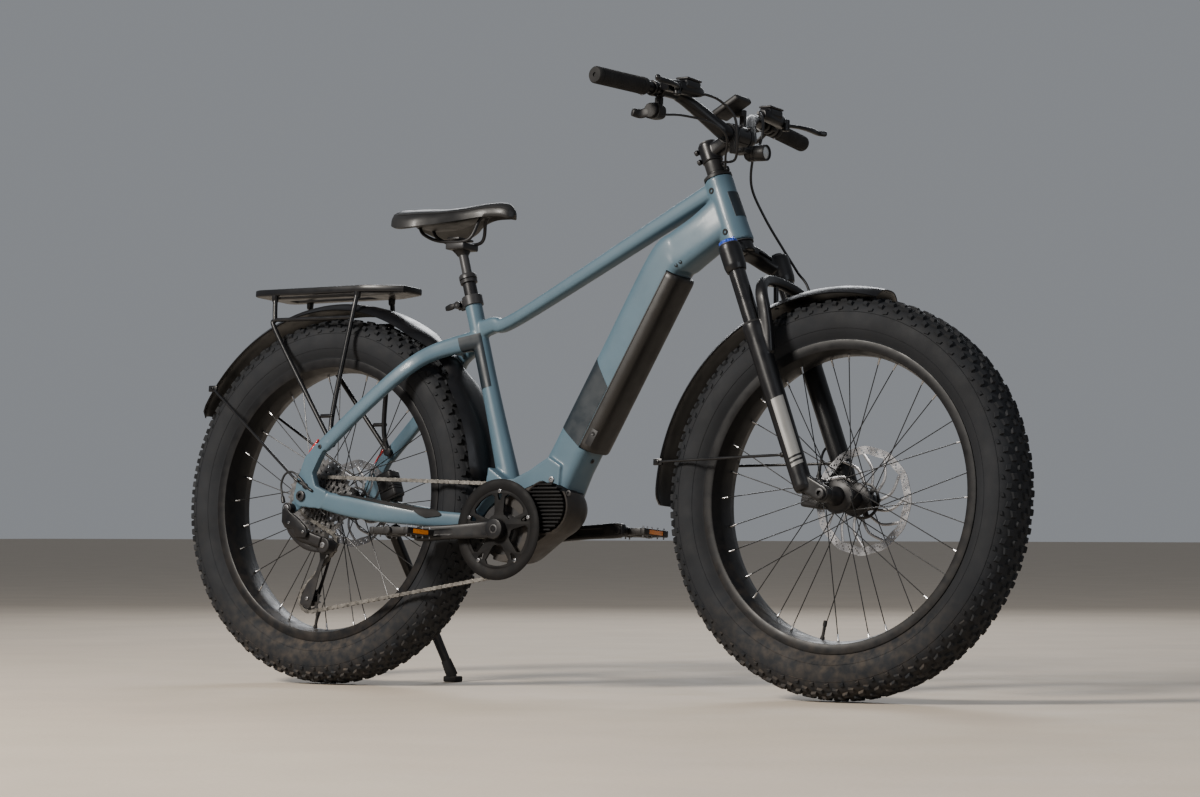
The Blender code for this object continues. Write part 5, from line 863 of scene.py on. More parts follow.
def front_hub():
    return hub(FRONT_AXLE, FRONT_HUB_HALF - 0.0004,
               [(HUB_END_RADIUS, -0.058), (0.0150, -0.050), (0.0178, -0.044)], FRONT_FLANGES,
               [(0.0160, -0.018), (0.0150, 0.0), (0.0160, 0.016)], [(0.0180, 0.040), (0.0205, 0.043)])


def rear_hub():
    driver = -SMALL_COG_OUT - 0.003
    return hub(REAR_AXLE, DROPOUT_INNER - 0.0004,
               [(HUB_END_RADIUS, driver), (0.0161, driver), (0.0161, -0.0545), (0.0200, -0.052),
                (0.0205, -0.047)], REAR_FLANGES,
               [(0.0180, -0.024), (0.0165, 0.0), (0.0180, 0.022)], [(0.0185, 0.046), (0.0210, 0.049)])


def rotor(axle, radius):
    """Steel ring of the brake disc, with a waved edge, drilled slots and swept arms."""
    centre = xz(axle)
    low, high = ROTOR_OUT + 0.0002, ROTOR_OUT + 0.0018
    waves = 12
    outer = []
    inner = []
    for k in range(240):
        angle = 2 * math.pi * k / 240
        ripple = math.cos(waves * angle)
        big = radius - 0.0009 + 0.0009 * ripple
        small = radius - 0.0158 + 0.0013 * ripple
        outer.append((centre[0] + big * math.cos(angle), centre[1] + big * math.sin(angle)))
        inner.append((centre[0] + small * math.cos(angle), centre[1] + small * math.sin(angle)))
    holes = []
    for k in range(waves * 3):
        for step, size in ((0.20, 0.0016), (0.48, 0.0021), (0.78, 0.0016)):
            angle = math.degrees(2 * math.pi * (k + step * 0.9) / (waves * 3))
            reach = radius - 0.0145 + 0.0125 * step
            holes.append(circle(polar(centre, reach, angle), size, 10))
    ring = slab([outer, inner] + holes, low, high)
    arms = []
    for index in range(6):
        for bend in (0, 1):
            angle = 60 * index + 30 * bend
            path = [polar(centre, 0.0335, angle), polar(centre, radius * 0.60, angle + 14),
                    polar(centre, radius - 0.0150, angle + 32)]
            arms.append(swept([(Vector((x, (low + high) / 2, z)), 0.0008, 0.0027) for x, z in path],
                              sides=8, roundness=6.0, steps=6))
    return joined(ring, *arms)


def rotor_carrier(axle):
    """Black spider in the middle of the brake disc."""
    centre = xz(axle)
    windows = []
    for index in range(6):
        angle = 60 * index + 15
        windows.append(arc(centre, 0.0205, angle - 18, angle + 18, 6)
                       + arc(centre, 0.0290, angle + 20, angle - 20, 8))
    body = slab([circle(centre, 0.0345, 48), circle(centre, 0.0112, 32)] + windows, ROTOR_OUT - 0.0003,
                ROTOR_OUT + 0.0024, bevel=0.0004)
    rivets = []
    for k in range(12):
        x, z = polar(centre, 0.0330, 30 * k)
        rivets.append(bolt(Vector((x, ROTOR_OUT + 0.002, z)), LEFT, 0.0030, 0.0016, hexagon=False))
    lock = turned([(0.0112, 0.0020), (0.0185, 0.0020), (0.0180, 0.0042), (0.0112, 0.0042)],
                  axle + LEFT * ROTOR_OUT, steps=32, ring=True)
    return joined(body, lock, *rivets)


def valve(axle, angle):
    out = outward(angle)
    foot = axle + out * (RIM_RADIUS - RIM_DEPTH)
    return turned([(0.0042, 0.0005), (0.0042, -0.004), (0.0030, -0.006), (0.0030, -0.024), (0.0038, -0.025),
                   (0.0038, -0.034), (0.0020, -0.0355)], foot, out, 14)


def wheel(name, axle, flanges, shell, rotor_radius):
    rides = name + "_wheel"
    piece(tyre(axle), name + "_tyre_tread", TYRE, rides, name + "_tyre", slot="tyre_rubber")
    piece(rim(axle), name + "_rim_shell", RIM, rides, name + "_rim", slot="black_paint")
    piece(shell, name + "_hub_shell", ANODISED, rides, name + "_hub", slot="black_metal")
    piece(spokes(axle, flanges), name + "_spokes", SPOKE, rides, slot="black_metal")
    piece(nipples(axle, flanges), name + "_nipples", SILVER, rides)
    piece(rotor(axle, rotor_radius), name + "_rotor_ring", STEEL, rides, name + "_rotor", slot="rotor_steel")
    piece(rotor_carrier(axle), name + "_rotor_carrier", ANODISED, rides, slot="black_metal")
    piece(valve(axle, math.radians(261)), name + "_valve", RUBBER, rides, slot="black_rubber")


# Frame
def down_tube():
    half = DOWN_TUBE_DEPTH / 2
    wide = DOWN_TUBE_WIDTH / 2
    top = BATTERY_START + BATTERY_LENGTH
    return swept([(on_down(0.085, half + 0.003), wide * 1.10, half * 1.16),
                  (on_down(0.160, half), wide * 1.02, half * 1.05),
                  (on_down(0.200, half), wide, half * 1.03),
                  (on_down(0.400, half), wide, half * 1.03),
                  (on_down(top, half), wide, half * 1.03),
                  (on_down(top + 0.042, half + 0.016), wide * 0.95, half * 1.06),
                  (on_down(top + 0.095, half + 0.044), wide * 0.86, half * 1.04),
                  (on_head(0.064), wide * 0.68, half * 1.08)], sides=48, roundness=4.2, steps=8)


def top_tube():
    tall = TOP_TUBE_HEIGHT / 2
    wide = TOP_TUBE_WIDTH / 2
    head = on_head(TOP_TUBE_ON_HEAD)
    return swept([(head, wide * 1.05, tall * 1.15), (head - TOP_TUBE_UP * 0.155, wide, tall * 1.06),
                  (head - TOP_TUBE_UP * 0.513, wide * 0.82, tall * 0.83),
                  (on_seat(TOP_TUBE_ON_SEAT, 0.040), wide * 0.78, tall * 1.05),
                  (on_seat(TOP_TUBE_ON_SEAT), wide * 0.70, tall * 1.15)], sides=32, roundness=3.4, steps=10)


def seat_tube():
    r = SEAT_TUBE_RADIUS
    return swept([(on_seat(0.060), r * 1.45, r * 1.45), (on_seat(0.130), r * 1.15, r * 1.30),
                  (on_seat(0.300), r, r), (on_seat(SEAT_TUBE_LENGTH), r, r)], sides=32, steps=8)


def seat_stay():
    return swept([(on_seat(0.400, 0.004, -0.004), 0.012, 0.020),
                  (at(REAR_AXLE, 0.272, -0.045, 0.293), 0.011, 0.0165),
                  (at(REAR_AXLE, 0.222, -0.077, 0.256), 0.010, 0.0155),
                  (at(REAR_AXLE, 0.140, -0.094, 0.187), 0.0095, 0.0150),
                  (at(REAR_AXLE, 0.044, -STAY_SPREAD, 0.100), 0.009, 0.0150)], sides=24, roundness=3.0,
                 steps=8)


def chain_stay():
    return swept([(at(REAR_AXLE, 0.030, -STAY_SPREAD, -0.004), 0.008, 0.0165),
                  (at(REAR_AXLE, 0.100, -0.1040, -0.018), 0.009, 0.0205),
                  (at(REAR_AXLE, 0.190, -0.0995, -0.031), 0.010, 0.0205),
                  (at(REAR_AXLE, 0.285, -0.0800, -0.041), 0.010, 0.0170),
                  (at(REAR_AXLE, 0.350, -0.0600, -0.045), 0.0085, 0.0155),
                  (at(REAR_AXLE, 0.385, -0.0490, -0.046), 0.0085, 0.0155)], sides=24, roundness=3.0,
                 steps=8)


def dropout():
    axle = xz(REAR_AXLE)
    outline = [(axle[0] + 0.060, axle[1] + 0.108), (axle[0] + 0.030, axle[1] + 0.106),
               (axle[0] + 0.003, axle[1] + 0.078), (axle[0] - 0.014, axle[1] + 0.034)]
    outline += arc(axle, 0.0215, 150, 262, 14)
    outline += [(axle[0] + 0.050, axle[1] - 0.026), (axle[0] + 0.062, axle[1] + 0.009),
                (axle[0] + 0.034, axle[1] + 0.020), (axle[0] + 0.024, axle[1] + 0.046),
                (axle[0] + 0.040, axle[1] + 0.076)]
    return plate(outline, -DROPOUT_OUTER, -DROPOUT_INNER)


DERAILLEUR_BOLT = at(REAR_AXLE, -0.026, 0, -0.0255)
HANGER_OUTER = 0.1120
HANGER_INNER = 0.1060


def hanger_tab():
    axle = xz(REAR_AXLE)
    outline = belt_outline(xz(DERAILLEUR_BOLT), 0.0105, (axle[0], axle[1] - 0.004), 0.016, 10)
    return plate(outline, -HANGER_OUTER, -HANGER_INNER)


PORT_REAR = BOTTOM_BRACKET + Vector((0.0096, 0, 0.1006))
PORT_FRONT = BOTTOM_BRACKET + Vector((0.0496, 0, 0.1179))
PORT_AHEAD = (PORT_FRONT - PORT_REAR).normalized()
PORT_UP = Vector((-PORT_AHEAD.z, 0, PORT_AHEAD.x))
PORT_HINGE = (PORT_REAR + PORT_FRONT) / 2 - PORT_AHEAD * 0.0185 + PORT_UP * 0.0062
SHELL_EDGE_ANGLE = math.radians(-20.3)


def motor_solid(grow=0.0, steps=20):
    sections = ((-1.00, 0.93, 0.94), (-0.72, 0.95, 1.04), (-0.12, 0.96, 1.07),
                (0.40, 0.94, 0.83), (0.72, 0.87, 0.61), (1.00, 0.72, 0.38))
    rings = []
    for across, bracket, drum in catmull([list(s) for s in sections], 4):
        left = MOTOR_WIDTH / 2 * across + math.copysign(min(grow, 0.004), across)
        outline = belt_outline(xz(BOTTOM_BRACKET), MOTOR_RADIUS * bracket + grow, xz(DRUM_CENTRE),
                               DRUM_RADIUS * drum + grow, steps)
        rings.append([Vector((x, left, z)) for x, z in outline])
    return loft(rings)


def below_shell(gap):
    edge = on_down(0.1315, DOWN_TUBE_DEPTH)
    ahead = outward(SHELL_EDGE_ANGLE)
    up = Vector((-ahead.z, 0, ahead.x))
    return block(edge - up * (0.15 + gap), (0.40, 0.20, 0.30), ahead, up)


def cradle():
    bb = xz(BOTTOM_BRACKET)
    drum = xz(DRUM_CENTRE)
    front = xz(on_down(0.105, DOWN_TUBE_DEPTH))
    outline = [(bb[0] - 0.084, bb[1] + 0.004), (bb[0] - 0.050, bb[1] + 0.000), bb, drum, front,
               xz(on_down(0.17, DOWN_TUBE_DEPTH * 0.6)), xz(on_down(0.17, 0.012)),
               (bb[0] + 0.0696, bb[1] + 0.1301), xz(PORT_FRONT), xz(PORT_REAR),
               (bb[0] - 0.014, bb[1] + 0.1006), xz(on_seat(0.135, -0.012)),
               (bb[0] - 0.060, bb[1] + 0.060), (bb[0] - 0.082, bb[1] + 0.034)]
    return plate(outline, -0.045, 0.045)


def battery_space():
    clear = 0.0006
    middle = BATTERY_START + BATTERY_LENGTH / 2
    long = BATTERY_LENGTH + 2 * clear
    high = 0.12 - BATTERY_SEAM
    return block(on_down(middle, BATTERY_SEAM - clear + high / 2), (high, DOWN_TUBE_WIDTH * 1.5, long),
                 DOWN_TUBE_AHEAD, DOWN_TUBE_UP)


FRAME_VOXEL = 0.0022


def frame_skin():
    head = turned([(0.0300, 0), (0.0310, 0.004), (0.0300, 0.018), (0.0272, HEAD_TUBE_LENGTH - 0.025),
                   (0.0272, HEAD_TUBE_LENGTH - 0.004), (0.0266, HEAD_TUBE_LENGTH)], HEAD_BASE, STEER_UP, 48)
    mount = block(KICK_PIVOT + Vector((0, -0.002, 0.0216)), (0.052, 0.026, 0.0080))
    yoke = block(at(BOTTOM_BRACKET, -0.0700, 0, 0.0175), (0.030, 0.108, 0.031))
    bridge = rod(at(REAR_AXLE, 0.2814, -0.042, 0.2991), at(REAR_AXLE, 0.2814, 0.042, 0.2991), 0.008)
    parts = [down_tube(), top_tube(), seat_tube(), head, cradle(), yoke, bridge, seat_stay(), dropout(),
             chain_stay(), hanger_tab(), mirrored(seat_stay()), mirrored(dropout()), mirrored(chain_stay()),
             mount]
    skin = fused(FRAME_VOXEL, 5, *parts)
    cover_space = combine(motor_solid(COVER_WALL + 0.0014), "INTERSECT", [below_shell(-0.0008)])
    drum_space = crosswise(DRUM_CENTRE, -0.08, 0.002, DRUM_RADIUS + 0.0008, steps=64)
    bore = rod(on_head(-0.01), on_head(HEAD_TUBE_LENGTH + 0.01), 0.0205, steps=40)
    post = rod(on_seat(0.200), on_seat(SEAT_TUBE_LENGTH + 0.01), POST_RADIUS + 0.0003, steps=32)
    axle = crosswise(REAR_AXLE, -0.13, 0.13, AXLE_BORE, steps=24)
    return combine(skin, "DIFFERENCE",
                   [battery_space(), motor_solid(0.0008), cover_space, drum_space, bore, post, axle],
                   "MANIFOLD")


def battery_cover():
    """Crowned cover of the battery, with rounded ends."""
    half = DOWN_TUBE_WIDTH / 2
    depth = BATTERY_FRONT - BATTERY_SEAM
    rings = []
    ends = ((0.0, 0.80, 0.70), (0.0016, 0.93, 0.90), (0.005, 0.985, 0.975), (0.012, 1.0, 1.0))
    rows = list(ends) + [(BATTERY_LENGTH - along, wide, tall) for along, wide, tall in reversed(ends)]
    for along, wide, tall in rows:
        ring = []
        for k in range(33):
            angle = math.pi * k / 32
            cosine = math.cos(angle)
            sine = math.sin(angle)
            left = math.copysign(abs(cosine) ** (2 / 3.6), cosine) * half * wide
            out = sine ** (2 / 3.2) * depth * tall
            ring.append(on_down(BATTERY_START + along, BATTERY_SEAM + out, left))
        rings.append(ring)
    return loft(rings)


# Frame details
def overlay(skin, prism, lift):
    """Plate with the prism's outline that follows the skin and stands proud of it by the lift."""
    grown = skin.copy()
    grown.data = skin.data.copy()
    bpy.context.scene.collection.objects.link(grown)
    step = grown.modifiers.new("grow", "DISPLACE")
    step.mid_level = 0.0
    step.strength = lift
    return combine(prism, "INTERSECT", [applied(grown)], "MANIFOLD")


def frame_overlays(skin):
    def tube_side(height, depth):
        return xz(on_down(height, depth))

    panel = [tube_side(0.236, -0.010), tube_side(0.392, -0.010),
             tube_side(0.348, BATTERY_SEAM - 0.0015), tube_side(0.219, BATTERY_SEAM - 0.0015)]
    for side, name in NAMED_SIDES:
        low, high = sorted((side * 0.016, side * 0.060))
        piece(overlay(skin, plate(panel, low, high), 0.0005), "down_tube_panel_" + name, PANEL, "frame")
    guard = [(-0.512, 0.3745), (-0.502, 0.3830), (-0.480, 0.3815), (-0.310, 0.3510), (-0.281, 0.3425),
             (-0.272, 0.3360), (-0.276, 0.3320), (-0.304, 0.3285), (-0.316, 0.3330), (-0.330, 0.3420),
             (-0.484, 0.3700), (-0.503, 0.3715)]
    pad = overlay(skin, plate(guard, -0.130, -0.078), 0.0022)
    piece(pad, "chain_stay_guard", RUBBER, "frame", slot="black_rubber")
    badge = plate([(-0.019, 0.046), (0.019, 0.046), (0.019, 0.098), (-0.019, 0.098)], 0.010, 0.050,
                  HEAD_BASE, -LEFT, STEER_UP)
    piece(overlay(skin, badge, 0.0006), "head_badge_plate", PANEL, "frame")
    label = plate([(-0.030, 0.298), (0.012, 0.298), (0.012, 0.410), (-0.030, 0.410)], -0.040, -0.004,
                  BOTTOM_BRACKET, Vector((SEAT_UP.z, 0, -SEAT_UP.x)), SEAT_UP)
    piece(overlay(skin, label, 0.0005), "seat_tube_label", PANEL, "frame")


def frame_fittings():
    heads = [bolt(Vector((0.0108, -0.0492, 0.3781)), -LEFT, 0.0058, 0.0022),
             bolt(Vector((0.0278, 0.0, 0.4440)), Vector((0.88, 0, -0.48)), 0.0046, 0.0018),
             bolt(at(REAR_AXLE, 0.0414, -0.1150, 0.0988), -LEFT, 0.0044, 0.0018)]
    piece(joined(*heads), "frame_bolts", ANODISED, "frame", slot="black_metal")
    piece(bolt(Vector((-0.0342, -0.0456, 0.4052)), -LEFT, 0.0060, 0.0020), "motor_mount_bolt", STEEL, "frame")
    ports = []
    for side in SIDES:
        for height, ahead, out in ((0.1115, -0.008, 0.0258), (0.0225, -0.004, 0.0294)):
            ports.append(turned([(0.0062, -0.004), (0.0062, 0.0010), (0.0050, 0.0018), (0.0030, 0.0012),
                                 (0.0024, -0.002)], on_head(height, ahead, side * out),
                                LEFT * side - STEER_AHEAD * 0.25, 20))
    for step in (0.0, 0.0095):
        place = on_down(BATTERY_START + BATTERY_LENGTH + 0.0175 + step, 0.0725 + step * 0.55, -0.0345)
        ports.append(turned([(0.0036, -0.003), (0.0036, 0.0010), (0.0026, 0.0016), (0.0012, 0.0004)],
                            place, -LEFT, 16))
    piece(joined(*ports), "cable_ports", RUBBER, "frame", slot="black_rubber")
    lights = []
    for side in SIDES:
        route = [Vector((-0.5735, side * 0.1045, 0.4820)), Vector((-0.5850, side * 0.1060, 0.4635)),
                 Vector((-0.6010, side * 0.1068, 0.4390))]
        lights.append(swept([(route[0], 0.0030, 0.0022), (route[1], 0.0050, 0.0034),
                             (route[2], 0.0044, 0.0026)], sides=20, roundness=3.0, steps=8, ends=0.004))
    piece(joined(*lights), "tail_light_lenses", RED, "frame")


def charge_port():
    middle = (PORT_REAR + PORT_FRONT) / 2 + PORT_UP * 0.0050
    lid = block(middle, (0.036, 0.034, 0.0088), PORT_AHEAD, PORT_UP, 0.0030, 4)
    rim_line = block(middle - PORT_UP * 0.0034, (0.0385, 0.0365, 0.0018), PORT_AHEAD, PORT_UP, 0.0008, 2)
    tab = block(middle + PORT_AHEAD * 0.0185, (0.006, 0.016, 0.0042), PORT_AHEAD, PORT_UP, 0.0015, 2)
    pin = rod(PORT_HINGE - LEFT * 0.017, PORT_HINGE + LEFT * 0.017, 0.0034, steps=20, rounding=0.0008)
    piece(joined(lid, rim_line, tab, pin), "charge_port_flap", RUBBER, "charge_port_cover",
          "charge_port_cover", slot="black_rubber")


def battery_fittings():
    half = DOWN_TUBE_WIDTH / 2
    lock = BATTERY_START + 0.030
    strip = []
    for side in SIDES:
        strip.append(swept([(on_down(BATTERY_START + 0.004 + along, BATTERY_SEAM + 0.0022,
                                     side * (half - 0.0004)), 0.0012, 0.0014)
                            for along in (0.0, 0.12, 0.25, BATTERY_LENGTH - 0.008)], 10, steps=4))
    piece(joined(*strip), "battery_seam_lips", PLASTIC, "battery")
    switch = [block(on_down(lock, BATTERY_FRONT - 0.012, -half + 0.0006), (0.016, 0.0016, 0.034),
                    DOWN_TUBE_AHEAD, DOWN_TUBE_UP, 0.0006, 2),
              turned([(0.0040, -0.001), (0.0040, 0.0012), (0.0034, 0.0016), (0.0014, 0.0010)],
                     on_down(lock + 0.008, BATTERY_FRONT - 0.012, -half), -LEFT, 16)]
    piece(joined(*switch), "battery_charge_gauge", PLASTIC, "battery")


# Motor
def motor():
    core = motor_solid(0.0, 28)
    boss = crosswise(BOTTOM_BRACKET, -0.058, 0.064, 0.026, steps=40, rounding=0.002)
    plate_ring = turned([(0.0120, -0.0610), (0.0300, -0.0600), (0.0340, -0.0540), (0.0340, -0.0500),
                         (0.0120, -0.0500)], BOTTOM_BRACKET, steps=40, ring=True)
    piece(joined(core, boss, plate_ring), "motor_casting", ANODISED, "frame", "motor_housing",
          slot="black_metal")
    radius = DRUM_RADIUS - 0.0006
    drum = [rod(at(DRUM_CENTRE, 0, -DRUM_WIDTH / 2 + 0.0060, 0), DRUM_CENTRE, radius - 0.0030, steps=56,
                rounding=0.002)]
    fins = 13
    for index in range(fins):
        height = radius * (2 * (index + 0.5) / fins - 1)
        reach = math.sqrt(radius ** 2 - height ** 2)
        drum.append(block(at(DRUM_CENTRE, 0, -DRUM_WIDTH / 4 - 0.0005, height),
                          (2 * reach, DRUM_WIDTH / 2 - 0.001, 0.0034), bevel=0.0009, segments=2))
    drum.append(turned([(radius, -0.030), (radius, -0.012), (0.0450, -0.012), (0.0450, -0.030)], DRUM_CENTRE,
                       steps=56, ring=True))
    piece(joined(*drum), "motor_drum", MATT, "frame", slot="black_metal")
    outer = combine(motor_solid(COVER_WALL, 28), "INTERSECT", [below_shell(0.0)])
    around = crosswise(BOTTOM_BRACKET, -0.08, 0.08, MOTOR_RADIUS * 0.80, steps=48)
    behind = block(at(BOTTOM_BRACKET, -0.071, 0, 0), (0.10, 0.2, 0.30))
    shell = cut(outer, crosswise(DRUM_CENTRE, -0.08, 0.002, DRUM_RADIUS + 0.0010, steps=56), around, behind)
    lip = turned([(DRUM_RADIUS + 0.0010, -0.0400), (DRUM_RADIUS + 0.0010, -0.0545),
                  (DRUM_RADIUS + 0.0028, -0.0560), (DRUM_RADIUS + 0.0050, -0.0545),
                  (DRUM_RADIUS + 0.0058, -0.0400)], DRUM_CENTRE, steps=64, ring=True)
    lip = combine(lip, "INTERSECT", [below_shell(0.0)])
    lip = cut(lip, crosswise(BOTTOM_BRACKET, -0.08, 0.08, MOTOR_RADIUS * 0.92, steps=48))
    piece(joined(shell, lip), "motor_cover_shell", SHELL, "frame", "motor_cover", slot="black_plastic",
          sharp=28)


# Crank set
CRANK_BACK = Vector((-math.cos(CRANK_TILT), 0, -math.sin(CRANK_TILT)))
PEDAL_START = CRANK_INNER + CRANK_FLARE + CRANK_THICKNESS + 0.0025


def toothed(centre, teeth, turn=0.0, tip=0.0022, root=0.0040, share=1.0):
    """Outline of a chain wheel as (x, z) points."""
    pitch = pitch_radius(teeth)
    shape = ((0.0, -root), (0.20, -0.85 * root), (0.33, 0.0), (0.44, tip), (0.56, tip), (0.67, 0.0),
             (0.80, -0.85 * root))
    points = []
    for k in range(teeth):
        for along, out in shape:
            angle = 360 * (k + along) / teeth + turn
            points.append(polar(centre, pitch + out * share, angle))
    return points


def window(centre, angle, inner, outer, half_in, half_out, steps=6):
    """Rounded opening between two radii of a wheel, centred on an angle in degrees."""
    corner = (outer - inner) * 0.14
    return (arc(centre, inner, angle - half_in * 0.7, angle + half_in * 0.7, steps)
            + [polar(centre, inner + corner, angle + half_in),
               polar(centre, outer - corner, angle + half_out)]
            + arc(centre, outer, angle + half_out * 0.8, angle - half_out * 0.8, steps)
            + [polar(centre, outer - corner, angle - half_out),
               polar(centre, inner + corner, angle - half_in)])


def chain_set():
    centre = xz(BOTTOM_BRACKET)
    ring = slab([toothed(centre, CHAINRING_TEETH), circle(centre, 0.0735, 72)], -CHAIN_LINE - 0.0012,
                -CHAIN_LINE + 0.0012)
    piece(ring, "chainring_teeth", COG_STEEL, "crank", "chainring", slot="dark_steel")
    arms = 5
    windows = []
    for index in range(arms):
        angle = 360 * index / arms + 18
        windows.append(window(centre, angle + 36, 0.031, 0.0705, 19, 25))
        windows.append(window(centre, angle, 0.0575, 0.0700, 2.5, 4.5))
    spider = slab([circle(centre, 0.0800, 96), circle(centre, 0.0094, 32)] + windows, -0.0712, -0.0664,
                  bevel=0.0008)
    guard = turned([(0.0765, -0.0697), (0.0768, -0.0716), (0.0800, -0.0732), (0.0890, -0.0742),
                    (0.0955, -0.0732), (0.0982, -0.0714), (GUARD_RADIUS, -0.0700), (0.0976, -0.0692),
                    (0.0800, -0.0692)], BOTTOM_BRACKET, steps=120, ring=True)
    hub = turned([(0.0094, -0.0715), (0.0215, -0.0713), (0.0240, -0.0690), (0.0240, -0.0620),
                  (0.0094, -0.0620)], BOTTOM_BRACKET, steps=48, ring=True)
    piece(joined(spider, guard, hub), "chainring_guard_shell", MATT, "crank", "chainring_guard",
          slot="black_metal")
    bolts = []
    for index in range(arms):
        angle = 360 * index / arms + 18
        x, z = polar(centre, 0.0745, angle)
        bolts.append(bolt(Vector((x, -0.0712, z)), -LEFT, 0.0038, 0.0016))
    piece(joined(*bolts), "chainring_bolts", STEEL, "crank")
    for side, name in NAMED_SIDES:
        crank_arm(side, name)


def crank_arm(side, name):
    along = CRANK_BACK * -side
    middle = CRANK_INNER + CRANK_THICKNESS / 2
    near = BOTTOM_BRACKET + LEFT * side * middle
    far = BOTTOM_BRACKET + along * CRANK_LENGTH + LEFT * side * (middle + CRANK_FLARE)
    arm = swept([(near - along * 0.012, CRANK_THICKNESS / 2 - 0.001, 0.0150),
                 (near + along * 0.004, CRANK_THICKNESS / 2, 0.0172),
                 (near + along * 0.030, CRANK_THICKNESS / 2, 0.0165),
                 (near + along * 0.100 + LEFT * side * CRANK_FLARE * 0.60, 0.0068, 0.0140),
                 (far - along * 0.008, CRANK_THICKNESS / 2, 0.0150),
                 (far + along * 0.010, CRANK_THICKNESS / 2 - 0.0008, 0.0118)], sides=40, roundness=5.0,
                steps=8, ends=0.003)
    boss = crosswise(BOTTOM_BRACKET, side * CRANK_INNER, side * (CRANK_INNER + CRANK_THICKNESS + 0.0012),
                     0.0200, steps=48, rounding=0.0015)
    pocket = []
    for face in SIDES:
        place = near.lerp(far, 0.52) + LEFT * side * (face * (CRANK_THICKNESS / 2 + 0.0002) + 0.0010)
        pocket.append(swept([(place - along * 0.046, 0.0018, 0.0062), (place, 0.0018, 0.0064),
                             (place + along * 0.046 + LEFT * side * 0.004, 0.0018, 0.0060)], sides=20,
                            roundness=4.0, steps=3, ends=0.004))
    end = turned([(0.0092, CRANK_THICKNESS + 0.0004), (0.0092, CRANK_THICKNESS + 0.0040)],
                 at(BOTTOM_BRACKET, 0, side * CRANK_INNER, 0), LEFT * side, 36)
    body = cut(union(arm, boss), *pocket, end)
    axle = crosswise(BOTTOM_BRACKET + along * CRANK_LENGTH, side * (CRANK_INNER + CRANK_FLARE - 0.0008),
                     side * (PEDAL_START + 0.004), 0.0074, steps=32, rounding=0.0008)
    parts = [body, axle]
    if side > 0:
        half = CRANK_INNER + 0.012
        parts.append(crosswise(BOTTOM_BRACKET, -half, half, 0.0088, steps=32))
    piece(joined(*parts), "crank_arm_%s_forging" % name, SATIN, "crank", "crank_arm_" + name,
          slot="black_metal")
    face = at(BOTTOM_BRACKET, 0, side * (CRANK_INNER + CRANK_THICKNESS - 0.0006), 0)
    ring = turned([(0.0088, 0.0), (0.0088, 0.0016), (0.0066, 0.0020), (0.0066, 0.0)], face, LEFT * side, 36,
                  ring=True)
    piece(joined(ring, bolt(face - LEFT * side * 0.0010, LEFT * side, 0.0062, 0.0020)),
          "crank_bolt_" + name, ANODISED, "crank")


def pedal(side, name):
    centre = BOTTOM_BRACKET + CRANK_BACK * -side * CRANK_LENGTH
    start = side * PEDAL_START
    end = side * (PEDAL_START + PEDAL_LENGTH)
    half = PEDAL_WIDTH / 2
    middle = (start + end) / 2
    thick = PEDAL_THICKNESS
    parts = [block(at(centre, 0, middle, 0), (0.024, PEDAL_LENGTH - 0.018, thick - 0.002), bevel=0.0045),
             crosswise(centre, start, start + side * 0.016, 0.0100, steps=32, rounding=0.0015),
             crosswise(centre, end - side * 0.014, end - side * 0.001, 0.0082, steps=32, rounding=0.0020)]
    pins = []
    shine = []
    for sign in SIDES:
        rail = cut(block(at(centre, sign * (half - 0.006), middle, 0),
                         (0.0116, PEDAL_LENGTH - 0.014, thick * 0.80), bevel=0.0022),
                   block(at(centre, sign * (half - 0.0005), middle, 0), (0.0040, 0.050, 0.0096)))
        parts.append(rail)
        shine.append(block(at(centre, sign * (half - 0.0021), middle, 0), (0.0022, 0.0485, 0.0090),
                           bevel=0.0005, segments=2))
        for k in range(5):
            out = start + (end - start) * (0.13 + 0.185 * k)
            for level in SIDES:
                foot = at(centre, sign * (half - 0.0075 - 0.004 * math.sin(math.pi * k / 4)), out,
                          level * thick * 0.30)
                pins.append(rod(foot, foot + UP * level * 0.0062, 0.0016, 0.0014, 10))
    for place in (start + side * 0.0125, end - side * 0.0125):
        under = [(-half + 0.001, -0.0038), (-half + 0.008, -0.0062), (-0.020, -0.0064), (0.0, -0.0076),
                 (0.020, -0.0064), (half - 0.008, -0.0062), (half - 0.001, -0.0038)]
        outline = under + [(along, -above) for along, above in reversed(under)]
        parts.append(bevelled(plate(outline, place - 0.0045, place + 0.0045, centre), 0.0012, 2))
    for sign in SIDES:
        for share in (0.36, 0.64):
            place = start + (end - start) * share
            parts.append(block(at(centre, sign * 0.026, place, 0), (0.030, 0.0060, 0.0075), bevel=0.0012,
                               segments=2))
    body = "pedal_" + name
    piece(joined(*parts), body + "_platform", PLASTIC, body, body, slot="black_plastic")
    piece(joined(*pins), body + "_pins", STEEL, body)
    piece(joined(*shine), body + "_reflectors", AMBER, body)


# Chain
CAGE_PIVOT = at(REAR_AXLE, 0.060, 0, -0.0985)
GUIDE_PULLEY = at(CAGE_PIVOT, -0.017, 0, 0.006)
TENSION_PULLEY = at(CAGE_PIVOT, -0.057, 0, -0.1055)


def chain_wheels():
    return [(BOTTOM_BRACKET, pitch_radius(CHAINRING_TEETH), 1, 60),
            (REAR_AXLE, pitch_radius(COG_TEETH[CHAIN_COG]), 1, 40),
            (GUIDE_PULLEY, pitch_radius(GUIDE_TEETH), -1, 24),
            (TENSION_PULLEY, pitch_radius(TENSION_TEETH), 1, 30)]


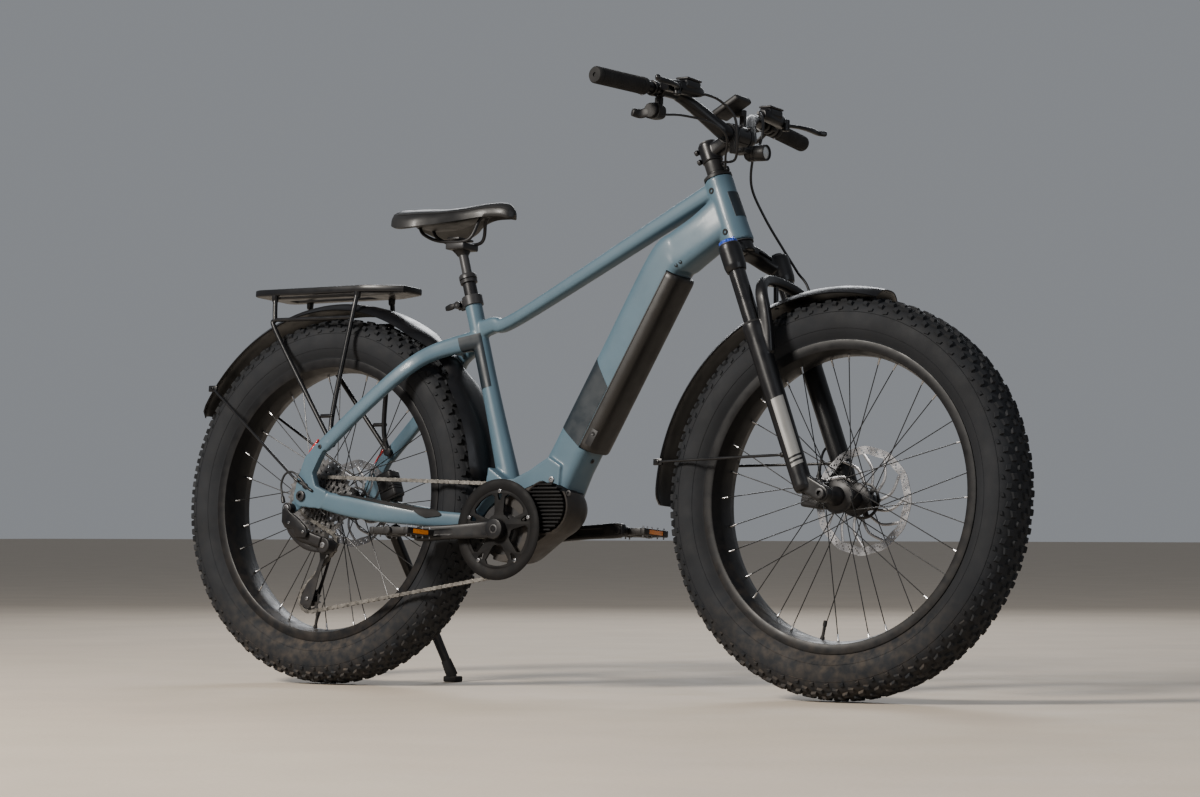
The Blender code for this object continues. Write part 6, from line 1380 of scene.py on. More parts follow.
def chain_runs():
    """The chain's middle line as one list of (x, z) points for each wheel, in order."""
    wheels = chain_wheels()
    touches = []
    for (c1, r1, s1, _), (c2, r2, s2, _) in zip(wheels, wheels[1:] + wheels[:1]):
        between = Vector((c2.x - c1.x, c2.z - c1.z))
        shift = s2 * r2 - s1 * r1
        straight = math.sqrt(between.length_squared - shift ** 2)
        touches.append(math.atan2(between.y, between.x) - math.atan2(shift, straight))
    runs = []
    for index, (centre, radius, sense, steps) in enumerate(wheels):
        arrive = touches[index - 1] - sense * math.pi / 2
        leave = touches[index] - sense * math.pi / 2
        turn = (leave - arrive) * sense % (2 * math.pi)
        runs.append([(centre.x + radius * math.cos(arrive + sense * turn * step / steps),
                      centre.z + radius * math.sin(arrive + sense * turn * step / steps))
                     for step in range(steps + 1)])
    return runs


def chain_left(x):
    share = (BOTTOM_BRACKET.x - x) / (BOTTOM_BRACKET.x - REAR_AXLE.x)
    share = min(max(share * 1.25 - 0.12, 0), 1)
    return -(CHAIN_LINE * (1 - share) + COG_LINE * share)


def chain_pins():
    """Pins at equal steps along the chain, each with its distance from the start."""
    path = [point for run in chain_runs() for point in run]
    lengths = [math.dist(a, b) for a, b in zip(path, path[1:] + path[:1])]
    total = sum(lengths)
    count = 2 * round(total / CHAIN_PITCH / 2)
    pins = []
    index = 0
    passed = 0.0
    for k in range(count):
        goal = total * k / count
        while passed + lengths[index] < goal:
            passed += lengths[index]
            index += 1
        share = (goal - passed) / lengths[index] if lengths[index] else 0.0
        a, b = path[index], path[(index + 1) % len(path)]
        x = a[0] + (b[0] - a[0]) * share
        z = a[1] + (b[1] - a[1]) * share
        pins.append((Vector((x, chain_left(x), z)), goal))
    return pins


def chain_link(first, second, wide):
    """Two waisted side plates, two pins' ends and one roller."""
    along = (second - first).normalized()
    up = along.cross(LEFT).normalized() * -1
    side = up.cross(along)
    length = (second - first).length
    reach = 0.0040 if wide else 0.0038
    gap = 0.0023 if wide else 0.0013
    outline = arc((length, 0), reach, -110, 110, 6) + [(length / 2, 0.0029)]
    outline += arc((0, 0), reach, 70, 290, 6) + [(length / 2, -0.0029)]
    parts = [plate(outline, sign * gap - 0.00045, sign * gap + 0.00045, first, along, up) for sign in SIDES]
    parts.append(rod(first - side * 0.0013, first + side * 0.0013, 0.0036, steps=10))
    if wide:
        for place in (first, second):
            parts.append(rod(place - side * 0.0030, place + side * 0.0030, 0.0017, steps=8))
    return parts


def chain():
    """Chain in four lengths: on the frame's wheels, to the guide pulley, on the cage and back."""
    pins = chain_pins()
    runs = chain_runs()

    def distance(run, step):
        count = 0.0
        path = [point for points in runs for point in points]
        index = sum(len(points) for points in runs[:run]) + step
        for a, b in zip(path[:index], path[1:index + 1]):
            count += math.dist(a, b)
        return count

    marks = [distance(1, len(runs[1]) - 1), distance(2, 0), distance(3, len(runs[3]) - 1)]
    groups = [[], [], [], []]
    for k, (first, along) in enumerate(pins):
        second = pins[(k + 1) % len(pins)][0]
        group = sum(1 for mark in marks if along > mark - 0.006)
        groups[group] += chain_link(first, second, k % 2)
    names = ("chain_on_frame", "chain_to_guide", "chain_on_cage", "chain_lower_run")
    made = [joined(*parts) for parts in groups]
    piece(made[0], names[0], CHAIN, "frame", "chain", slot="chain_steel")
    piece(made[2], names[2], CHAIN, "derailleur_cage", slot="chain_steel")
    ends = ((1, runs[1][-1], runs[2][0]), (3, runs[0][0], runs[3][-1]))
    for index, start, end in ends:
        blended(made[index], names[index], CHAIN, "frame", "derailleur_cage",
                Vector((start[0], -CHAIN_LINE, start[1])), Vector((end[0], -COG_LINE, end[1])))


# Cassette and derailleur
def cassette():
    centre = xz(REAR_AXLE)
    cogs = []
    for index, teeth in enumerate(COG_TEETH):
        place = -(SMALL_COG_OUT - index * COG_SPACING)
        loops = [toothed(centre, teeth, turn=index * 7.0, share=0.9), circle(centre, 0.0163, 32)]
        root = pitch_radius(teeth) - 0.0040
        if root > 0.040:
            count = 10 if teeth < 40 else 12
            loops += [window(centre, 360 * k / count + index * 9, 0.0275, root - 0.0075, 8.5, 6.5, 3)
                      for k in range(count)]
        cogs.append(slab(loops, place - 0.0009, place + 0.0009))
    piece(joined(*cogs), "cassette_cogs", COG_STEEL, "cassette", "cassette", slot="dark_steel")
    end = -(SMALL_COG_OUT - (len(COG_TEETH) - 1) * COG_SPACING)
    core = turned([(0.0163, -SMALL_COG_OUT - 0.0008), (0.0235, -SMALL_COG_OUT + 0.001), (0.0255, end - 0.004),
                   (0.0255, end - 0.0006), (0.0163, end - 0.0006)], REAR_AXLE, steps=36, ring=True)
    lock = turned([(0.0118, -SMALL_COG_OUT - 0.0030), (0.0172, -SMALL_COG_OUT - 0.0032),
                   (0.0182, -SMALL_COG_OUT - 0.0012), (0.0163, -SMALL_COG_OUT - 0.0008),
                   (0.0118, -SMALL_COG_OUT - 0.0012)], REAR_AXLE, steps=36, ring=True)
    piece(joined(core, lock), "cassette_spacers", ANODISED, "cassette", slot="black_metal")


def cage_plates():
    guide = xz(GUIDE_PULLEY)
    tension = xz(TENSION_PULLEY)
    outer_face = -COG_LINE - CAGE_HALF_GAP
    inner_face = -COG_LINE + CAGE_HALF_GAP
    heading = Vector((tension[0] - guide[0], tension[1] - guide[1]))
    length = heading.length
    heading.normalize()
    side = Vector((-heading.y, heading.x))

    def along(share, out):
        spot = Vector(guide) + heading * length * share + side * out
        return (spot.x, spot.y)

    opening = [along(0.20, 0.0050), along(0.20, -0.0050), along(0.55, -0.0062), along(0.80, -0.0050),
               along(0.84, 0.0), along(0.80, 0.0050), along(0.55, 0.0062)]
    front = [along(0.12, 0.0112), along(0.30, 0.0100), along(0.55, 0.0100), along(0.76, 0.0125)]
    back = [along(0.76, -0.0120), along(0.60, -0.0020), along(0.30, 0.0000), along(0.12, -0.0090)]
    lobes = [(0.0172, -62), (0.0200, -34), (0.0168, -6), (0.0200, 22), (0.0172, 52)]
    foot = []
    for reach, turn in lobes:
        angle = math.radians(turn)
        spot = Vector(tension) + (heading * math.cos(angle) + side * math.sin(angle)) * reach
        foot.append((spot.x, spot.y))
    head = []
    for turn in range(-90, 91, 15):
        angle = math.radians(turn)
        spot = Vector(guide) + (side * math.sin(angle) - heading * math.cos(angle)) * 0.0120
        head.append((spot.x, spot.y))
    edge = [tuple(point) for point in catmull(front + foot[::-1] + back, 5)]
    outer = slab([head + edge], outer_face - 0.0010, outer_face + 0.0010, bevel=0.0003)
    ear = plate(belt_outline(xz(CAGE_PIVOT), 0.0124, guide, 0.0120, 12), outer_face - 0.0010,
                outer_face + 0.0008)
    inner = slab([belt_outline(guide, 0.0105, tension, 0.0145, 14), opening], inner_face - 0.0009,
                 inner_face + 0.0009, bevel=0.0003)
    boss = turned([(0.0042, 0.0), (0.0126, 0.0), (0.0126, -0.0034), (0.0042, -0.0034)],
                  at(CAGE_PIVOT, 0, outer_face, 0), LEFT, 32)
    piece(joined(outer, ear, inner, boss), "cage_plates", ANODISED, "derailleur_cage", "derailleur_cage",
          slot="black_metal")
    bolts = []
    for spot in (GUIDE_PULLEY, TENSION_PULLEY):
        bolts.append(bolt(at(spot, 0, outer_face - 0.0010, 0), -LEFT, 0.0040, 0.0022))
        bolts.append(crosswise(spot, outer_face, inner_face + 0.0014, 0.0024, steps=16))
    piece(joined(*bolts), "pulley_bolts", STEEL, "derailleur_cage")


def pulley(spot, teeth, name):
    centre = xz(spot)
    count = 5 if teeth < 12 else 6
    outer = pitch_radius(teeth)
    loops = [toothed(centre, teeth, tip=0.0030, root=0.0026), circle(centre, 0.0030, 16)]
    loops += [window(centre, 360 * k / count, 0.0082, outer - 0.0058, 18, 20, 3) for k in range(count)]
    wheel_disc = slab(loops, -COG_LINE - 0.0010, -COG_LINE + 0.0010)
    hub = turned([(0.0030, -0.0048), (0.0062, -0.0048), (0.0068, -0.0030), (0.0068, 0.0030), (0.0062, 0.0048),
                  (0.0030, 0.0048)], spot - LEFT * COG_LINE, steps=28, ring=True)
    piece(joined(wheel_disc, hub), name + "_wheel", PLASTIC, name, name, slot="black_plastic")


def derailleur():
    start = -COG_LINE - CAGE_HALF_GAP - 0.0052
    knuckle = crosswise(CAGE_PIVOT, start, start - 0.0255, 0.0162, steps=40, rounding=0.003)
    mount = crosswise(DERAILLEUR_BOLT, -HANGER_OUTER - 0.0004, -0.1290, 0.0115, steps=36, rounding=0.0015)
    arm = [(at(DERAILLEUR_BOLT, -0.004, -0.1215, -0.006), 0.0070, 0.0095),
           (at(DERAILLEUR_BOLT, 0.008, -0.1230, -0.028), 0.0082, 0.0125),
           (at(DERAILLEUR_BOLT, 0.034, -0.1210, -0.050), 0.0090, 0.0130),
           (at(CAGE_PIVOT, -0.006, -0.1105, 0.006), 0.0075, 0.0115)]
    lower = [(at(DERAILLEUR_BOLT, 0.000, -0.1180, -0.014), 0.0045, 0.0060),
             (at(DERAILLEUR_BOLT, 0.004, -0.1150, -0.044), 0.0050, 0.0070),
             (at(DERAILLEUR_BOLT, 0.040, -0.1120, -0.074), 0.0050, 0.0070),
             (at(CAGE_PIVOT, -0.010, -0.1040, -0.008), 0.0050, 0.0070)]
    body = fused(0.0010, 4, knuckle, mount, swept(arm, 20, roundness=5.0), swept(lower, 16, roundness=4.0))
    piece(body, "derailleur_casting", ANODISED, "frame", "derailleur_body", slot="black_metal")
    facet = [(-0.0075, -0.0030), (0.0040, 0.0010), (0.0130, -0.0080), (0.0330, -0.0200), (0.0560, -0.0380),
             (0.0600, -0.0500), (0.0560, -0.0600), (0.0300, -0.0580), (0.0240, -0.0420), (0.0020, -0.0400),
             (-0.0070, -0.0280)]
    outline = [(DERAILLEUR_BOLT.x + a, DERAILLEUR_BOLT.z + b) for a, b in facet]
    face = bevelled(plate(outline, -0.1335, -0.1270), 0.0016, 3)
    piece(face, "derailleur_outer_link", SATIN, "frame", slot="black_metal")
    metal = [bolt(at(DERAILLEUR_BOLT, 0, -0.1288, 0), -LEFT, 0.0072, 0.0026),
             bolt(at(DERAILLEUR_BOLT, 0.0120, -0.1334, -0.0300), -LEFT, 0.0030, 0.0012),
             bolt(at(DERAILLEUR_BOLT, 0.0500, -0.1334, -0.0480), -LEFT, 0.0030, 0.0012),
             bolt(at(CAGE_PIVOT, 0, start - 0.0252, 0), -LEFT, 0.0058, 0.0016)]
    piece(joined(*metal), "derailleur_bolts", STEEL, "frame")
    barrel = turned([(0.0026, 0.0), (0.0042, 0.0012), (0.0042, 0.0100), (0.0034, 0.0130), (0.0028, 0.0150)],
                    Vector((-0.6400, -0.1215, 0.3560)), Vector((-0.30, 0.05, 0.95)), 20)
    loop = tube([Vector((-0.6445, -0.1207, 0.3700)), Vector((-0.6500, -0.1200, 0.3930)),
                 Vector((-0.6420, -0.1200, 0.4130)), Vector((-0.6240, -0.1205, 0.4190)),
                 Vector((-0.6040, -0.1210, 0.4080)), Vector((-0.5860, -0.1185, 0.3900)),
                 Vector((-0.5690, -0.1130, 0.3790))], 0.0022, steps=8, ends=0.001)
    piece(joined(barrel, loop), "derailleur_cable", HOSE, "frame", slot="black_rubber")


# Fork
def stanchions():
    tubes = []
    for side in SIDES:
        tubes.append(rod(on_leg(CAP_DEPTH + 0.03, side), on_leg(SEAL_DEPTH + 0.130, side), STANCHION_RADIUS,
                         steps=48))
    piece(joined(*tubes), "fork_stanchions", GLOSS, "steering", slot="black_paint", sharp=50)


def fork_crown():
    parts = [rod(on_head(-0.022), on_head(-0.0005), 0.0268, steps=40, rounding=0.002)]
    for side in SIDES:
        leg = on_head(-0.050, FORK_LEG_OFFSET - 0.004, side * (FORK_SPREAD - 0.008))
        parts.append(swept([(on_head(-0.014, 0.000, side * 0.004), 0.0190, 0.0125),
                            (on_head(-0.020, 0.004, side * 0.036), 0.0172, 0.0125),
                            (on_head(-0.038, 0.012, side * 0.062), 0.0155, 0.0132),
                            (leg, 0.0145, 0.0145)], sides=32, roundness=3.2, towards=STEER_AHEAD, steps=8))
        parts.append(turned([(0.0196, 0.000), (0.0207, 0.0020), (0.0213, 0.010), (0.0209, 0.044),
                             (0.0186, 0.0545), (0.0166, 0.0550)], on_leg(CAP_DEPTH, side), -STEER_UP, 40))
    crown = fused(0.0016, 4, *parts)
    pockets = []
    for side in SIDES:
        start = on_head(-0.0230, 0.0185, side * 0.0330)
        end = on_head(-0.0360, 0.0255, side * 0.0560)
        pockets.append(swept([(start, 0.0042, 0.0034), (start.lerp(end, 0.5), 0.0050, 0.0042),
                              (end, 0.0042, 0.0034)], 20, roundness=2.6, towards=STEER_AHEAD, ends=0.003))
    crown = combine(crown, "DIFFERENCE", pockets, "MANIFOLD")
    steerer = rod(on_head(-0.001), on_head(STEM_RISE + 0.016), 0.0140, steps=32)
    piece(joined(crown, steerer), "fork_crown_casting", SATIN, "steering", "fork_crown", slot="black_paint",
          sharp=50)
    race = turned([(0.0268, 0.0), (0.0292, 0.0005), (0.0292, 0.0024), (0.0268, 0.0028)],
                  on_head(-0.0032), STEER_UP, 48)
    caps = [turned([(0.0165, 0.0), (0.0185, 0.0012), (0.0185, -0.004), (0.0165, -0.004)],
                   on_leg(CAP_DEPTH, side), STEER_UP, 40, ring=True) for side in SIDES]
    valve_cap = turned([(0.0120, 0.0), (0.0120, 0.0050), (0.0108, 0.0066), (0.0040, 0.0070)],
                       on_leg(CAP_DEPTH, 1), STEER_UP, 32)
    piece(joined(race, *caps, valve_cap), "fork_caps", ANODISED, "steering", slot="black_metal")


def lockout_dial():
    grooves = []
    shell = turned([(0.0172, 0.0), (0.0180, 0.0012), (0.0180, 0.0052), (0.0168, 0.0068), (0.0128, 0.0088),
                    (0.0040, 0.0094)], on_leg(CAP_DEPTH - 0.0004, -1), STEER_UP, 60)
    for k in range(12):
        angle = 2 * math.pi * k / 12
        out = STEER_AHEAD * math.cos(angle) + LEFT * math.sin(angle)
        foot = on_leg(CAP_DEPTH - 0.0004, -1) + out * 0.0190
        grooves.append(rod(foot, foot + STEER_UP * 0.012, 0.0020, steps=10))
    shell = cut(shell, *grooves)
    lever = block(on_leg(CAP_DEPTH - 0.0095, -1, 0.0060, 0.0), (0.020, 0.0060, 0.0034), STEER_AHEAD, STEER_UP,
                  0.0012, 2)
    piece(joined(shell, lever), "lockout_knob", BLUE, "lockout_dial", "lockout_dial", slot="blue_dial")


LEG_END = FORK_LENGTH - 0.018


def fork_lowers():
    parts = []
    bores = []
    for side in SIDES:
        parts.append(turned([(LEG_RADIUS - 0.001, 0.0), (LEG_RADIUS + 0.0008, 0.0015),
                             (LEG_RADIUS + 0.0010, 0.010), (LEG_RADIUS, 0.030), (LEG_RADIUS - 0.001, 0.200),
                             (LEG_RADIUS - 0.002, LEG_END - SEAL_DEPTH - 0.010),
                             (LEG_RADIUS - 0.005, LEG_END - SEAL_DEPTH - 0.002),
                             (LEG_RADIUS - 0.012, LEG_END - SEAL_DEPTH)], on_leg(SEAL_DEPTH, side), -STEER_UP,
                            48))
        lug = belt_outline(xz(FRONT_AXLE), 0.0155, xz(on_leg(FORK_LENGTH - 0.040, side)), 0.0155, 16)
        low, high = sorted((side * (FRONT_HUB_HALF + 0.0003), side * (FORK_SPREAD + 0.009)))
        parts.append(plate(lug, low, high))
        bores.append(rod(on_leg(SEAL_DEPTH - 0.07, side), on_leg(SEAL_DEPTH + 0.217, side),
                         STANCHION_RADIUS + 0.0006, steps=40))
    half = [(on_leg(0.252, 1, 0.009, 0.000), 0.0165, 0.0105),
            (on_leg(0.212, 1, 0.021, 0.000), 0.0150, 0.0095),
            (on_leg(0.178, 1, 0.030, 0.000), 0.0125, 0.0090),
            (on_leg(0.145, 1, 0.034, -0.002), 0.0115, 0.0090),
            (on_leg(0.123, 1, 0.032, -0.018), 0.0105, 0.0095),
            (on_leg(0.108, 1, 0.027, -0.046), 0.0095, 0.0100)]
    over = [(on_head(-0.1010, FORK_LEG_OFFSET + 0.0240), 0.0088, 0.0105)]
    other = [(flip(point), wide, high) for point, wide, high in half]
    parts.append(swept(other + over + half[::-1], sides=28, roundness=3.0, towards=STEER_AHEAD, steps=8))
    axle = crosswise(FRONT_AXLE, -0.12, 0.12, 0.0064, steps=32)
    ends = crosswise(FRONT_AXLE, -FRONT_HUB_HALF, FRONT_HUB_HALF, 0.0118, steps=40)
    skin = combine(fused(0.0017, 5, *parts), "DIFFERENCE", bores + [axle, ends], "MANIFOLD")
    piece(skin, "fork_lower_casting", SATIN, "fork_lowers", "fork_lowers", slot="black_paint", sharp=50)
    seals = [turned([(STANCHION_RADIUS + 0.0003, -0.0030), (0.0186, -0.0030), (0.0200, 0.0000),
                     (0.0200, 0.0030), (STANCHION_RADIUS + 0.0003, 0.0030)], on_leg(SEAL_DEPTH, side),
                    -STEER_UP, 48, ring=True) for side in SIDES]
    nuts = [bolt(on_leg(LEG_END - 0.0004, side), -STEER_UP, 0.0068, 0.0030) for side in SIDES]
    piece(joined(*seals, *nuts), "fork_seals", RUBBER, "fork_lowers", slot="black_rubber")
    leg_patch()


def leg_patch():
    """Silver band on the outside of each lower leg, crossed near its foot by two bare stripes."""
    half_turn = 37
    for side, name in NAMED_SIDES:
        bands = []
        for low, high in ((0.345, 0.4600), (0.4640, 0.4685), (0.4725, 0.4790)):
            rings = []
            for step in range(7):
                depth = low + (high - low) * step / 6
                share = max(depth - SEAL_DEPTH - 0.030, 0) / 0.170
                radius = LEG_RADIUS - 0.001 * min(share, 1.0) - 0.00135 * max(share - 1, 0) + 0.00045
                ring = []
                for k in range(17):
                    angle = math.radians(34 - half_turn + 2 * half_turn * k / 16)
                    out = LEFT * side * math.cos(angle) + STEER_AHEAD * math.sin(angle)
                    ring.append(on_leg(depth - 0.004 * k / 16, side) + out * radius)
                inner = [p + (on_leg(depth, side) - p) * 0.045 for p in ring]
                rings.append(ring + inner[::-1])
            bands.append(loft(rings))
        piece(joined(*bands), "fork_leg_band_" + name, DECAL, "fork_lowers")


def axle_head(axle, out, radius, name, rides, node_name):
    head = bolt(at(axle, 0, -out, 0), -LEFT, radius, 0.0058)
    shaft = crosswise(axle, -out + 0.0005, out - 0.0002, 0.0061, steps=28)
    piece(joined(head, shaft), name, ANODISED, rides, node_name, slot="black_metal")


# Fenders
def fender_section(wide, wall=0.0025):
    upper = []
    for k in range(25):
        share = -1 + k / 12
        upper.append((-0.017 * abs(share) ** 3.0, wide * share))
    under = [(drop - wall * (0.6 + 0.4 * (1 - abs(left) / wide)), left * (1 - wall / wide))
             for drop, left in reversed(upper)]
    return upper + under


def fender(centre, radius, first, last, pinch=None):
    rings = []
    count = 72
    for k in range(count + 1):
        degrees = first + (last - first) * k / count
        reach = min(degrees - first, last - degrees)
        wide = FENDER_HALF_WIDTH * (1.0 if reach > 5 else math.sqrt(max(0.0, 1 - (1 - reach / 5) ** 2)) * 0.30
                                    + 0.70)
        if pinch:
            gap = abs(degrees - pinch[0])
            share = min(max((pinch[1] - gap) / pinch[2], 0), 1)
            share = share * share * (3 - 2 * share)
            wide = wide * (1 - share) + pinch[3] * share
        out = outward(math.radians(degrees))
        rings.append([centre + out * (radius + drop) + LEFT * left for drop, left in fender_section(wide)])
    return loft(rings)


def stay_clip(centre, side, length):
    return [block(centre, (length, 0.0050, 0.013), bevel=0.0016, segments=2),
            bolt(centre + LEFT * side * 0.0024, LEFT * side, 0.0034, 0.0022)]


def fenders():
    centre = at(FRONT_AXLE, -0.012, 0, 0)
    guard = fender(centre, FRONT_FENDER_RADIUS, 77.5, 182)
    stays = []
    clip = centre + outward(math.radians(170)) * (FRONT_FENDER_RADIUS - 0.014)
    for side in SIDES:
        start = clip + LEFT * side * (FENDER_HALF_WIDTH - 0.001)
        end = on_leg(FORK_LENGTH - 0.100, side, -LEG_RADIUS - 0.0004)
        stays.append(tube([start, start.lerp(end, 0.5), end], 0.0027, sides=16, ends=0.0015))
        stays += stay_clip(start, side, 0.020)
        stays.append(turned([(0.0048, -0.003), (0.0054, 0.0), (0.0048, 0.004)], end, start - end, 20))
    under = on_head(-0.1125, FORK_LEG_OFFSET + 0.0235)
    stays.append(rod(at(under, 0.002, 0, -0.042), at(under, 0, 0, -0.0004), 0.0048, steps=24, rounding=0.001))
    piece(guard, "front_fender_blade", SATIN, "fork_lowers", "front_fender", slot="black_paint")
    piece(joined(*stays), "front_fender_stays", SATIN, "fork_lowers", slot="black_paint")
    centre = at(REAR_AXLE, 0.002, 0, 0.010)
    guard = fender(centre, REAR_FENDER_RADIUS, 4, 154.5, (46, 12, 6, 0.030))
    clip = centre + outward(math.radians(144.3)) * (REAR_FENDER_RADIUS - 0.014)
    stays = []
    for side in SIDES:
        near = side * (DROPOUT_OUTER + 0.0027)
        start = clip + LEFT * side * (FENDER_HALF_WIDTH - 0.001)
        route = [start, at(REAR_AXLE, -0.036, near * 1.01, 0.050), at(REAR_AXLE, -0.004, near, 0.028),
                 at(REAR_AXLE, 0.028, near, 0.010)]
        stays.append(tube(route, 0.0028, sides=16, ends=0.0015))
        stays += stay_clip(start, side, 0.022)
        stays.append(turned([(0.0030, -0.002), (0.0058, -0.0016), (0.0058, 0.0016), (0.0030, 0.002)],
                            at(REAR_AXLE, 0.010, near, 0.020), LEFT * side, 20))
    piece(guard, "rear_fender_blade", SATIN, "frame", "rear_fender", slot="black_paint")
    piece(joined(*stays), "rear_fender_stays", SATIN, "frame", slot="black_paint")


# Brakes
def caliper(axle, angle, radius, foot, name, rides, bolts):
    out = outward(angle)
    along = Vector((-out.z, 0, out.x))
    middle = ROTOR_OUT + ROTOR_THICKNESS / 2

    def brick(size, beyond, shift=0.0, *rounding):
        centre = at(axle + out * (radius + beyond) + along * shift, 0, middle, 0)
        return block(centre, size, out, along, *rounding)

    grooves = []
    for shift in (-0.012, -0.006, 0.006, 0.012):
        grooves.append(cut(brick((0.050, 0.05, 0.0022), 0.003, shift), brick((0.039, 0.029, 0.08), 0.003)))
    shell = cut(brick((0.043, 0.033, 0.057), 0.003, 0.0, 0.006, 4), *grooves)
    shell = cut(shell, brick((0.060, 0.0056, 0.080), -0.027))
    piston = [turned([(0.0110, -0.002), (0.0110, 0.0012), (0.0095, 0.0022), (0.0040, 0.0016)],
                     at(axle + out * (radius - 0.001), 0, middle + side * 0.0160, 0), LEFT * side, 32)
              for side in SIDES]
    piece(joined(shell, foot, *piston), name + "_casting", ANODISED, rides, name, slot="black_metal")
    piece(joined(*bolts), name + "_bolts", STEEL, rides)


def calipers():
    foot = block(at(REAR_AXLE, 0.078, 0.0834, 0.0142), (0.026, 0.031, 0.0176), bevel=0.002)
    heads = [bolt(at(REAR_AXLE, 0.074 + step, 0.0715, 0.0236), UP, 0.0044, 0.004) for step in (0.0, 0.012)]
    caliper(REAR_AXLE, math.radians(22), REAR_ROTOR_RADIUS, foot, "rear_brake_caliper", "frame", heads)
    leg = on_leg(FORK_LENGTH - 0.066, 1, -LEG_RADIUS - 0.0080)
    foot = block(at(leg, 0, -0.0060, 0), (0.0190, 0.022, 0.030), STEER_AHEAD, STEER_UP, 0.002)
    heads = [bolt(at(leg, 0, -0.0060, 0) - STEER_AHEAD * 0.0094 + STEER_UP * step, -STEER_AHEAD,
                  0.0044, 0.004) for step in (-0.009, 0.009)]
    caliper(FRONT_AXLE, math.radians(172), FRONT_ROTOR_RADIUS, foot, "front_brake_caliper", "fork_lowers",
            heads)


# Rack
def rack():
    middle = RACK_REAR + RACK_LENGTH / 2
    half = RACK_WIDTH / 2
    front = RACK_REAR + RACK_LENGTH
    corners = [(RACK_REAR, half * 0.74), (RACK_REAR + 0.004, half * 0.90), (RACK_REAR + 0.018, half),
               (middle, half), (front - 0.095, half), (front - 0.075, half * 0.97),
               (front - 0.014, half * 0.58), (front - 0.003, half * 0.48), (front, half * 0.36)]
    outline = [(x, -y) for x, y in corners] + [(x, y) for x, y in reversed(corners)]
    loops = [outline]
    long = RACK_LENGTH * 0.58
    corner = 0.006
    for side in SIDES:
        centre = (middle - 0.045, side * half * 0.46)
        a, b = long / 2, half * 0.22
        loop = []
        for x, y, turn in ((1, 1, 0), (-1, 1, 90), (-1, -1, 180), (1, -1, 270)):
            loop += arc((centre[0] + x * (a - corner), centre[1] + y * (b - corner)), corner, turn,
                        turn + 90, 5)
        loops.append(loop)
    deck = slab(loops, -RACK_THICKNESS / 2 - 0.0002, RACK_THICKNESS / 2 - 0.0002, 0.0028,
                Vector((0, 0, RACK_TOP - RACK_THICKNESS / 2)), AHEAD, LEFT)
    piece(deck, "rack_deck_plate", SATIN, "frame", "rack", slot="black_paint")
    rods = []
    bolts = []
    under = RACK_TOP - RACK_THICKNESS + 0.002
    radius = 0.0050

    def spot(along, left, drop=0.0):
        return Vector((RACK_REAR + along, left, under - drop))

    for side in SIDES:
        foot = at(REAR_AXLE, 0.047, side * (RACK_FOOT_OUT - 0.0055), 0.112)
        rods.append(tube([spot(0.057, side * 0.056), spot(0.063, side * 0.0605, 0.049),
                          spot(0.075, side * 0.064, 0.083), foot], radius, 20, 10))
        rods.append(tube([spot(0.274, side * 0.056), spot(0.270, side * 0.066, 0.060),
                          spot(0.248, side * 0.083, 0.250), at(foot, 0.004, 0, 0)], radius, 20, 10))
        rods.append(rod(spot(0.064, side * 0.0610, 0.052), spot(0.271, side * 0.0650, 0.054), 0.0042,
                        steps=20))
        rods.append(rod(at(foot, -0.032, -side * 0.0055, 0.052), at(foot, 0.000, -side * 0.0050, 0.052),
                        0.0040, steps=20, rounding=0.001))
        rods.append(rod(at(foot, 0.004, side * 0.0044, -0.004), at(foot, 0.004, -side * 0.0040, -0.004),
                        0.0090, steps=28, rounding=0.001))
        bolts.append(bolt(at(foot, 0.004, side * 0.0042, -0.004), LEFT * side, 0.0046, 0.0026))
        for step in (0.057, 0.274):
            rods.append(turned([(0.0074, 0.0), (0.0068, 0.010), (0.0054, 0.014)],
                               spot(step, side * 0.056, 0.0005), -UP, 24))
            bolts.append(bolt(Vector((RACK_REAR + step, side * 0.056, RACK_TOP - 0.0034)), UP,
                              0.0040, 0.0030))
    piece(joined(*rods), "rack_struts", SATIN, "frame", slot="black_paint")
    piece(joined(*bolts), "rack_bolts", ANODISED, "frame", slot="black_metal")


# Cockpit
STEM_BASE = on_head(STEM_RISE)


def grip_line(side, out):
    inner = bar_point(side * 0.160, -0.0534, BAR_RISE)
    outer = bar_point(side * BAR_HALF_WIDTH, -BAR_SWEEP, BAR_RISE - BAR_DROP)
    direction = (outer - inner).normalized()
    return inner + direction * (out - 0.160), direction


def handlebar():
    stations = [(0.0, 0.0, 0.0, BAR_CLAMP_RADIUS), (0.040, 0.0, 0.0, BAR_CLAMP_RADIUS),
                (0.062, -0.012, 0.014, 0.0150), (0.100, -0.035, 0.042, 0.0130),
                (0.128, -0.047, BAR_RISE - 0.004, 0.0117), (0.160, -0.0534, BAR_RISE, BAR_RADIUS),
                (BAR_HALF_WIDTH, -BAR_SWEEP, BAR_RISE - BAR_DROP, BAR_RADIUS)]
    left = [(bar_point(y, x, z), r, r) for y, x, z, r in stations]
    right = [(bar_point(-y, x, z), r, r) for y, x, z, r in stations[:0:-1]]
    piece(swept(right + left, sides=36, towards=AHEAD, steps=6), "handlebar_tube", SATIN, "steering",
          "handlebar", slot="black_paint")


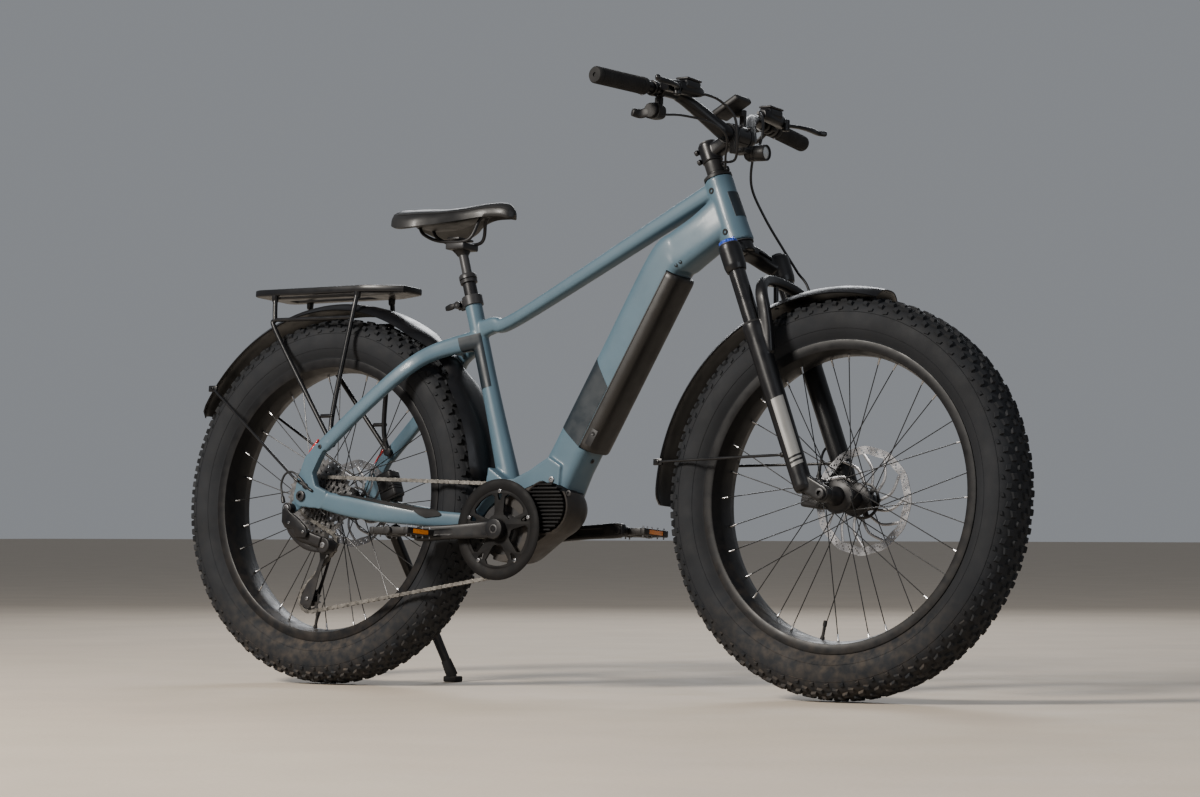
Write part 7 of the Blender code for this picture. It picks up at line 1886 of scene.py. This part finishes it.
def stem():
    reach = BAR_CENTRE - STEM_BASE
    clamp = rod(STEM_BASE - STEER_UP * 0.019, STEM_BASE + STEER_UP * 0.019, 0.0202, steps=40, rounding=0.002)
    neck = swept([(STEM_BASE, 0.0165, 0.0170), (STEM_BASE + reach * 0.45, 0.0165, 0.0145),
                  (STEM_BASE + reach * 0.85, 0.0195, 0.0165)], sides=32, roundness=3.0)
    face = rod(bar_point(-0.0222), bar_point(0.0222), 0.0212, steps=48, rounding=0.0025)
    body = fused(0.0012, 4, clamp, neck, face)
    split = block(bar_point(0, 0.0105, -0.0045), (0.0012, 0.060, 0.060), reach.normalized(),
                  LEFT.cross(reach.normalized()) * -1)
    bar = rod(bar_point(-0.04), bar_point(0.04), BAR_CLAMP_RADIUS + 0.0002, steps=48)
    steerer = rod(STEM_BASE - STEER_UP * 0.03, STEM_BASE + STEER_UP * 0.0165, 0.0143, steps=40)
    body = combine(body, "DIFFERENCE", [split, bar, steerer], "MANIFOLD")
    piece(body, "stem_forging", SATIN, "steering", "stem", slot="black_paint", sharp=50)
    heads = []
    for lift in (-0.010, 0.010):
        start = STEM_BASE + STEER_UP * lift - STEER_AHEAD * 0.0190 - LEFT * 0.010
        heads.append(rod(start, start - STEER_AHEAD * 0.0068, 0.0055, steps=24, rounding=0.0008))
        for side in SIDES:
            place = bar_point(side * 0.0150) + (UP * 0.93 + AHEAD * 0.37) * (0.0165 if lift > 0 else -0.0165)
            heads.append(bolt(place + AHEAD * 0.0125, AHEAD, 0.0036, 0.0034))
    cap = turned([(0.0165, 0.0), (0.0172, 0.0012), (0.0168, 0.0036), (0.0120, 0.0042), (0.0050, 0.0034)],
                 STEM_BASE + STEER_UP * 0.0188, STEER_UP, 40)
    heads.append(cap)
    heads.append(bolt(STEM_BASE + STEER_UP * 0.0216, STEER_UP, 0.0046, 0.0020))
    piece(joined(*heads), "stem_bolts", ANODISED, "steering", slot="black_metal")
    base = HEAD_TUBE_LENGTH + 0.0003
    top = STEM_RISE - 0.0193
    lid = base + 0.0070
    cover = turned([(0.0146, base), (0.0274, base), (0.0274, lid - 0.0015), (0.0262, lid),
                    (0.0182, lid + 0.0004), (0.0180, lid + 0.0060), (0.0176, lid + 0.0064),
                    (0.0180, lid + 0.0068), (0.0180, top), (0.0146, top)], HEAD_BASE, STEER_UP, 48,
                   ring=True)
    piece(cover, "headset_cap", PLASTIC, "steering", "headset_cover", slot="black_plastic")


def grip(side, name):
    start, way = grip_line(side, BAR_HALF_WIDTH - GRIP_LENGTH)
    length = (bar_point(side * BAR_HALF_WIDTH, -BAR_SWEEP, BAR_RISE - BAR_DROP) - start).length
    rib = []
    along = 0.0150
    while along < length - 0.012:
        rib += [(0.0154, along), (0.0154, along + 0.0010), (0.0161, along + 0.0016), (0.0161, along + 0.0034)]
        along += 0.0042
    profile = [(BAR_RADIUS + 0.0002, 0.0004), (0.0158, 0.0004), (0.0165, 0.0014), (0.0165, 0.0108),
               (0.0158, 0.0122), (0.0146, 0.0128)] + rib
    profile += [(0.0154, length - 0.010), (0.0162, length - 0.006), (0.0160, length),
                (0.0140, length + 0.0028), (0.0040, length + 0.0030),
                (BAR_RADIUS + 0.0002, length + 0.0004)]
    sleeve = turned(profile, start, way, 48)
    piece(sleeve, "grip_%s_sleeve" % name, RUBBER, "steering", "grip_" + name, slot="black_rubber")
    clamp = bolt(start + way * 0.0062 - UP * 0.0164, -UP, 0.0030, 0.0016)
    piece(clamp, "grip_%s_bolt" % name, STEEL, "steering")


def brake_pivot(side):
    return bar_point(side * 0.192, -0.010, BAR_RISE - 0.004)


def brake_set(side, name):
    flipped = mirrored if side < 0 else (lambda made: made)
    pivot = brake_pivot(1)
    start, way = grip_line(1, 0.196)
    ring = rod(start, start + way * 0.012, 0.0148, steps=40, rounding=0.0012)
    cylinder = swept([(bar_point(0.110, -0.014, BAR_RISE + 0.004), 0.0085, 0.0085),
                      (bar_point(0.130, -0.014, BAR_RISE + 0.004), 0.0108, 0.0118),
                      (bar_point(0.176, -0.018, BAR_RISE + 0.003), 0.0112, 0.0125),
                      (bar_point(0.206, -0.030, BAR_RISE + 0.002), 0.0145, 0.0098)], sides=32, roundness=3.0,
                     towards=AHEAD, steps=8)
    ears = rod(pivot - UP * 0.0113, pivot + UP * 0.0113, 0.0074, steps=32, rounding=0.0008)
    body = fused(0.0011, 4, ring, cylinder, ears, block(bar_point(0.146, -0.016, BAR_RISE + 0.0115),
                                                       (0.0265, 0.047, 0.016), bevel=0.004))
    slot = block(pivot + Vector((0.006, 0.004, 0)), (0.028, 0.034, 0.0082))
    line = grip_line(1, 0.10)[0]
    bore = rod(line, line + way * 0.18, BAR_RADIUS + BAR_GAP, steps=40)
    body = combine(body, "DIFFERENCE", [slot, bore], "MANIFOLD")
    piece(flipped(body), "brake_master_%s_body" % name, SATIN, "steering", "brake_master_" + name,
          slot="black_metal", sharp=50)
    lid = block(bar_point(0.146, -0.016, BAR_RISE + 0.0212), (0.0275, 0.0485, 0.0042), bevel=0.0016)
    screws = [bolt(bar_point(0.146 + a, -0.016 + b, BAR_RISE + 0.0230), UP, 0.0021, 0.0012)
              for a in (-0.019, 0.019) for b in (-0.0085, 0.0085)]
    nut = turned([(0.0030, 0.016), (0.0046, 0.012), (0.0052, 0.010), (0.0052, 0.002), (0.0060, 0.0),
                  (0.0060, -0.004)], bar_point(0.1105, -0.014, BAR_RISE + 0.004), -LEFT, 6)
    strap = bolt(start + way * 0.006 + AHEAD * 0.0146 - UP * 0.0075, AHEAD, 0.0030, 0.0030)
    pin = rod(pivot - UP * 0.0118, pivot + UP * 0.0118, 0.0027, steps=20, rounding=0.0006)
    piece(flipped(joined(lid, nut, strap, pin, *screws)), "brake_master_%s_trim" % name, ANODISED,
          "steering", slot="black_metal")
    boss = rod(pivot - UP * 0.0036, pivot + UP * 0.0036, 0.0068, steps=28)
    blade = swept([(pivot + Vector((0.002, 0.004, 0)), 0.0060, 0.0034),
                   (pivot + Vector((0.016, 0.030, 0)), 0.0055, 0.0036),
                   (pivot + Vector((0.020, 0.060, 0)), 0.0040, 0.0048),
                   (pivot + Vector((0.018, 0.090, 0)), 0.0040, 0.0052),
                   (pivot + Vector((0.026, 0.1045, 0)), 0.0050, 0.0052)], sides=24, roundness=2.8,
                  towards=AHEAD, steps=9, ends=0.004)
    holes = [rod(pivot + Vector((0.0180, y, -0.01)), pivot + Vector((0.0180, y, 0.01)), 0.0016, steps=16)
             for y in (0.040, 0.050, 0.060)]
    lever = cut(blade, *holes)
    piece(flipped(joined(boss, lever)), "brake_lever_%s_blade" % name, SATIN, "brake_lever_" + name,
          "brake_lever_" + name, slot="black_metal")


def clamp_ring(bore, radius, width, centre, axis, chamfer=0.0008, steps=40):
    profile = [(bore, 0.0), (radius - chamfer, 0.0), (radius, chamfer), (radius, width - chamfer),
               (radius - chamfer, width), (bore, width)]
    return turned(profile, centre, axis, steps, ring=True)


SHIFTER_AHEAD = -0.0560
SHIFTER_ABOVE = BAR_RISE - 0.0440
SHIFTER_OUT = 0.2060


def shifter_point(out, ahead=0.0, above=0.0):
    return bar_point(-out, SHIFTER_AHEAD + ahead, SHIFTER_ABOVE + above)


def shifter():
    start, along = grip_line(-1, 0.178)
    ring = clamp_ring(BAR_RADIUS + BAR_GAP, 0.0150, 0.0095, start, along)
    neck = block(bar_point(-0.1835, -0.056, BAR_RISE - 0.026), (0.015, 0.0088, 0.022), bevel=0.002)
    pod = swept([(shifter_point(0.175), 0.0100, 0.0100), (shifter_point(0.184), 0.0168, 0.0140),
                 (shifter_point(SHIFTER_OUT), 0.0174, 0.0149)], sides=36, roundness=2.8, towards=AHEAD,
                steps=8)
    tip = rod(shifter_point(0.1752), shifter_point(0.1660), 0.0048, 0.0036, steps=20)
    lid = block(shifter_point(0.1930, 0.0150), (0.0050, 0.016, 0.018), bevel=0.0018)
    piece(joined(ring, neck, pod, tip, lid), "shifter_pod", PLASTIC, "steering", "shifter",
          slot="black_plastic")
    out = SHIFTER_OUT + 0.0003
    hub = rod(shifter_point(out), shifter_point(out + 0.006), 0.0138, steps=40, rounding=0.0012)
    paddle = swept([(shifter_point(out + 0.003, -0.004, -0.002), 0.0028, 0.0090),
                    (shifter_point(out + 0.006, -0.020, -0.006), 0.0050, 0.0088),
                    (shifter_point(out + 0.016, -0.031, -0.004), 0.0105, 0.0078)], sides=24,
                   roundness=2.8, steps=6, ends=0.003)
    piece(joined(hub, paddle), "shift_paddle", PLASTIC, "shift_lever", "shift_lever", slot="black_plastic")


THROTTLE_OUT = 0.2085


def left_controls():
    start, along = grip_line(1, 0.176)
    centre = bar_point(0.1810, -0.0870, BAR_RISE + 0.002)
    ring = clamp_ring(BAR_RADIUS + BAR_GAP, 0.0150, 0.0095, start, along)
    pod = block(centre + Vector((0.0095, 0, 0)), (0.0176, 0.0238, 0.0318), bevel=0.0035)
    seat = block(centre + Vector((0.0010, 0, 0)), (0.0080, 0.0146, 0.0206))
    pod = cut(pod, seat)
    piece(joined(ring, pod), "control_remote_pod", PLASTIC, "steering", "control_remote",
          slot="black_plastic")
    button = block(centre, (0.0062, 0.0138, 0.0198), bevel=0.0018)
    line = block(centre - AHEAD * 0.0030, (0.0012, 0.0100, 0.0010), bevel=0.0004, segments=1)
    piece(joined(button, line), "assist_button_cap", RUBBER, "assist_button", "assist_button",
          slot="black_rubber")
    start, along = grip_line(1, THROTTLE_OUT)
    ring = clamp_ring(BAR_RADIUS + BAR_GAP, 0.0170, 0.0110, start, along, 0.0010, 48)
    middle = grip_line(1, THROTTLE_OUT + 0.0055)[0]
    paddle = swept([(middle + Vector((-0.011, 0, -0.011)), 0.0050, 0.0030),
                    (middle + Vector((-0.024, 0, -0.022)), 0.0055, 0.0030),
                    (middle + Vector((-0.034, 0.002, -0.0255)), 0.0060, 0.0038)], sides=24, roundness=2.8,
                   steps=6, ends=0.0025)
    piece(joined(ring, paddle), "throttle_paddle", PLASTIC, "throttle", "throttle", slot="black_plastic")


def display():
    face_up = Vector((-0.50, 0, 0.87)).normalized()
    ahead = Vector((face_up.z, 0, -face_up.x))
    centre = bar_point(0.0, -0.014, 0.0560)
    case = block(centre, (0.066, 0.052, 0.013), ahead, face_up, 0.0050, 4)
    lip = block(centre + face_up * 0.0052, (0.060, 0.047, 0.0034), ahead, face_up, 0.0012, 2)
    arm = block(bar_point(0.0302, -0.006, 0.030), (0.0118, 0.0078, 0.052), bevel=0.0016)
    link = block(bar_point(0.0250, -0.010, 0.048), (0.019, 0.015, 0.011), bevel=0.002)
    ring = clamp_ring(BAR_CLAMP_RADIUS + 0.0003, 0.0198, 0.0080, bar_point(0.0262), LEFT)
    screw = bolt(bar_point(0.0302, 0.0, -0.0190), -UP, 0.0030, 0.0020)
    piece(joined(case, lip, arm, link, ring, screw), "display_case", PLASTIC, "steering", "display",
          slot="black_plastic")
    glass = block(centre + face_up * 0.0066, (0.054, 0.041, 0.0012), ahead, face_up, 0.0005, 2)
    piece(glass, "display_glass", SCREEN, "steering")


LIGHT_CENTRE = bar_point(0.0, 0.048, -0.036)


def headlight():
    can = turned([(0.0060, -0.0236), (0.0118, -0.0225), (0.0150, -0.0175), (0.0150, -0.0100),
                  (0.0146, -0.0094), (0.0150, -0.0088), (0.0150, -0.0030), (0.0146, -0.0024),
                  (0.0150, -0.0018), (0.0155, 0.010), (0.0155, 0.0212), (0.0150, 0.0220),
                  (0.0130, 0.0220), (0.0122, 0.0160), (0.0060, 0.0120)], LIGHT_CENTRE, AHEAD, 48)
    arm = block(bar_point(-0.0302, 0.014, -0.022), (0.0138, 0.0078, 0.0335), bevel=0.0016)
    bridge = block(bar_point(-0.0180, 0.026, -0.034), (0.033, 0.031, 0.0095), bevel=0.002)
    ring = clamp_ring(BAR_CLAMP_RADIUS + 0.0003, 0.0198, 0.0080, bar_point(-0.0342), LEFT)
    piece(joined(can, arm, bridge, ring), "headlight_body", PLASTIC, "steering", "headlight",
          slot="black_plastic")
    lens = turned([(0.0126, 0.0150), (0.0126, 0.0186), (0.0100, 0.0202), (0.0050, 0.0211), (0.0010, 0.0213)],
                  LIGHT_CENTRE, AHEAD, 40)
    piece(lens, "headlight_lens", LENS, "steering")


# Seat
SADDLE_STATIONS = ((0.000, 0.42, -0.006, 0.024), (0.014, 0.80, -0.001, 0.040), (0.045, 0.98, -0.002, 0.047),
                   (0.085, 1.00, -0.003, 0.045), (0.125, 0.78, -0.004, 0.038), (0.165, 0.46, 0.000, 0.032),
                   (0.205, 0.29, 0.005, 0.030), (0.243, 0.235, 0.005, 0.030), (0.261, 0.17, -0.002, 0.026),
                   (SADDLE_LENGTH - 0.003, 0.06, -0.014, 0.012))
SADDLE_CROWN = 0.72


def saddle_top():
    """Padded cover with a lengthwise dip; the seam along each side is made apart by saddle_seam."""
    rings = []
    for along, wide, lift, depth in catmull([list(s) for s in SADDLE_STATIONS], 7):
        half = SADDLE_WIDTH / 2 * wide
        x = SADDLE_REAR + along
        top = SADDLE_TOP + lift
        dip = 0.0026 * math.exp(-((along - 0.11) / 0.07) ** 2)
        ring = []
        upper = 22
        for k in range(upper + 1):
            share = -1 + 2 * k / upper
            angle = share * math.pi / 2
            left = half * math.sin(angle) * (0.97 + 0.03 * abs(math.sin(angle)))
            drop = depth * (1 - math.cos(angle) ** SADDLE_CROWN)
            hollow = dip * math.exp(-(left / 0.010) ** 2)
            ring.append(Vector((x, left, top - drop - hollow)))
        for share, low in ((0.93, 1.035), (0.80, 0.96), (0.55, 0.70), (0.25, 0.60), (0.0, 0.58),
                           (-0.25, 0.60), (-0.55, 0.70), (-0.80, 0.96), (-0.93, 1.035)):
            ring.append(Vector((x, half * share, top - depth * low)))
        rings.append(ring)
    return loft(rings)


def saddle_seam(side):
    route = []
    for along, wide, lift, depth in catmull([list(s) for s in SADDLE_STATIONS[1:-1]], 4):
        angle = math.radians(62)
        left = SADDLE_WIDTH / 2 * wide * math.sin(angle) * (0.97 + 0.03 * math.sin(angle)) + 0.0002
        drop = depth * (1 - math.cos(angle) ** SADDLE_CROWN) - 0.0002
        route.append(Vector((SADDLE_REAR + along, side * left, SADDLE_TOP + lift - drop)))
    return tube(route, 0.0010, 8, 2, ends=0.0008)


def saddle_parts():
    top = saddle_top()
    piece(top, "saddle_padding", LEATHER, "saddle", "saddle", slot="saddle_cover", sharp=60)
    piece(joined(saddle_seam(-1), saddle_seam(1)), "saddle_seams", RUBBER, "saddle")
    thick = 0.0045
    stations = []
    for along, wide, lift, depth in SADDLE_STATIONS[2:7]:
        under = SADDLE_TOP + lift - depth * 0.60 - thick - 0.0006
        stations.append((Vector((SADDLE_REAR + along, 0, under)), SADDLE_WIDTH / 2 * wide * 0.50, thick))
    shell = swept(stations, sides=28, roundness=3.0, steps=6, ends=0.002)
    rear = stations[0][0]
    front = stations[-1][0]
    clamp = on_seat(SHAFT_TOP + 0.0052)
    rails = []
    for side in SIDES:
        wide = side * 0.022
        route = [Vector((rear.x + 0.003, wide, rear.z)), Vector((rear.x + 0.015, wide, rear.z - 0.018)),
                 Vector((clamp.x - 0.034, wide, clamp.z)), Vector((clamp.x + 0.034, wide, clamp.z)),
                 Vector((front.x - 0.016, wide * 0.50, front.z - 0.012)),
                 Vector((front.x - 0.003, wide * 0.32, front.z))]
        rails.append(tube(route, 0.0035, 20, 8))
    piece(shell, "saddle_shell", PLASTIC, "saddle", "saddle_base", slot="black_metal")
    piece(joined(*rails), "saddle_rails", ANODISED, "saddle")


def seatpost():
    low = 0.270
    profile = [(0.0100, low), (POST_RADIUS - 0.001, low), (POST_RADIUS, low + 0.002),
               (POST_RADIUS, POST_HEIGHT - 0.0200), (0.0172, POST_HEIGHT - 0.0185),
               (0.0176, POST_HEIGHT - 0.0120), (0.0166, POST_HEIGHT - 0.0110),
               (0.0180, POST_HEIGHT - 0.0100), (0.0180, POST_HEIGHT - 0.0030), (0.0160, POST_HEIGHT),
               (SHAFT_RADIUS + 0.0004, POST_HEIGHT), (SHAFT_RADIUS + 0.0004, low + 0.060),
               (0.0100, low + 0.058)]
    piece(turned(profile, BOTTOM_BRACKET, SEAT_UP, 48, ring=True), "seatpost_tube", ANODISED, "seatpost",
          "seatpost", slot="black_metal")
    shaft = rod(on_seat(0.400), on_seat(SHAFT_TOP - 0.010), SHAFT_RADIUS, steps=40)
    neck = swept([(on_seat(SHAFT_TOP - 0.024), 0.0105, 0.0105), (on_seat(SHAFT_TOP - 0.017), 0.0150, 0.0135),
                  (on_seat(SHAFT_TOP - 0.010), 0.0195, 0.0175)], sides=32, roundness=2.8)
    cradle_block = block(on_seat(SHAFT_TOP - 0.006), (0.0455, 0.0515, 0.0138), bevel=0.003)
    lid = block(on_seat(SHAFT_TOP + 0.0098), (0.030, 0.0500, 0.0050), bevel=0.0018, segments=2)
    pin = rod(on_seat(SHAFT_TOP - 0.010), on_seat(SHAFT_TOP + 0.013), 0.0034, steps=20)
    piece(joined(shaft, neck, cradle_block, lid, pin), "seatpost_head", ANODISED, "saddle", "seatpost_shaft",
          slot="black_metal")
    low = SEAT_TUBE_LENGTH - 0.016
    high = SEAT_TUBE_LENGTH + 0.004
    collar = turned([(SEAT_TUBE_RADIUS + 0.0003, low), (0.0199, low), (0.0206, low + 0.0008),
                     (0.0206, high - 0.0008), (0.0199, high), (POST_RADIUS + 0.0004, high),
                     (POST_RADIUS + 0.0004, SEAT_TUBE_LENGTH + 0.0003),
                     (SEAT_TUBE_RADIUS + 0.0003, SEAT_TUBE_LENGTH + 0.0003)], BOTTOM_BRACKET, SEAT_UP,
                    48, ring=True)
    ahead = Vector((SEAT_UP.z, 0, -SEAT_UP.x))
    middle = SEAT_TUBE_LENGTH - 0.006
    ears = [block(on_seat(middle, -0.0265, side * 0.0047), (0.014, 0.0066, 0.0176), ahead, SEAT_UP, 0.0022)
            for side in SIDES]
    pivot = on_seat(middle, -0.0285, -0.0130)
    pin = rod(on_seat(middle, -0.0285, -0.0180), on_seat(middle, -0.0285, 0.010), 0.0026, steps=20)
    nut = rod(on_seat(middle, -0.0285, 0.0082), on_seat(middle, -0.0285, 0.0130), 0.0052, steps=20,
              rounding=0.0008)
    piece(joined(collar, *ears, pin, nut), "seat_clamp_collar", ANODISED, "frame", "seat_clamp",
          slot="black_metal")
    hub = turned([(0.0029, -0.0045), (0.0070, -0.0045), (0.0075, -0.0038), (0.0075, 0.0042),
                  (0.0029, 0.0042)], pivot, LEFT, 32, ring=True)
    start = pivot + Vector((-0.006, 0, 0.000))
    blade = swept([(start, 0.0036, 0.0045), (start + Vector((-0.010, -0.001, -0.003)), 0.0034, 0.0065),
                   (start + Vector((-0.022, 0.001, -0.0056)), 0.0034, 0.0050)], sides=24, roundness=2.8,
                  steps=6, ends=0.0022)
    piece(joined(hub, blade), "seat_clamp_handle", SATIN, "seat_clamp_lever", "seat_clamp_lever",
          slot="black_metal")


# Kickstand
def kickstand():
    foot = LEANED.inverted() @ KICK_FOOT
    left = LEANED.to_3x3() @ LEFT
    lean = math.atan2(left.z, left.y)
    normal = Vector((0, math.sin(lean), math.cos(lean)))
    pad = block(foot + normal * 0.0062, (0.034, 0.024, 0.012), AHEAD, normal, 0.003, 3)
    ankle = foot + normal * 0.010
    reach = ankle - KICK_PIVOT
    leg = swept([(KICK_PIVOT + reach * 0.03, 0.0100, 0.0100),
                 (KICK_PIVOT + reach * 0.12, 0.0105, 0.0105),
                 (KICK_PIVOT + reach * 0.50, 0.0094, 0.0094), (ankle, 0.0080, 0.0080)], sides=28,
                roundness=2.8, steps=8)
    knuckle = rod(KICK_PIVOT - KICK_AXIS * 0.014, KICK_PIVOT + KICK_AXIS * 0.014, 0.0124, steps=36,
                  rounding=0.0015)
    pin = bolt(KICK_PIVOT + KICK_AXIS * 0.0138, KICK_AXIS, 0.0056, 0.0026)
    cuff = swept([(KICK_PIVOT + reach * 0.885, 0.0096, 0.0096), (KICK_PIVOT + reach * 0.99, 0.0108, 0.0112)],
                 sides=24, roundness=2.8)
    piece(joined(leg, knuckle, pin), "kickstand_tube", SATIN, "kickstand", "kickstand_leg",
          slot="black_metal")
    piece(joined(pad, cuff), "kickstand_foot", RUBBER, "kickstand")


# Hoses
def hoses():
    end = at(FRONT_AXLE, -0.1035, 0.0700, 0.0456)
    start = bar_point(0.1090, -0.014, BAR_RISE + 0.004)
    route = [start, bar_point(0.0980, -0.012, BAR_RISE + 0.0038),
             bar_point(0.0800, 0.006, BAR_RISE - 0.010), bar_point(0.0550, 0.024, 0.020),
             bar_point(0.0490, 0.022, -0.010), bar_point(0.0460, 0.010, -0.036),
             Vector((0.3268, 0.062, 0.972)), Vector((0.3450, 0.0870, 0.9135)),
             Vector((0.3790, 0.1060, 0.8520)), Vector((0.4040, 0.1140, 0.8130)),
             Vector((0.4327, 0.1160, 0.7703)), on_leg(0.230, 1, 0.006, 0.0250),
             on_leg(0.330, 1, -0.003, 0.0245), on_leg(0.390, 1, -0.014, 0.0210),
             on_leg(0.417, 1, -0.028, -0.0020), at(end, 0.0020, 0.0010, 0.0290),
             at(end, 0.0008, 0.0005, 0.0120), end]
    hose = tube(route, HOSE_RADIUS, 16, 8)
    blended(hose, "front_brake_hose_line", HOSE, "steering", "fork_lowers", Vector((0.3450, 0.0870, 0.9135)),
            on_leg(0.230, 1, 0.006, 0.0250), "front_brake_hose")
    banjo = [turned([(0.0056, -0.004), (0.0056, 0.0030), (0.0042, 0.0046), (0.0030, 0.0120),
                     (0.0028, 0.0160)], end, UP, 20)]
    for depth in (0.245, 0.372):
        place = on_leg(depth, 1, 0.004 if depth < 0.3 else -0.010, 0.0232)
        banjo.append(block(place, (0.010, 0.0076, 0.009), STEER_AHEAD, STEER_UP, 0.002, 2))
    piece(joined(*banjo), "front_hose_clips", PLASTIC, "fork_lowers", slot="black_plastic")
    port = on_head(HEAD_TUBE_LENGTH + 0.0076, 0.0236)
    grommet = turned([(0.0046, 0.0), (0.0052, 0.0008), (0.0052, 0.0060), (0.0046, 0.0085), (0.0030, 0.0092)],
                     port, STEER_UP, 28)
    brake = tube([bar_point(-0.1090, -0.014, BAR_RISE + 0.004), bar_point(-0.0980, -0.012, BAR_RISE + 0.0036),
                  bar_point(-0.0800, 0.010, BAR_RISE - 0.006), bar_point(-0.0600, 0.032, 0.026),
                  bar_point(-0.0530, 0.036, -0.014), bar_point(-0.0380, 0.024, -0.052),
                  port + STEER_UP * 0.016 - LEFT * 0.0090, port + STEER_UP * 0.0075 - LEFT * 0.0028],
                 HOSE_RADIUS, 16, 8)
    shift = tube([shifter_point(0.1732), shifter_point(0.1620, 0.002), bar_point(-0.1340, -0.034, 0.018),
                  bar_point(-0.1000, 0.006, 0.008), bar_point(-0.0720, 0.024, -0.014),
                  bar_point(-0.0500, 0.010, -0.050), bar_point(-0.0260, -0.004, -0.066),
                  port + STEER_UP * 0.0075 + LEFT * 0.0022], CABLE_RADIUS, 16, 8)
    piece(joined(grommet, brake, shift), "control_cable_lines", HOSE, "steering", "control_cables",
          slot="black_rubber")


def build_bike():
    skin = frame_skin()
    frame_overlays(skin)
    piece(skin, "frame_skin", PAINT, "frame", "frame", slot="frame_paint", sharp=40)
    frame_fittings()
    piece(battery_cover(), "battery_cover", CASE, "battery", "battery", slot="black_plastic")
    battery_fittings()
    charge_port()
    wheel("rear", REAR_AXLE, REAR_FLANGES, rear_hub(), REAR_ROTOR_RADIUS)
    wheel("front", FRONT_AXLE, FRONT_FLANGES, front_hub(), FRONT_ROTOR_RADIUS)
    axle_head(REAR_AXLE, DROPOUT_OUTER, 0.0105, "rear_axle_bolt", "frame", "rear_axle")
    axle_head(FRONT_AXLE, FORK_SPREAD + 0.009, 0.0100, "front_axle_bolt", "fork_lowers", "front_axle")
    motor()
    chain_set()
    for side, name in NAMED_SIDES:
        pedal(side, name)
    chain()
    cassette()
    cage_plates()
    pulley(GUIDE_PULLEY, GUIDE_TEETH, "guide_pulley")
    pulley(TENSION_PULLEY, TENSION_TEETH, "tension_pulley")
    derailleur()
    stanchions()
    fork_crown()
    lockout_dial()
    fork_lowers()
    fenders()
    calipers()
    rack()
    handlebar()
    stem()
    for side, name in NAMED_SIDES:
        grip(side, name)
        brake_set(side, name)
    shifter()
    left_controls()
    display()
    headlight()
    saddle_parts()
    seatpost()
    kickstand()
    hoses()


# Studio
def floor():
    bm = bmesh.new()
    bmesh.ops.create_grid(bm, x_segments=2, y_segments=2, size=60)
    made = object_from(bm, "floor")
    made.data.materials.append(surface("pale_floor", (0.50, 0.43, 0.35), 0.75, mottle=0.05,
                                       mottle_scale=3.0, grain=(90, 0.0008)))


def area_light(name, place, target, size, power, colour):
    light = bpy.data.lights.new(name, "AREA")
    light.shape = "RECTANGLE"
    light.size, light.size_y = size
    light.energy = power
    light.color = colour
    lamp = bpy.data.objects.new(name, light)
    lamp.location = place
    lamp.rotation_euler = (Vector(target) - Vector(place)).to_track_quat("-Z", "Y").to_euler()
    bpy.context.scene.collection.objects.link(lamp)


def studio():
    floor()
    world = bpy.data.worlds.new("studio")
    bpy.context.scene.world = world
    world.use_nodes = True
    sky = world.node_tree.nodes["Background"].inputs
    sky["Color"].default_value = (0.80, 0.84, 0.90, 1.0)
    sky["Strength"].default_value = 0.30
    middle = (0.0, 0.0, 0.5)
    area_light("key", (-1.6, -5.0, 3.6), middle, (1.3, 1.3), 620, (1.0, 0.94, 0.86))
    area_light("fill", (5.5, -2.0, 2.6), middle, (3.0, 3.0), 60, (0.88, 0.93, 1.0))
    area_light("back", (-2.5, 4.5, 3.2), middle, (3.0, 2.0), 120, (0.95, 0.97, 1.0))


def camera():
    """Camera of the photograph: place, right and forward directions and focal length in pixels."""
    focal = 3298.2
    photo_width = 1200
    sensor = 36.0
    right = Vector((0.82124, 0.57058, 0.00040))
    up = Vector((0.02193, -0.03226, 0.99924))
    forward = Vector((-0.57016, 0.82061, 0.03900))
    made = bpy.data.cameras.new("camera")
    made.sensor_fit = "HORIZONTAL"
    made.sensor_width = sensor
    made.lens = focal / photo_width * sensor
    view = bpy.data.objects.new("camera", made)
    turn = Matrix((right, up, -forward)).transposed().to_4x4()
    turn.translation = Vector((3.67038, -5.26920, 0.31743))
    view.matrix_world = turn
    bpy.context.scene.collection.objects.link(view)
    bpy.context.scene.camera = view


build_bike()
studio()
camera()
